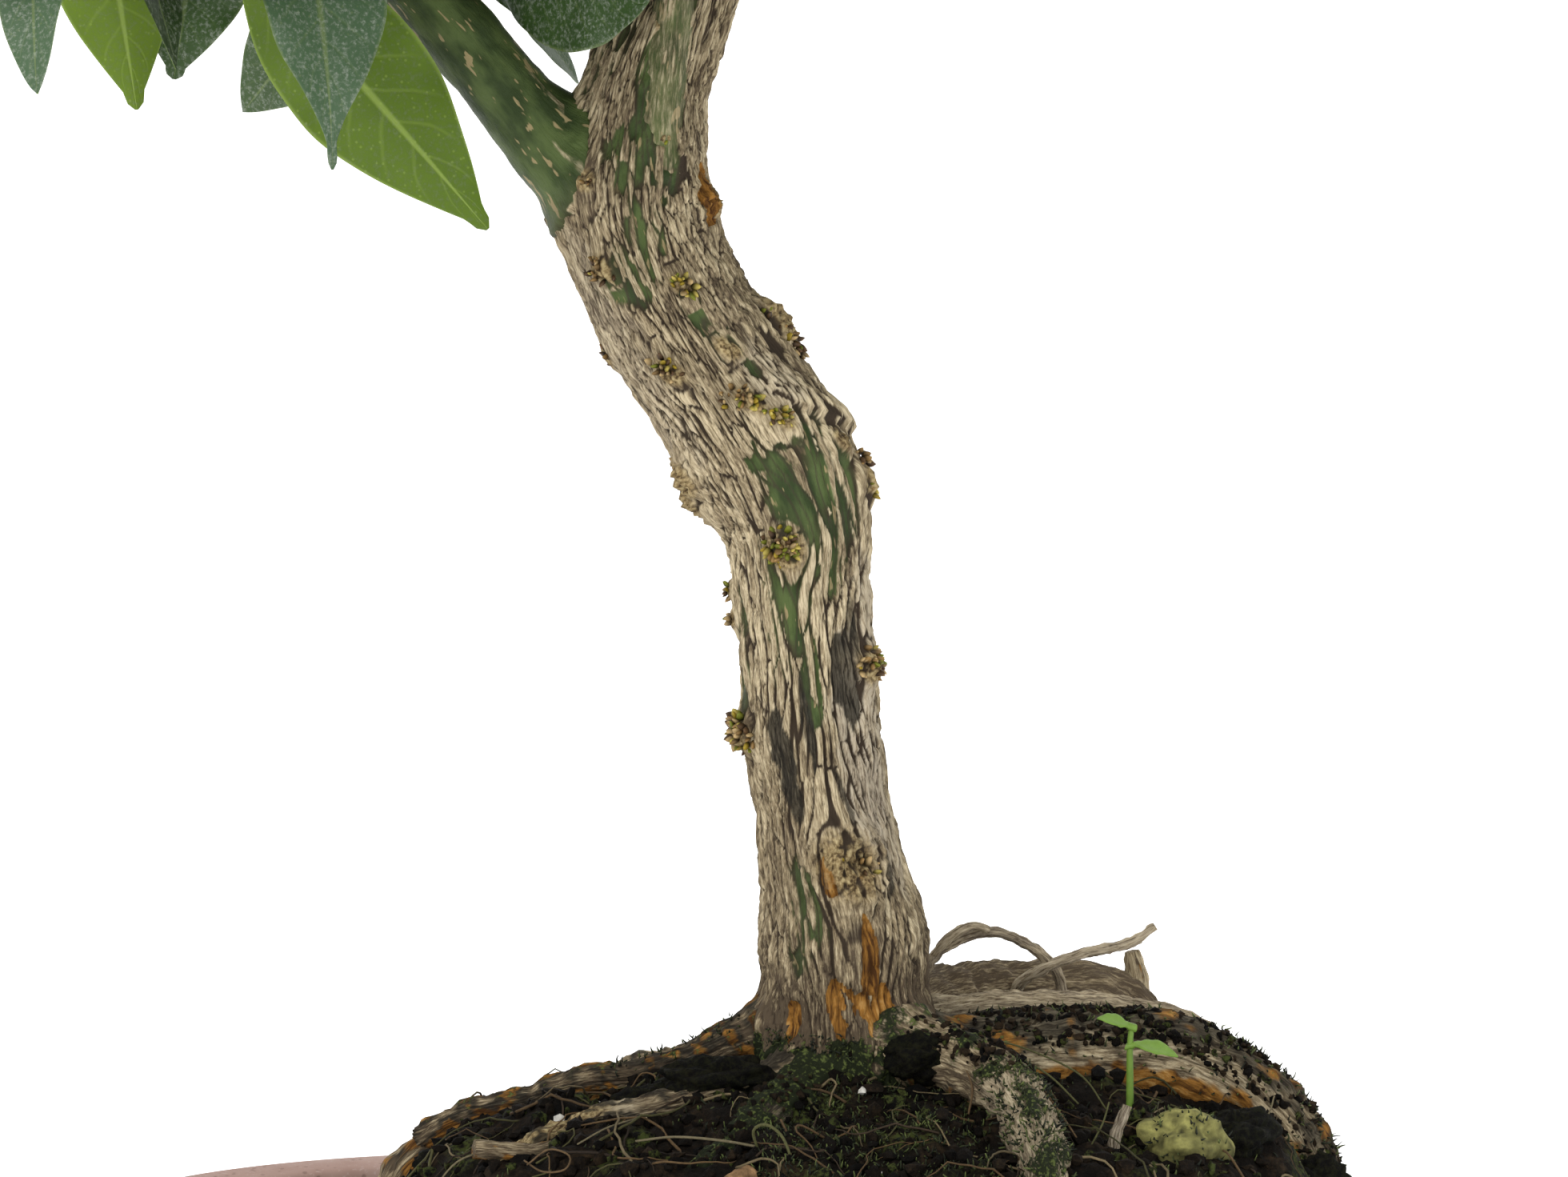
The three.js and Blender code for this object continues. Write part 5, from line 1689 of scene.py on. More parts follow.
@dataclass
class Crown:
    """Branches, twigs and leaves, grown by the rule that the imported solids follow."""

    twigs: list[Route] = field(default_factory=list)
    carriers: list[Rows] = field(default_factory=list)
    leaves: list[list[Leaf]] = field(default_factory=list)

    def shoot_plan(self, draw: Draws) -> list[tuple[Array, Array, float]]:
        """Base, heading and length of each shoot: golden-angle places on a dome inside the crown.

        Args:
            draw: Where the draws come from.

        Returns:
            One row for each shoot.
        """
        plan = []
        for i in range(SHOOT_COUNT):
            rise = between(SHOOT_RISE, (i + 0.5) / SHOOT_COUNT)
            turn, flat = i * GOLDEN_TURN, math.sqrt(1 - rise * rise)
            out = np.array([math.cos(turn) * flat, math.sin(turn) * flat, rise])
            deep = 1 + 0.16 * (draw() - 0.5)
            base = CROWN_CENTRE + out * (CROWN_RADII - SHOOT_DEPTH) * deep
            heading = unit(out + np.array([0.3 * (draw() - 0.5), 0.3 * (draw() - 0.5), 0.3]))
            plan.append((base, heading, between(SHOOT_LENGTH, draw())))
        return plan

    def carrier(self, base: Array, heading: Array, supports: tuple[Array, Array]) -> Rows:
        """Slim branch to a shoot's base from the place on a thicker one that costs least.

        The cost is the distance, plus 0.7 of the height by which the place is too high.

        Args:
            base: Where the shoot starts.
            heading: Unit direction of the shoot.
            supports: Points and radii of the thicker branches.

        Returns:
            The path, with radii.
        """
        points, radii = supports
        cost = np.linalg.norm(points - base, axis=1) + 0.7 * np.maximum(0, points[:, 2] - base[2] + 6)
        best = int(np.argmin(cost))
        start = points[best]
        span = float(np.linalg.norm(start - base))
        middle = base - heading * span * 0.42
        thick = min(radii[best] * 0.85, SHOOT_RADIUS[0] + 0.5 + span * 0.02)
        return ((*start, thick), (*middle, (thick + SHOOT_RADIUS[0]) / 2), (*base, SHOOT_RADIUS[0] + 0.1))

    def shoot_path(self, base: Array, heading: Array, length: float) -> Rows:
        """Path of a shoot, which starts a little past its base and turns slightly upwards.

        Args:
            base: Where the shoot starts.
            heading: Unit direction of the shoot.
            length: Length, in millimetres.

        Returns:
            The path, with radii.
        """
        start = base + heading * SHOOT_START
        end = base + heading * length + (0, 0, length * 0.12)
        middle = (start + end) / 2 - (0, 0, length * 0.03)
        radii = (SHOOT_RADIUS[0], sum(SHOOT_RADIUS) / 2, SHOOT_RADIUS[1])
        return tuple((*point, radius) for point, radius in zip((start, middle, end), radii))

    def shoot_leaf(self, route: Route, heading: Array, j: int, phase: float, chance: Sequence[float],
                   tips: Array) -> Leaf | None:
        """Leaf j of a shoot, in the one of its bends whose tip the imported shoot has.

        Args:
            route: The twig.
            heading: Its direction.
            j: Number of the leaf, 0 at the foot.
            phase: Turn of the shoot's spiral.
            chance: Three draws, for tilt, size and bend.
            tips: (N, 3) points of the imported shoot.

        Returns:
            The leaf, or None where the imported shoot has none.
        """
        last = LEAVES_A_SHOOT - 1
        root = route.at(np.array([between(LEAF_PLACES, j / last)]))[0]
        level = np.array([1.0, 0, 0]) if abs(heading[2]) > 0.9 else np.array([0, 0, 1.0])
        across = unit(level - (level @ heading) * heading)
        side = np.cross(heading, across)
        bends = np.array([(turn, tilt) for tilt in LEAF_TILTS for turn in LEAF_TURNS])
        turns = phase + j * GOLDEN_TURN + bends[:, 0]
        tilts = between((1.35, 0.5), j / last) + 0.3 * (chance[0] - 0.5) + bends[:, 1]
        out = across * np.cos(turns)[:, None] + side * np.sin(turns)[:, None]
        along = unit(heading * np.cos(tilts)[:, None] + out * np.sin(tilts)[:, None])
        length = between(LEAF_LENGTH, chance[1]) * (0.8 if j == last else 1)
        bend = between(LEAF_BEND, chance[2])
        bases = root + along * PETIOLE
        ends = bases + along * length - np.array([0, 0, length * 0.14 * bend])
        far = np.linalg.norm(ends[:, None] - tips[None], axis=2).min(axis=1)
        best = int(np.argmin(far))
        if far[best] > TIP_MATCH:
            return None
        face = heading * 0.7 + np.array([0, 0, 0.75])
        return Leaf(root, bases[best], ends[best], face, bend, LEAF_FOLD, length * LEAF_WIDTH_SHARE)

    def node_points(self, owner: int) -> Array:
        """Points of a packed shoot, in millimetres.

        Args:
            owner: Number of the shoot.

        Returns:
            (N, 3) points.
        """
        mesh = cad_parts[f"leafy_shoot_{owner + 1:02d}"].data
        points = np.empty(len(mesh.vertices) * 3, np.float32)
        mesh.vertices.foreach_get("co", points)
        return points.reshape(-1, 3).astype(float) / MM + (*POT_PLACE, 0)

    def grow(self) -> None:
        """Repeats the rule: shoots, carriers, then leaves from the tips of the shoots to their feet."""
        draw = Draws(CROWN_SEED)
        samples = [Route(rows).samples() for rows in (*BRANCHES.values(), TRUNK[-6:])]
        cut = [(points[int(len(points) * 0.35):], radii[int(len(radii) * 0.35):]) for points, radii in samples]
        supports = (np.concatenate([points for points, _ in cut]), np.concatenate([radii for _, radii in cut]))
        plan = self.shoot_plan(draw)
        starts, kept = [], []
        for path, leaves in HANGING_SPRAYS:
            base = np.array(path[0][:3])
            heading = unit(np.array(path[1][:3]) - base)
            clear = ((*(base + heading * SHOOT_START), path[0][3]), *path[1:])
            self.twigs.append(Route(clear))
            starts.append((base, heading))
            kept.append(self.spray_leaves(path, leaves, len(kept)))
        for base, heading, length in plan:
            self.twigs.append(Route(self.shoot_path(base, heading, length)))
            starts.append((base, heading))
            kept.append([])
        self.carriers = [self.carrier(base, heading, supports) for base, heading in starts]
        headings = [unit(route.points[-1] - route.points[0]) for route in self.twigs]
        phases = [draw() * 2 * math.pi for _ in self.twigs]
        tips = [self.node_points(owner) for owner in range(len(self.twigs))]
        for j in range(LEAVES_A_SHOOT - 1, -1, -1):
            for owner, route in enumerate(self.twigs):
                chance = (draw(), draw(), draw())
                leaf = self.shoot_leaf(route, headings[owner], j, phases[owner], chance, tips[owner])
                if leaf is not None:
                    leaf.seed = owner * 50 + j
                    leaf.tint = 0.12 + 0.5 * chance[1] + (0.25 if j > 5 else 0)
                    kept[owner].append(leaf)
        self.leaves = kept
        LOG.info("crown: %d leaves on %d shoots", sum(map(len, kept)), len(kept))

    def spray_leaves(self, path: Rows, leaves: Sequence[Sequence], owner: int) -> list[Leaf]:
        """The leaves of a hanging spray, each from its twig point straight to its tip.

        Args:
            path: The spray's path.
            leaves: Rows that describe its leaves.
            owner: Number of the shoot.

        Returns:
            The leaves.
        """
        bends = [np.array(row[:3], float) for row in path[1:]]
        roots = (bends[0], bends[1], bends[1] + (bends[2] - bends[1]) * 0.85)
        made = []
        for place, tip, face, width, bend, fold, tint, outline in leaves:
            root, tip = roots[place], np.array(tip, float)
            base = root + unit(tip - root) * PETIOLE
            made.append(Leaf(root, base, tip, np.array(face, float), bend, fold, width, tint, outline,
                             900 + owner * 10 + len(made)))
        return made

    def inner_leaves(self, owner: int, rng: Generator) -> list[Leaf]:
        """Smaller leaves between the others of a shoot, inside the dome and above its slanted floor.

        Args:
            owner: Number of the shoot.
            rng: Where the draws come from.

        Returns:
            The leaves.
        """
        route, made = self.twigs[owner], []
        heading = unit(route.points[-1] - route.points[0])
        for _ in range(INNER_LEAVES):
            root = route.at(np.array([rng.uniform(0.02, 0.9)]))[0]
            along = unit(unit(rng.normal(size=3)) * 1.1 + heading * 0.75)
            length = rng.uniform(17, 29)
            base = root + along * 3.2
            tip = base + along * length - np.array([0, 0, length * 0.12])
            out = (tip - CROWN_CENTRE) / CROWN_RADII
            floor = CROWN_FLOOR[0] + CROWN_FLOOR[1] * tip[1] + 3
            if np.linalg.norm(out) > 0.86 or min(tip[2], base[2]) < floor or root[2] < floor:
                continue
            face = heading * 0.6 + np.array([0, 0, 0.8])
            made.append(Leaf(root, base, tip, face, rng.uniform(0.4, 0.9), 0.35, length * 0.46,
                             rng.uniform(0.0, 0.45), Blade.PLAIN, int(rng.integers(1 << 30))))
        return made

    def build(self, palette: Palette) -> list[Piece]:
        """Makes the branches and one piece for each leafy shoot.

        Args:
            palette: Materials by coat.

        Returns:
            The pieces.
        """
        self.grow()
        made = [self.build_branches(palette)]
        rng = np.random.default_rng(INNER_SEED)
        coats = [palette[Coat.LEAF_TOP], palette[Coat.LEAF_BACK]]
        for owner, route in enumerate(self.twigs):
            skins = [self.twig_skin(route)]
            hanging = owner < len(HANGING_SPRAYS)
            shown = len(HANGING_SPRAYS[owner][1]) if hanging else 0
            for k, leaf in enumerate(self.leaves[owner]):
                skins.append(leaf.skin(*(SHOWN_LEAF if k < shown else PACKED_LEAF)))
            skins.extend(leaf.skin(*INNER_LEAF) for leaf in self.inner_leaves(owner, rng))
            name = f"leafy_shoot_{owner + 1:02d}"
            made.append(make_object(f"{name}_leaves", merged(skins), coats, "leaf", [name], 70))
        return made

    def twig_skin(self, route: Route) -> Skin:
        """Green twig with a swelling at each leaf: 0.16 exp(-d^2 / 0.02), d in ninths of its length.

        Args:
            route: The path.

        Returns:
            The skin.
        """
        places = limb_places(route, route.spaced(26), 10)
        swell = 0.16 * np.exp(-((places.share * 9) % 1 - 0.5) ** 2 / 0.02)
        blade = np.zeros((*places.turn.shape, 3)) + (0.0, 0.5, 0.3)
        skin = ring_skin(places.surface + places.out * swell[..., None], {"blade": blade})
        skin.coats = np.ones(len(skin.quads) + len(skin.trios), int)
        return skin

    def build_branches(self, palette: Palette) -> Piece:
        """Makes the branches and the slim carriers; they turn green away from the trunk.

        Args:
            palette: Materials by coat.

        Returns:
            The branches.
        """
        looks = {
            "left": (72, LimbLook(lumps=0.25, depth=0.35, fine=2.0, cracks=1.0, shade=0.0), TRUNK,
                     rind(1.0, 0.14)),
            "front": (40, LimbLook(lumps=0.1, depth=0.12, fine=1.8), TRUNK, rind(1.0, 0.02)),
        }
        plain = LimbLook(lumps=0.25, depth=0.3, cracks=1.0, shade=0.0)
        skins = []
        for seed, (name, rows) in enumerate(BRANCHES.items(), 80):
            around, look, others, green = looks.get(name, (24, plain, TRUNK, rind(0.9, 0.4)))
            skins.append(dressed_limb(rows, look, around, seed, others, green))
        slim = LimbLook(lumps=0.12, depth=0.12, fine=0.8, cracks=1.0, shade=0.0)
        for seed, rows in enumerate(self.carriers, 100):
            skins.append(dressed_limb(rows, slim, 10, seed, None, rind(1.0, 0.3)))
        return make_object("branches", merged(skins), [palette[Coat.BARK]], "bark", ["tree_wood"])


def trunk_frame(height: float, turn: float) -> tuple[Array, Array, float]:
    """Place on the trunk's surface and its outward direction, by height and turn, with the radius there.

    Args:
        height: Height of the place, in millimetres.
        turn: Its turn, in degrees.

    Returns:
        Place, outward direction and radius.
    """
    table = np.array(TRUNK)
    x, y, radius = (np.interp(height, table[:, 2], table[:, k]) for k in (0, 1, 3))
    lean = np.interp(height, table[:, 2], np.gradient(table[:, 0], table[:, 2]))
    out = np.array([math.sin(math.radians(turn)) * math.hypot(1, lean), -math.cos(math.radians(turn)), 0.0])
    return np.array([x, y, height]) + out * radius, unit(out), radius


@dataclass
class BudClusters:
    """Clusters of small scaly buds on the knots.

    clusters: height, turn, spread, count, size and how yellow, from the trunk's foot up.
    """

    clusters: tuple[tuple[float, ...], ...] = (
        (231.4, 0, 0.9, 4, 0.8, 0.3), (215.3, 20, 0.8, 5, 0.6, 0.45), (209.5, -36, 1.2, 10, 0.5, 0.15),
        (195.6, 14, 1.3, 18, 0.55, 0.8), (197.6, -38, 1.8, 16, 0.5, 0.1), (184.3, -26, 1.7, 18, 0.55, 0.3),
        (188.2, 84, 2.6, 26, 0.6, 0.2), (191, 76, 2.0, 16, 0.55, 0.15), (180.6, 11, 1.6, 22, 0.55, 0.6),
        (178.2, 22, 1.5, 18, 0.55, 0.65), (180, 0, 1.2, 8, 0.45, 0.4), (169.5, -70, 2.4, 14, 0.5, 0.15),
        (165, -84, 1.6, 12, 0.5, 0.4), (171.5, 84, 1.6, 14, 0.55, 0.2), (167.6, 86, 1.5, 14, 0.55, 0.6),
        (160.2, -10, 2.3, 44, 0.66, 0.5), (153.5, -88, 1.1, 10, 0.5, 0.2), (149.4, -86, 0.9, 8, 0.45, 0.15),
        (143.6, 60, 2.3, 28, 0.6, 0.35), (142.8, 76, 1.6, 14, 0.55, 0.45), (134, -70, 2.7, 54, 0.66, 0.35),
        (116.8, 4, 1.6, 10, 0.6, 0.2), (115.2, 26, 1.8, 12, 0.6, 0.25), (186, -88, 1.1, 8, 0.5, 0.1),
        (200, 150, 1.8, 16, 0.6, 0.4), (181, -140, 2.0, 20, 0.6, 0.4), (158, 165, 2.0, 20, 0.6, 0.3),
        (139, -160, 2.0, 20, 0.6, 0.4), (121, 140, 2.2, 22, 0.6, 0.3),
    )
    sides: int = 6
    seed: int = 12
    fresh = ((0.24, 0.17, 0.015), (0.13, 0.14, 0.012), (0.4, 0.32, 0.07))
    dry = ((0.19, 0.115, 0.04), (0.07, 0.038, 0.016), (0.34, 0.24, 0.11))

    def build(self, palette: Palette) -> Piece:
        """Makes every scale: a flat, pointed egg of radius sin(pi u^0.8)^0.8 that leans out of its heap.

        Args:
            palette: Materials by coat.

        Returns:
            The scales.
        """
        rng = np.random.default_rng(self.seed)
        spots, outs, sizes, tints = [], [], [], []
        for height, turn, spread, count, size, yellow in self.clusters:
            _, _, radius = trunk_frame(height, turn)
            for _ in range(int(count)):
                ray = rng.normal(size=2)
                share = math.sqrt(rng.random())
                away = share * spread * unit(ray)
                spot, out, _ = trunk_frame(height + away[1], turn + math.degrees(away[0] / radius))
                level = np.array([-out[1], out[0], 0.0])
                spots.append(spot + out * (0.25 + 0.75 * spread * math.sqrt(1 - share ** 2)))
                spill = (level * away[0] + np.array([0, 0, 1.0]) * away[1]) / spread
                outs.append(unit(out + 0.9 * spill + 0.3 * rng.normal(size=3)))
                sizes.append(size * rng.uniform(0.7, 1.3))
                kind = self.fresh if rng.random() < yellow else self.dry
                tints.append(np.array(kind[rng.integers(3)]) * rng.uniform(0.7, 1.2))
        spots, outs, sizes, tints = map(np.array, (spots, outs, sizes, tints))
        side = unit(np.cross(outs, rng.normal(size=outs.shape)))
        other = np.cross(outs, side) * 0.6
        u = np.array([0.12, 0.35, 0.6, 0.84])
        turn = even_turns(self.sides)
        girth = np.sin(math.pi * u ** 0.8) ** 0.8 * 0.85
        flat = side[:, None, None] * np.cos(turn)[:, None] + other[:, None, None] * np.sin(turn)[:, None]
        rings = spots[:, None, None] + sizes[:, None, None, None] * (
            flat * girth[:, None, None] + outs[:, None, None] * (2.6 * u - 0.9)[:, None, None]
        )
        poles = spots[:, None] + sizes[:, None, None] * outs[:, None] * np.array([-0.9, 1.7])[:, None]
        points = np.concatenate([rings.reshape(len(spots), -1, 3), poles], axis=1)
        # Painted shade and highlight: each scale is darkest at its foot inside the heap and lighter than its
        # tint at its tip.
        shade = np.concatenate([np.repeat([0.08, 0.25, 0.8, 1.25], self.sides), [0.1, 1.3]])
        skin = copies(points, tube_faces(len(u), self.sides), {"tint": tints[:, None] * shade[:, None]})
        return make_object("bud_clusters", skin.outward(), [palette[Coat.SPROUT]], "sprout")


def mound_share(x: Array, y: Array) -> Array:
    """How far out a place is on the mound: 0 at its middle, 1 on its superellipse."""
    dx, dy = (x - MOUND_CENTRE[0]) / MOUND_HALF[0], (y - MOUND_CENTRE[1]) / MOUND_HALF[1]
    return (np.abs(dx) ** MOUND_POWER + np.abs(dy) ** MOUND_POWER) ** (1 / MOUND_POWER)


def soil_height(x: Array, y: Array) -> Array:
    """Height of the soil: a low dome that slopes down to the pot's flat edge, with lumps.

    The dome falls with the squares of x and y from its middle. A smoothstep of the mound's share takes it
    down to the edge, and two slanted sines add the lumps.

    Args:
        x: Places along the pot.
        y: Places across the pot.

    Returns:
        Heights, in millimetres.
    """
    share = mound_share(x, y)
    fall_x = MOUND_FALL[0] * ((x - MOUND_CENTRE[0]) / MOUND_HALF[0]) ** 2
    fall_y = MOUND_FALL[1] * ((y - MOUND_CENTRE[1]) / MOUND_HALF[1]) ** 2
    top, foot = MOUND_TOP - fall_x - fall_y, SOIL_EDGE_HEIGHT + 1
    slope = smoothstep(*MOUND_SLOPE, share)
    lumps = 0.8 * np.sin(x * 0.31 + y * 0.17) + 0.7 * np.sin(y * 0.37 - x * 0.12)
    return np.where(share > MOUND_SLOPE[1], foot, top + (foot - top) * slope + lumps * (1 - slope * 0.6))


def oval(turn: Array, half: Sequence[float], power: float) -> Array:
    """(N, 2) points of a superellipse at turns from 0 to 2 pi.

    At turn a, x is the half length times |cos a|^(2 / power) with the sign of cos a, and y is the same
    with sin a and the half width.

    Args:
        turn: Turns round the oval.
        half: Half length and half width.
        power: Power of the superellipse.

    Returns:
        The points.
    """
    c, s = np.cos(turn), np.sin(turn)
    return np.stack([np.sign(c) * np.abs(c) ** (2 / power) * half[0],
                     np.sign(s) * np.abs(s) ** (2 / power) * half[1]], axis=-1)


def even_oval(count: int, half: Sequence[float], power: float) -> Array:
    """(count, 2) points spread evenly by length along a superellipse, read off 4000 short chords.

    Args:
        count: How many.
        half: Half length and half width.
        power: Power of the superellipse.

    Returns:
        The points.
    """
    fine = np.linspace(0, 2 * math.pi, 4001)
    points = oval(fine, half, power)
    run = np.concatenate([[0], np.cumsum(np.linalg.norm(np.diff(points, axis=0), axis=1))])
    goal = np.linspace(0, run[-1], count, endpoint=False)
    return np.stack([np.interp(goal, run, points[:, k]) for k in (0, 1)], axis=-1)


def pot_ring(count: int, inset: float) -> Array:
    """(count, 2) points round the pot at an inset from its lip."""
    return even_oval(count, [half - inset for half in POT_HALF], POT_CORNER_POWER) + POT_PLACE


def round_roots(name: str, reach: Sequence[float], count: int, rng: Generator) -> tuple[Array, Array, Array]:
    """Random places on the middle line of a root, directions away from it, and the radii there.

    Args:
        name: The root's name.
        reach: Shares of its path between which they lie.
        count: How many.
        rng: Where the draws come from.

    Returns:
        Places, directions and radii.
    """
    route, shares = Route(ROOTS[name]), rng.uniform(*reach, count)
    across, side = carried_frames(route.tangents(shares))
    angle = rng.uniform(0, 2 * math.pi, count)[:, None]
    return route.at(shares), across * np.cos(angle) + side * np.sin(angle), route.radius(shares)[:, None]


@dataclass
class Soil:
    """Peat mound in the pot, with crumbs, granules, perlite and fine rootlets over it."""

    around: int = 380
    rings: int = 120
    crumbs: int = 4200
    granules: int = 1500
    rootlets: int = 330
    crumb_seed: int = 3
    perlite_seed: int = 8
    rootlet_seed: int = 17

    def surface(self, x: Array, y: Array) -> Array:
        """Soil height with crumbly relief from three layers of noise, hollowed behind the left roots.

        Args:
            x: Places along the pot.
            y: Places across the pot.

        Returns:
            Heights, in millimetres.
        """
        flat = np.stack([x, y, np.zeros_like(x)], axis=-1)
        share = mound_share(x, y)
        rough = 1.1 * noise(flat / 6.5, 20) + 0.75 * noise(flat / 2.6, 21) + 0.4 * noise(flat / 1.2, 22)
        level = soil_height(x, y) + rough * np.where(share > 1.2, 0.5, 1.0) - np.where(y > -3, 1.1, 0.5)
        return level - 2.0 * smoothstep(-12, -24, x) * smoothstep(-6, 2, y) * (share < 1)

    def build(self, palette: Palette) -> list[Piece]:
        """Makes the soil and what lies on it."""
        return [self.build_body(palette), self.build_crumbs(palette), self.build_rootlets(palette),
                self.build_perlite(palette)]

    def build_body(self, palette: Palette) -> Piece:
        """The body: rings from the mound's middle to the wall, down it and under to the middle again.

        Args:
            palette: Materials by coat.

        Returns:
            The body.
        """
        outline = even_oval(self.around, MOUND_HALF, MOUND_POWER)
        edge = pot_ring(self.around, SOIL_EDGE_INSET)
        middle = np.array(MOUND_CENTRE)
        shares = np.linspace(0.004, 1.2, self.rings)
        inner = middle + outline[None] * shares[:, None, None]
        steps = np.linspace(0.04, 1, 26)[:, None, None]
        outer = inner[-1][None] * (1 - steps) + edge[None] * steps
        flat = np.concatenate([inner, outer])
        z = self.surface(flat[..., 0].ravel(), flat[..., 1].ravel()).reshape(flat.shape[:2])
        z[-1] = SOIL_EDGE_HEIGHT - 0.5
        top = np.concatenate([flat, z[..., None]], axis=-1)
        under = []
        for inset, height in ((12.8, 40), (17.3, 22), (24.3, FLOOR_TOP + 0.4)):
            ring = pot_ring(self.around, inset)
            under.append(np.concatenate([ring, np.full((self.around, 1), height)], axis=1))
        rings = np.concatenate([top, np.array(under)])
        count = rings.shape[:2]
        place = rings.reshape(-1, 3)
        moss = smoothstep(0.1, 0.6, noise(place / 9, 24)) * (mound_share(place[:, 0], place[:, 1]) < 1.1)
        brown = 0.5 + 0.5 * noise(place / 5, 25)
        earth = np.stack([brown, moss, np.zeros(len(place))], axis=-1).reshape(*count, 3)
        skin = ring_skin(rings, {"earth": earth})
        return make_object("soil_body", skin, [palette[Coat.EARTH]], "peat", ["soil"])

    def scattered(self, rng: Generator, count: int, low: float, high: float) -> tuple[Array, Array]:
        """Random places whose share of the mound lies between low and high, inside the pot.

        Args:
            rng: Where the draws come from.
            count: How many at most.
            low: Lowest share.
            high: Highest share.

        Returns:
            The places, x and y.
        """
        x = POT_PLACE[0] + rng.uniform(-POT_HALF[0] + 16, POT_HALF[0] - 16, count * 6)
        y = rng.uniform(-POT_HALF[1] + 16, POT_HALF[1] - 16, count * 6)
        share = mound_share(x, y)
        half = [h - 14 for h in POT_HALF]
        flat = np.abs(np.stack([x - POT_PLACE[0], y], axis=-1) / half)
        wall = (flat ** POT_CORNER_POWER).sum(axis=1)
        keep = np.flatnonzero((share > low) & (share < high) & (wall < 1))[:count]
        return x[keep], y[keep]

    def lumps(self, centres: Array, sizes: Array, rng: Generator) -> tuple[Array, Array]:
        """Points (K, 12, 3) and faces of rough lumps: icosahedra with each corner moved at random.

        Args:
            centres: (K, 3) middles.
            sizes: (K,) radii.
            rng: Where the draws come from.

        Returns:
            The points and the faces.
        """
        g = (1 + math.sqrt(5)) / 2
        corners = np.array([(-1, g, 0), (1, g, 0), (-1, -g, 0), (1, -g, 0), (0, -1, g), (0, 1, g),
                            (0, -1, -g), (0, 1, -g), (g, 0, -1), (g, 0, 1), (-g, 0, -1), (-g, 0, 1)])
        corners = unit(corners.astype(float))
        faces = np.array([(0, 11, 5), (0, 5, 1), (0, 1, 7), (0, 7, 10), (0, 10, 11), (1, 5, 9), (5, 11, 4),
                          (11, 10, 2), (10, 7, 6), (7, 1, 8), (3, 9, 4), (3, 4, 2), (3, 2, 6), (3, 6, 8),
                          (3, 8, 9), (4, 9, 5), (2, 4, 11), (6, 2, 10), (8, 6, 7), (9, 8, 1)])
        push = rng.uniform(0.65, 1.3, (len(centres), 12, 1))
        stretch = rng.uniform(0.6, 1.3, (len(centres), 1, 3))
        return centres[:, None] + corners * push * stretch * sizes[:, None, None], faces

    def build_crumbs(self, palette: Palette) -> Piece:
        """Peat crumbs on the mound and lava granules on the flat edge.

        Args:
            palette: Materials by coat.

        Returns:
            The crumbs.
        """
        rng = np.random.default_rng(self.crumb_seed)
        x, y = self.scattered(rng, self.crumbs, 0.1, 1.12)
        sizes = rng.uniform(0.35, 1.25, len(x)) ** 1.3
        gx, gy = self.scattered(rng, self.granules, 1.08, 9.0)
        grains = rng.uniform(0.7, 2.1, len(gx))
        places = np.stack([np.concatenate([x, gx]), np.concatenate([y, gy])], axis=-1)
        size = np.concatenate([sizes * np.where(y > -1, 0.5, 1), grains])
        z = self.surface(places[:, 0], places[:, 1]) + size * 0.3
        on_roots = self.root_crumbs(rng)
        crumb = rng.uniform(0.25, 0.8, len(on_roots))
        size = np.concatenate([size, crumb])
        points, faces = self.lumps(np.concatenate([np.column_stack([places, z]), on_roots]), size, rng)
        brown = rng.uniform(0, 1, (len(size), 1)) * np.where(np.arange(len(size)) < len(x), 0.7, 1.0)[:, None]
        brown = np.broadcast_to(brown, points.shape[:2])
        moss = np.broadcast_to((rng.random((len(size), 1)) < 0.15) * 1.0, points.shape[:2])
        values = {"earth": np.stack([brown, moss, np.zeros(points.shape[:2])], axis=-1)}
        skin = copies(points, faces, values).outward()
        return make_object("soil_crumbs", skin, [palette[Coat.EARTH]], "peat", sharp=35)

    def root_crumbs(self, rng: Generator) -> Array:
        """Places of crumbs on the upper side of roots and on the trunk's foot.

        Args:
            rng: Where the draws come from.

        Returns:
            (N, 3) places.
        """
        made = []
        for name, low, high, count in (("right_main", 0.1, 0.9, 1500), ("front_mossy", 0.02, 0.34, 260),
                                       ("left_main", 0.1, 0.6, 120), ("front_left", 0.1, 0.8, 150)):
            middle, out, radius = round_roots(name, (low, high), count, rng)
            out[:, 2] = np.abs(out[:, 2]) + 0.5
            made.append(middle + unit(out) * radius)
        turn, height = rng.uniform(-10, 75, 260), rng.uniform(84, 91, 260)
        made.append(np.array([trunk_frame(h, t)[0] for h, t in zip(height, turn)]))
        return np.concatenate(made)

    def build_perlite(self, palette: Palette) -> Piece:
        """A few white perlite grains, some where they show and the rest scattered.

        Args:
            palette: Materials by coat.

        Returns:
            The grains.
        """
        rng = np.random.default_rng(self.perlite_seed)
        shown = np.array([(-49, -20.5), (-52, -25), (-20, -11.5), (-6, -18.5), (-47, -16), (2.5, -11),
                          (9, -38)])
        x, y = self.scattered(rng, 26, 0.3, 1.5)
        places = np.concatenate([shown, np.column_stack([x, y])])
        sizes = rng.uniform(0.4, 0.75, len(places))
        z = self.surface(places[:, 0], places[:, 1]) + sizes * 0.6
        points, faces = self.lumps(np.column_stack([places, z]), sizes, rng)
        tint = np.broadcast_to(np.array((0.72, 0.7, 0.64)), points.shape)
        skin = copies(points, faces, {"tint": tint}).outward()
        return make_object("perlite_grains", skin, [palette[Coat.STONE]], "stone", sharp=35)

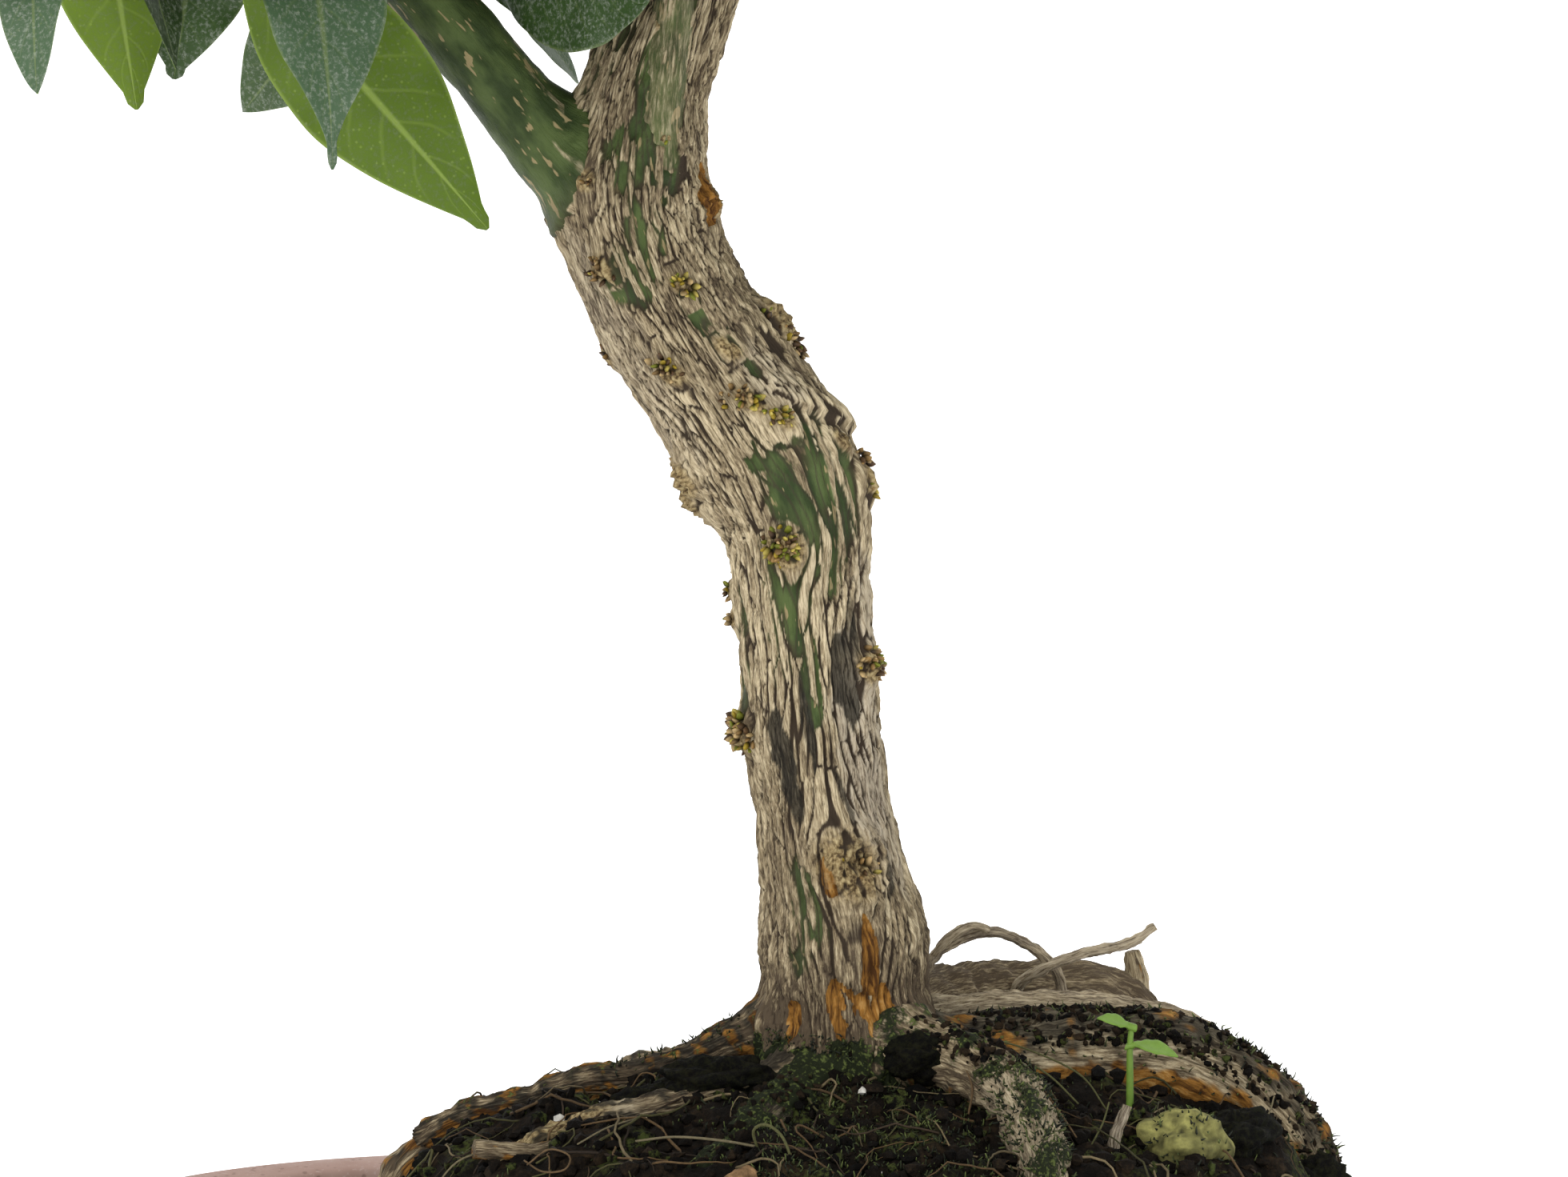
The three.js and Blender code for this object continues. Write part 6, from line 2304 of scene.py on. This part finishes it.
    def build_rootlets(self, palette: Palette) -> Piece:
        """Fine dead roots: random walks of even steps that lie on the soil and arch a little off it.

        Args:
            palette: Materials by coat.

        Returns:
            The rootlets.
        """
        rng = np.random.default_rng(self.rootlet_seed)
        steps, sides = 15, 5
        x, y = self.scattered(rng, self.rootlets, 0.16, 1.1)
        count = len(x)
        heading = rng.uniform(0, 2 * math.pi, count)
        pace = rng.uniform(0.5, 1.7, count)
        bend = np.cumsum(rng.normal(0, 0.34, (count, steps)), axis=1)
        turn = heading[:, None] + bend
        px = x[:, None] + np.cumsum(np.cos(turn) * pace[:, None], axis=1)
        py = y[:, None] + np.cumsum(np.sin(turn) * pace[:, None], axis=1)
        ground = self.surface(px.ravel(), py.ravel()).reshape(px.shape)
        padded = np.pad(ground, ((0, 0), (2, 2)), "edge")
        smooth = sum(padded[:, k:k + steps] for k in range(5)) / 5
        arch = rng.uniform(0.2, 2.2, (count, 1)) * np.sin(np.linspace(0, math.pi, steps))
        pz = np.maximum(smooth, ground - 0.2) + arch + 0.1
        girth = rng.uniform(0.09, 0.25, (count, 1)) * np.linspace(1, 0.45, steps)
        points, faces = fibre_points(np.stack([px, py, pz], axis=-1), girth, sides)
        kinds = np.array([(0.1, 0.06, 0.025), (0.035, 0.022, 0.012), (0.07, 0.065, 0.022), (0.15, 0.115, 0.06)])
        tint = kinds[rng.choice(4, count, p=[0.35, 0.3, 0.22, 0.13])] * rng.uniform(0.6, 1.25, (count, 1))
        values = {"tint": np.broadcast_to(tint[:, None], points.shape)}
        skins = [copies(points, faces, values), self.shown_rootlets()]
        return make_object("rootlets", merged(skins).outward(), [palette[Coat.FIBRE]], "bark")

    def shown_rootlets(self) -> Skin:
        """The rootlets that can be told apart at the front, each by its own path and tint.

        Returns:
            Their skin.
        """
        olive, tan, pale = (0.08, 0.08, 0.028), (0.12, 0.075, 0.035), (0.15, 0.125, 0.07)
        paths = (
            (((-20, -36, 83.5, 0.5), (-20.5, -37, 86.2, 0.55), (-19, -38, 87.2, 0.6), (-17, -38.5, 86, 0.55),
              (-15.6, -39, 82.8, 0.5), (-15, -39.4, 79.5, 0.4)), olive),
            (((-36, -33, 83.8, 0.4), (-31, -34, 84.6, 0.45), (-25, -35, 84.4, 0.5),
              (-20, -36, 83.8, 0.5)), pale),
            (((-50, -36, 81.4, 0.3), (-47, -36.6, 83.6, 0.35), (-44.4, -36.4, 82.6, 0.35),
              (-45, -35.8, 80.8, 0.35), (-48, -35.6, 80.4, 0.35), (-50.4, -36, 82, 0.3)), tan),
            (((-57, -27.4, 81, 0.35), (-60, -28.6, 79.8, 0.35), (-62.6, -30, 76.6, 0.3),
              (-63.4, -31, 73.6, 0.25)), pale),
            (((4, -12, 91.5, 0.3), (6.8, -15, 91.4, 0.4), (8.8, -19, 88, 0.45), (8.2, -22, 84.8, 0.4)), tan),
            (((8, -10, 92.6, 0.35), (13, -14, 91.8, 0.4), (19, -18, 89.4, 0.4), (23, -21, 86, 0.35)), olive),
            (((10, -9, 92.8, 0.3), (17, -12, 91.4, 0.35), (24, -15, 88.4, 0.35), (27, -18, 84.6, 0.3)), olive),
            (((6, -9, 93, 0.35), (10, -13, 92.4, 0.4), (16, -19, 90.4, 0.4), (20, -25, 86, 0.4),
              (22, -30, 83.6, 0.3)), tan),
            (((-17, -30, 86, 0.4), (-16, -31, 84, 0.5), (-15.4, -33, 81.6, 0.5), (-15.6, -35, 78, 0.4)), tan),
            (((-36, -25, 85, 0.3), (-40, -29, 84.6, 0.35), (-43.6, -33, 83.4, 0.3)), pale),
            (((24, -30, 82.6, 0.3), (25.6, -29, 85.4, 0.35), (26.4, -28.6, 88, 0.3)), olive),
            (((46, -14, 80, 0.3), (49.6, -13, 82.6, 0.35), (50.6, -12, 85, 0.3)), pale),
        )
        skins = []
        for rows, tint in paths:
            route = Route(rows)
            route.radii = route.radii * 0.38
            places = limb_places(route, route.spaced(26), 8)
            colour = np.broadcast_to(np.array(tint), places.surface.shape)
            skins.append(ring_skin(places.surface, {"tint": colour}))
        return merged(skins)


def fibre_points(centres: Array, girth: Array, sides: int) -> tuple[Array, Array]:
    """Points and faces of many thin tubes, closed at each end by the end of the middle line.

    The point at turn a lies girth (across cos a + side sin a) off the middle line.

    Args:
        centres: (K, N, 3) middle lines.
        girth: (K, N) radii.
        sides: Points round each tube.

    Returns:
        (K, N * sides + 2, 3) points and (F, 3) faces of one tube.
    """
    along = unit(np.gradient(centres, axis=1))
    across = unit(np.cross(along, np.array([0.31, 0.22, 0.93])))
    side = np.cross(along, across)
    turn = even_turns(sides)
    rings = centres[:, :, None] + girth[..., None, None] * (
        across[:, :, None] * np.cos(turn)[:, None] + side[:, :, None] * np.sin(turn)[:, None]
    )
    points = np.concatenate([rings.reshape(len(centres), -1, 3), centres[:, [0, -1]]], axis=1)
    return points, tube_faces(centres.shape[1], sides)


@dataclass
class Moss:
    """Moss on the trunk's foot, the front root, the stone and patches of soil."""

    foot: int = 2400
    root: int = 600
    stone: int = 300
    soil: int = 2200
    heap: int = 2000
    sides: int = 3
    seed: int = 23

    def spots(self, soil: Soil, rng: Generator) -> tuple[Array, Array]:
        """Places and directions of all the tufts.

        Args:
            soil: The soil that they grow on.
            rng: Where the draws come from.

        Returns:
            (N, 3) places and (N, 3) directions.
        """
        turn = rng.uniform(-175, 175, self.foot)
        height = 84.5 + 8.5 * rng.random(self.foot) ** 1.6
        pairs = [trunk_frame(h, t) for h, t in zip(height, turn)]
        places = [np.array([p for p, _, _ in pairs]) + np.array([o for _, o, _ in pairs]) * 0.6]
        outs = [np.array([o for _, o, _ in pairs]) + (0, 0, 0.25)]
        for name, low, high, count in (("front_mossy", 0.3, 0.95, self.root), ("left_upper", 0.1, 0.5, 90),
                                       ("right_main", 0.1, 0.7, 500)):
            middle, out, radius = round_roots(name, (low, high), count, rng)
            out = np.where(out[:, 2:] < -0.2, -out, out)
            places.append(middle + out * (radius + 0.2))
            outs.append(out)
        x, y = soil.scattered(rng, self.soil * 3, 0.12, 1.1)
        flat = np.stack([x, y, np.zeros_like(x)], axis=-1)
        keep = np.flatnonzero(noise(flat / 9, 24) > 0.05)[: self.soil]
        places.append(np.stack([x[keep], y[keep], soil.surface(x[keep], y[keep])], axis=-1))
        outs.append(np.tile((0.0, 0.0, 1.0), (len(keep), 1)))
        x, y = rng.uniform(-20, 11, self.heap), rng.uniform(-48, -10, self.heap)
        places.append(np.stack([x, y, soil.surface(x, y)], axis=-1))
        outs.append(np.tile((0.0, -0.5, 0.8), (self.heap, 1)))
        ball = unit(rng.normal(size=(self.stone, 3)) + (0, -0.3, -0.5))
        middle, half, _ = Stones.places["mossy_stone"]
        places.append(np.array(middle) + ball * np.array(half))
        outs.append(ball)
        return np.concatenate(places), unit(np.concatenate(outs))

    def build(self, palette: Palette, soil: Soil) -> Piece:
        """Makes the tufts: bent three-sided needles, with painted shade at the foot and a painted highlight at
        the tip.

        A needle's middle line is lean t + 0.6 (sag - lean) t^2, times its length.

        Args:
            palette: Materials by coat.
            soil: The soil that they grow on.

        Returns:
            The tufts.
        """
        rng = np.random.default_rng(self.seed)
        places, outs = self.spots(soil, rng)
        count, steps = len(places), 4
        lean = unit(outs + 0.6 * rng.normal(size=outs.shape))
        sag = unit(lean + 0.5 * rng.normal(size=outs.shape) + (0, 0, 0.25))
        length = rng.uniform(0.4, 1.3, (count, 1, 1))
        t = np.linspace(0, 1, steps)[:, None]
        centres = places[:, None] + length * (lean[:, None] * t + (sag - lean)[:, None] * t ** 2 * 0.6)
        girth = rng.uniform(0.1, 0.24, (count, 1)) * np.linspace(1, 0.3, steps)
        points, faces = fibre_points(centres, girth, self.sides)
        fresh = rng.random((count, 1)) ** 2.2
        fresh = np.clip(fresh + 0.35 * noise(places / 4, 51)[:, None], 0, 1)
        tint = (1 - fresh) * np.array((0.012, 0.017, 0.008)) + fresh * np.array((0.13, 0.165, 0.045))
        # Painted shade at the foot of each needle and a painted highlight at its tip, over the tint.
        shade = np.concatenate([np.repeat(np.linspace(0.35, 1.3, steps), self.sides), [0.3, 1.4]])
        skin = copies(points, faces, {"tint": tint[:, None] * shade[:, None]}).outward()
        return make_object("moss", skin, [palette[Coat.MOSS]], "sprout")


@dataclass
class Stones:
    """Mossy stone, brown stone and black peat lumps on the mound."""

    places = {
        "mossy_stone": ((36.8, -24.0, 80.6), (6.2, 5.4, 5.2), 0.5),
        "brown_stone": ((-22.0, -41.0, 79.4), (3.6, 3.0, 2.8), 1.2),
    }
    tints = {"mossy_stone": (0.2, 0.19, 0.06), "brown_stone": (0.24, 0.14, 0.065)}
    # Black lumps of peat: middle, half sizes, turn
    lumps = (
        ((-25, -11.5, 87.2), (8.4, 4.4, 3.0), 0.12), ((-35, -13, 84), (5, 4, 2.6), 0.5),
        ((57.5, -6, 70.5), (5.2, 4.4, 4.4), 0.3), ((45, -16, 80.5), (6, 4.4, 3.6), 0.9),
        ((2, -12, 90.4), (4.6, 3.4, 3.2), 0.2), ((-62, -8, 74), (5.4, 4.2, 3.4), 0.7),
    )

    def pebble(self, centre: Triple, radii: Triple, turn: float, rough: float, seed: int) -> Skin:
        """Ball of 28 x 40 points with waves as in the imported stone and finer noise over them.

        Args:
            centre: Its middle.
            radii: Half its size along each axis.
            turn: Turn about the vertical, in radians.
            rough: Height of the finer noise.
            seed: Picks another pattern.

        Returns:
            The skin.
        """
        lat = np.linspace(0.06, math.pi - 0.06, 28)[:, None]
        lon = np.linspace(0, 2 * math.pi, 40, endpoint=False)[None]
        ball = np.stack([np.sin(lat) * np.cos(lon), np.sin(lat) * np.sin(lon), np.cos(lat) + 0 * lon], axis=-1)
        flat = ball.reshape(-1, 3)
        waves = 1 + 0.1 * np.sin(3 * flat[:, 0] + 5 * flat[:, 1] + 2)
        waves += 0.07 * np.sin(6 * flat[:, 2] + 2 * flat[:, 0])
        waves += rough * layered(flat * 2.6, 4, seed)
        body = ball * waves.reshape(*ball.shape[:2], 1) * np.array(radii)
        c, s = math.cos(turn), math.sin(turn)
        body = body @ np.array([[c, s, 0], [-s, c, 0], [0, 0, 1.0]])
        return ring_skin(body + np.array(centre))

    def build(self, palette: Palette) -> list[Piece]:
        """Makes both stones and the peat lumps.

        Args:
            palette: Materials by coat.

        Returns:
            The stones and the lumps.
        """
        made = []
        for seed, (name, (centre, radii, turn)) in enumerate(self.places.items(), 70):
            skin = self.pebble(centre, radii, turn, 0.11, seed)
            rise = (skin.points[:, 2] - centre[2]) / radii[2]
            # Painted shade: each stone darkens towards its bottom, with random mottling over it.
            shade = smoothstep(-0.9, 0.7, rise) * (1 + 0.9 * layered(skin.points / 1.3, 4, seed)) + 0.05
            skin.values["tint"] = np.array(self.tints[name]) * shade[:, None]
            made.append(make_object(f"{name}_body", skin, [palette[Coat.STONE]], "stone", [name]))
        skins = []
        for seed, (centre, radii, turn) in enumerate(self.lumps, 90):
            skin = self.pebble(centre, radii, turn, 0.22, seed)
            skin.values["earth"] = np.tile((0.05, 0.1, 0.0), (len(skin.points), 1))
            skins.append(skin)
        made.append(make_object("peat_lumps", merged(skins), [palette[Coat.EARTH]], "peat"))
        return made


@dataclass
class Seedling:
    """Weed with two seed leaves, and the dry stick beside it."""

    stem = ((30.7, -14, 80, 0.55), (30.6, -14, 88, 0.5), (30.6, -14, 93, 0.42), (30.8, -14, 95.4, 0.36))
    leaves = (
        ((30.8, -14, 95), (30.2, -14.1, 95.2), (26, -15, 96.4), 2.7),
        ((30.6, -14, 92.4), (31.4, -14.2, 92.6), (36.9, -16, 91.3), 3.0),
    )
    stick = ((26.8, -28.4, 68, 0.8), (27.4, -28, 77, 0.8), (27.3, -27, 82.4, 0.8), (29, -26.2, 87, 0.7))

    def build(self, palette: Palette) -> list[Piece]:
        """Makes the seedling and the stick.

        Args:
            palette: Materials by coat.

        Returns:
            Both pieces.
        """
        route = Route(self.stem)
        places = limb_places(route, route.spaced(24), 12)
        skins = [ring_skin(places.surface)]
        face = np.array((0.1, -0.5, 0.9))
        for root, base, tip, width in self.leaves:
            leaf = Leaf(np.array(root), np.array(base), np.array(tip), face, 0.4, 0.25, width, seed=4)
            skins.append(leaf.skin(16, 16))
            skins[-1].coats = None
        whole = merged(skins)
        whole.values = {"tint": np.tile((0.15, 0.26, 0.04), (len(whole.points), 1))}
        sprout = make_object("seedling_body", whole, [palette[Coat.SPROUT]], "sprout", ["seedling"], 70)
        look = LimbLook(pale=0.8, plate=0.9, moss=0.15, lumps=0.2, depth=0.12, fine=3.0)
        twig = dressed_limb(self.stick, look, 24, 140)
        return [sprout, make_object("dry_stick_body", twig, [palette[Coat.BARK]], "bark", ["dry_stick"])]


@dataclass
class Pot:
    """Unglazed pot with a rolled lip, four feet and two drainage holes."""

    around: int = 260
    # Outline of the wall as inset from the lip's outer edge and height, from the underside out and in again
    outline = (
        (60, 6.4), (24, 6.2), (20, 6.4), (16.5, 8), (14.6, 13), (12.6, 18.5), (11, 24), (8.8, 32.5), (7, 40.5),
        (5.4, 41.4), (3.2, 41.9), (1.2, 42.6), (0.3, 43.6), (0, 45), (0, 48.8), (0, 52.6), (0.4, 53.7),
        (1.6, 54.5), (4.6, 54.5), (7.8, 54.5), (8.6, 54.0), (9, 53), (10.6, 47), (12.5, 40), (17, 22),
        (22, 13.4), (24, 12.5), (60, 12.5),
    )

    def build(self, palette: Palette) -> list[Piece]:
        """Makes the pot, its outline carried round a superellipse, and dresses the nets over its holes.

        Args:
            palette: Materials by coat.

        Returns:
            The pieces.
        """
        rings = []
        for k, (inset, height) in enumerate(self.outline):
            ring = pot_ring(self.around, inset)
            turn = np.arctan2(ring[:, 1], ring[:, 0] - POT_PLACE[0])
            place = np.column_stack([ring, np.full(self.around, float(height))])
            push = 0.18 * noise(place / 14, 30) * (3 <= k <= 14)
            rings.append(place + np.column_stack([np.cos(turn) * push, np.sin(turn) * push, 0 * push]))
        clay = ([palette[Coat.CLAY]], "terracotta", ["pot"], 40)
        body = make_object("pot_body", ring_skin(np.array(rings)), *clay)
        self.drill(body)
        corners = [(way * FOOT_PLACE[0], row * FOOT_PLACE[1]) for way in (-1, 1) for row in (-1, 1)]
        made = [body, make_object("pot_feet", merged([self.foot(*corner) for corner in corners]), *clay)]
        for side in ("left", "right"):
            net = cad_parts[f"drainage_screen_{side}"]
            net.data.materials.clear()
            net.data.materials.append(palette[Coat.NET])
            layer = net.data.attributes.new("tint", "FLOAT_VECTOR", "POINT")
            layer.data.foreach_set("vector", np.tile((0.03, 0.035, 0.03), len(net.data.vertices)))
        return made

    def foot(self, x: float, y: float) -> Skin:
        """One low foot with round corners and an eased lower edge: superellipses stacked by height.

        Args:
            x: Its middle along the pot.
            y: Its middle across the pot.

        Returns:
            The skin.
        """
        rings, sides = [], 48
        for inset, height in ((1.0, 0.0), (0.3, 0.3), (0.0, 1.0), (0.0, 4.0), (0.0, FOOT_HEIGHT + 1.2)):
            half = [size / 2 - inset for size in FOOT_SIZE]
            ring = even_oval(sides, half, FOOT_CORNER_POWER)
            rings.append(np.column_stack([ring + (x, y) + POT_PLACE, np.full(sides, height)]))
        return ring_skin(np.array(rings))

    def drill(self, body: Piece) -> None:
        """Cuts the drainage holes through the floor, and leaves no modifier behind.

        Args:
            body: The pot's piece.
        """
        sides, ends = 40, (2.0, 18.0)
        turn = np.linspace(0, 2 * math.pi, sides, endpoint=False)
        circle = np.stack([np.cos(turn), np.sin(turn)], axis=-1) * HOLE_RADIUS
        skins = []
        for way in (-1, 1):
            ring = circle + (way * HOLE_X, 0) + POT_PLACE
            skins.append(ring_skin(np.array([np.column_stack([ring, np.full(sides, z)]) for z in ends])))
        drill = make_object("drill", merged(skins), [], "terracotta")
        cut = body.modifiers.new("holes", "BOOLEAN")
        cut.object, cut.operation, cut.solver = drill, "DIFFERENCE", "EXACT"
        bpy.context.view_layer.update()
        done = bpy.data.meshes.new_from_object(body.evaluated_get(bpy.context.evaluated_depsgraph_get()))
        body.modifiers.clear()
        body.data = done
        done.name = "pot_body"
        bpy.data.objects.remove(drill)


@dataclass
class Studio:
    """Pale floor that curves up behind the object, soft lights and the camera."""

    width: float = 9.0
    front: float = -2.6
    back: float = 2.4
    bend: float = 1.4
    height: float = 4.2

    def build(self) -> None:
        """Makes the backdrop, the lights and the camera."""
        self.build_backdrop()
        self.light("key", (-0.95, -1.5, 1.75), 1.1, 27.0, (1.0, 0.985, 0.96))
        self.light("fill", (1.7, -1.2, 0.8), 1.6, 8.0, (0.95, 0.975, 1.0))
        self.light("top", (0.1, 0.5, 2.1), 1.8, 20.0, (1.0, 1.0, 1.0))
        self.light("low", (-0.2, -1.6, 0.25), 1.2, 5.0, (1.0, 0.99, 0.97))
        world = bpy.data.worlds.new("studio")
        world.use_nodes = True
        backdrop = world.node_tree.nodes["Background"]
        backdrop.inputs[0].default_value = (1.0, 1.0, 1.0, 1.0)
        backdrop.inputs[1].default_value = 0.6
        bpy.context.scene.world = world
        bpy.context.scene.view_settings.view_transform = "Standard"
        self.build_camera()

    def build_backdrop(self) -> None:
        """Floor, quarter bend and wall as one sheet, white."""
        turn = np.linspace(0, math.pi / 2, 24)
        bend_y = self.back + self.bend * np.sin(turn)
        bend_z = self.bend * (1 - np.cos(turn))
        y = np.concatenate([[self.front], bend_y, [bend_y[-1]]])
        z = np.concatenate([[0.0], bend_z, [self.height]])
        x = np.array([-self.width / 2, self.width / 2])
        points = np.stack([np.tile(x, len(y)), np.repeat(y, 2), np.repeat(z, 2)], axis=-1)
        faces = [(2 * i, 2 * i + 1, 2 * i + 3, 2 * i + 2) for i in range(len(y) - 1)]
        mesh = bpy.data.meshes.new("backdrop")
        mesh.from_pydata(points.tolist(), [], faces)
        mesh.polygons.foreach_set("use_smooth", np.ones(len(faces), bool))
        w = Wiring("backdrop")
        w.put(w.shader.inputs["Base Color"], (0.93, 0.93, 0.93))
        w.put(w.shader.inputs["Roughness"], 0.9)
        w.shader.inputs["Emission Color"].default_value = (1.0, 1.0, 1.0, 1.0)
        w.shader.inputs["Emission Strength"].default_value = 0.55
        mesh.materials.append(w.material)
        sheet = bpy.data.objects.new("backdrop", mesh)
        bpy.context.scene.collection.objects.link(sheet)

    def light(self, name: str, place: Triple, size: float, power: float, colour: Colour) -> None:
        """A square area light that looks at the trunk.

        Args:
            name: Its name.
            place: Where it hangs, in metres.
            size: Its side, in metres.
            power: Watts.
            colour: Its colour.
        """
        data = bpy.data.lights.new(name, "AREA")
        data.size, data.energy, data.color = size, power, colour
        lamp = bpy.data.objects.new(name, data)
        lamp.location = place
        aim = np.array(CAMERA_TARGET) * MM - np.array(place)
        tilt, turn = math.acos(-aim[2] / np.linalg.norm(aim)), math.atan2(aim[1], aim[0])
        lamp.rotation_euler = (tilt, 0, turn - math.pi / 2)
        bpy.context.scene.collection.objects.link(lamp)

    def build_camera(self) -> None:
        """The camera looks along +Y and slightly down at the trunk."""
        data = bpy.data.cameras.new("camera")
        data.lens, data.sensor_width = CAMERA_LENS, 36.0
        data.clip_start, data.clip_end = 0.01, 50.0
        down = math.radians(CAMERA_DOWN)
        camera = bpy.data.objects.new("camera", data)
        back = CAMERA_DISTANCE * np.array((0, -math.cos(down), math.sin(down)))
        camera.location = (np.array(CAMERA_TARGET) + back) * MM
        camera.rotation_euler = (math.pi / 2 - down, 0, 0)
        bpy.context.scene.collection.objects.link(camera)
        bpy.context.scene.camera = camera


def main() -> None:
    """Builds everything in order and reports each piece."""
    logging.basicConfig(level=logging.INFO, format="%(message)s")
    Studio().build()
    palette = Palette.made()
    soil = Soil()
    Trunk().build(palette)
    SurfaceRoots().build(palette)
    Crown().build(palette)
    BudClusters().build(palette)
    soil.build(palette)
    Moss().build(palette, soil)
    Stones().build(palette)
    Seedling().build(palette)
    Pot().build(palette)


if __name__ == "__main__":
    main()
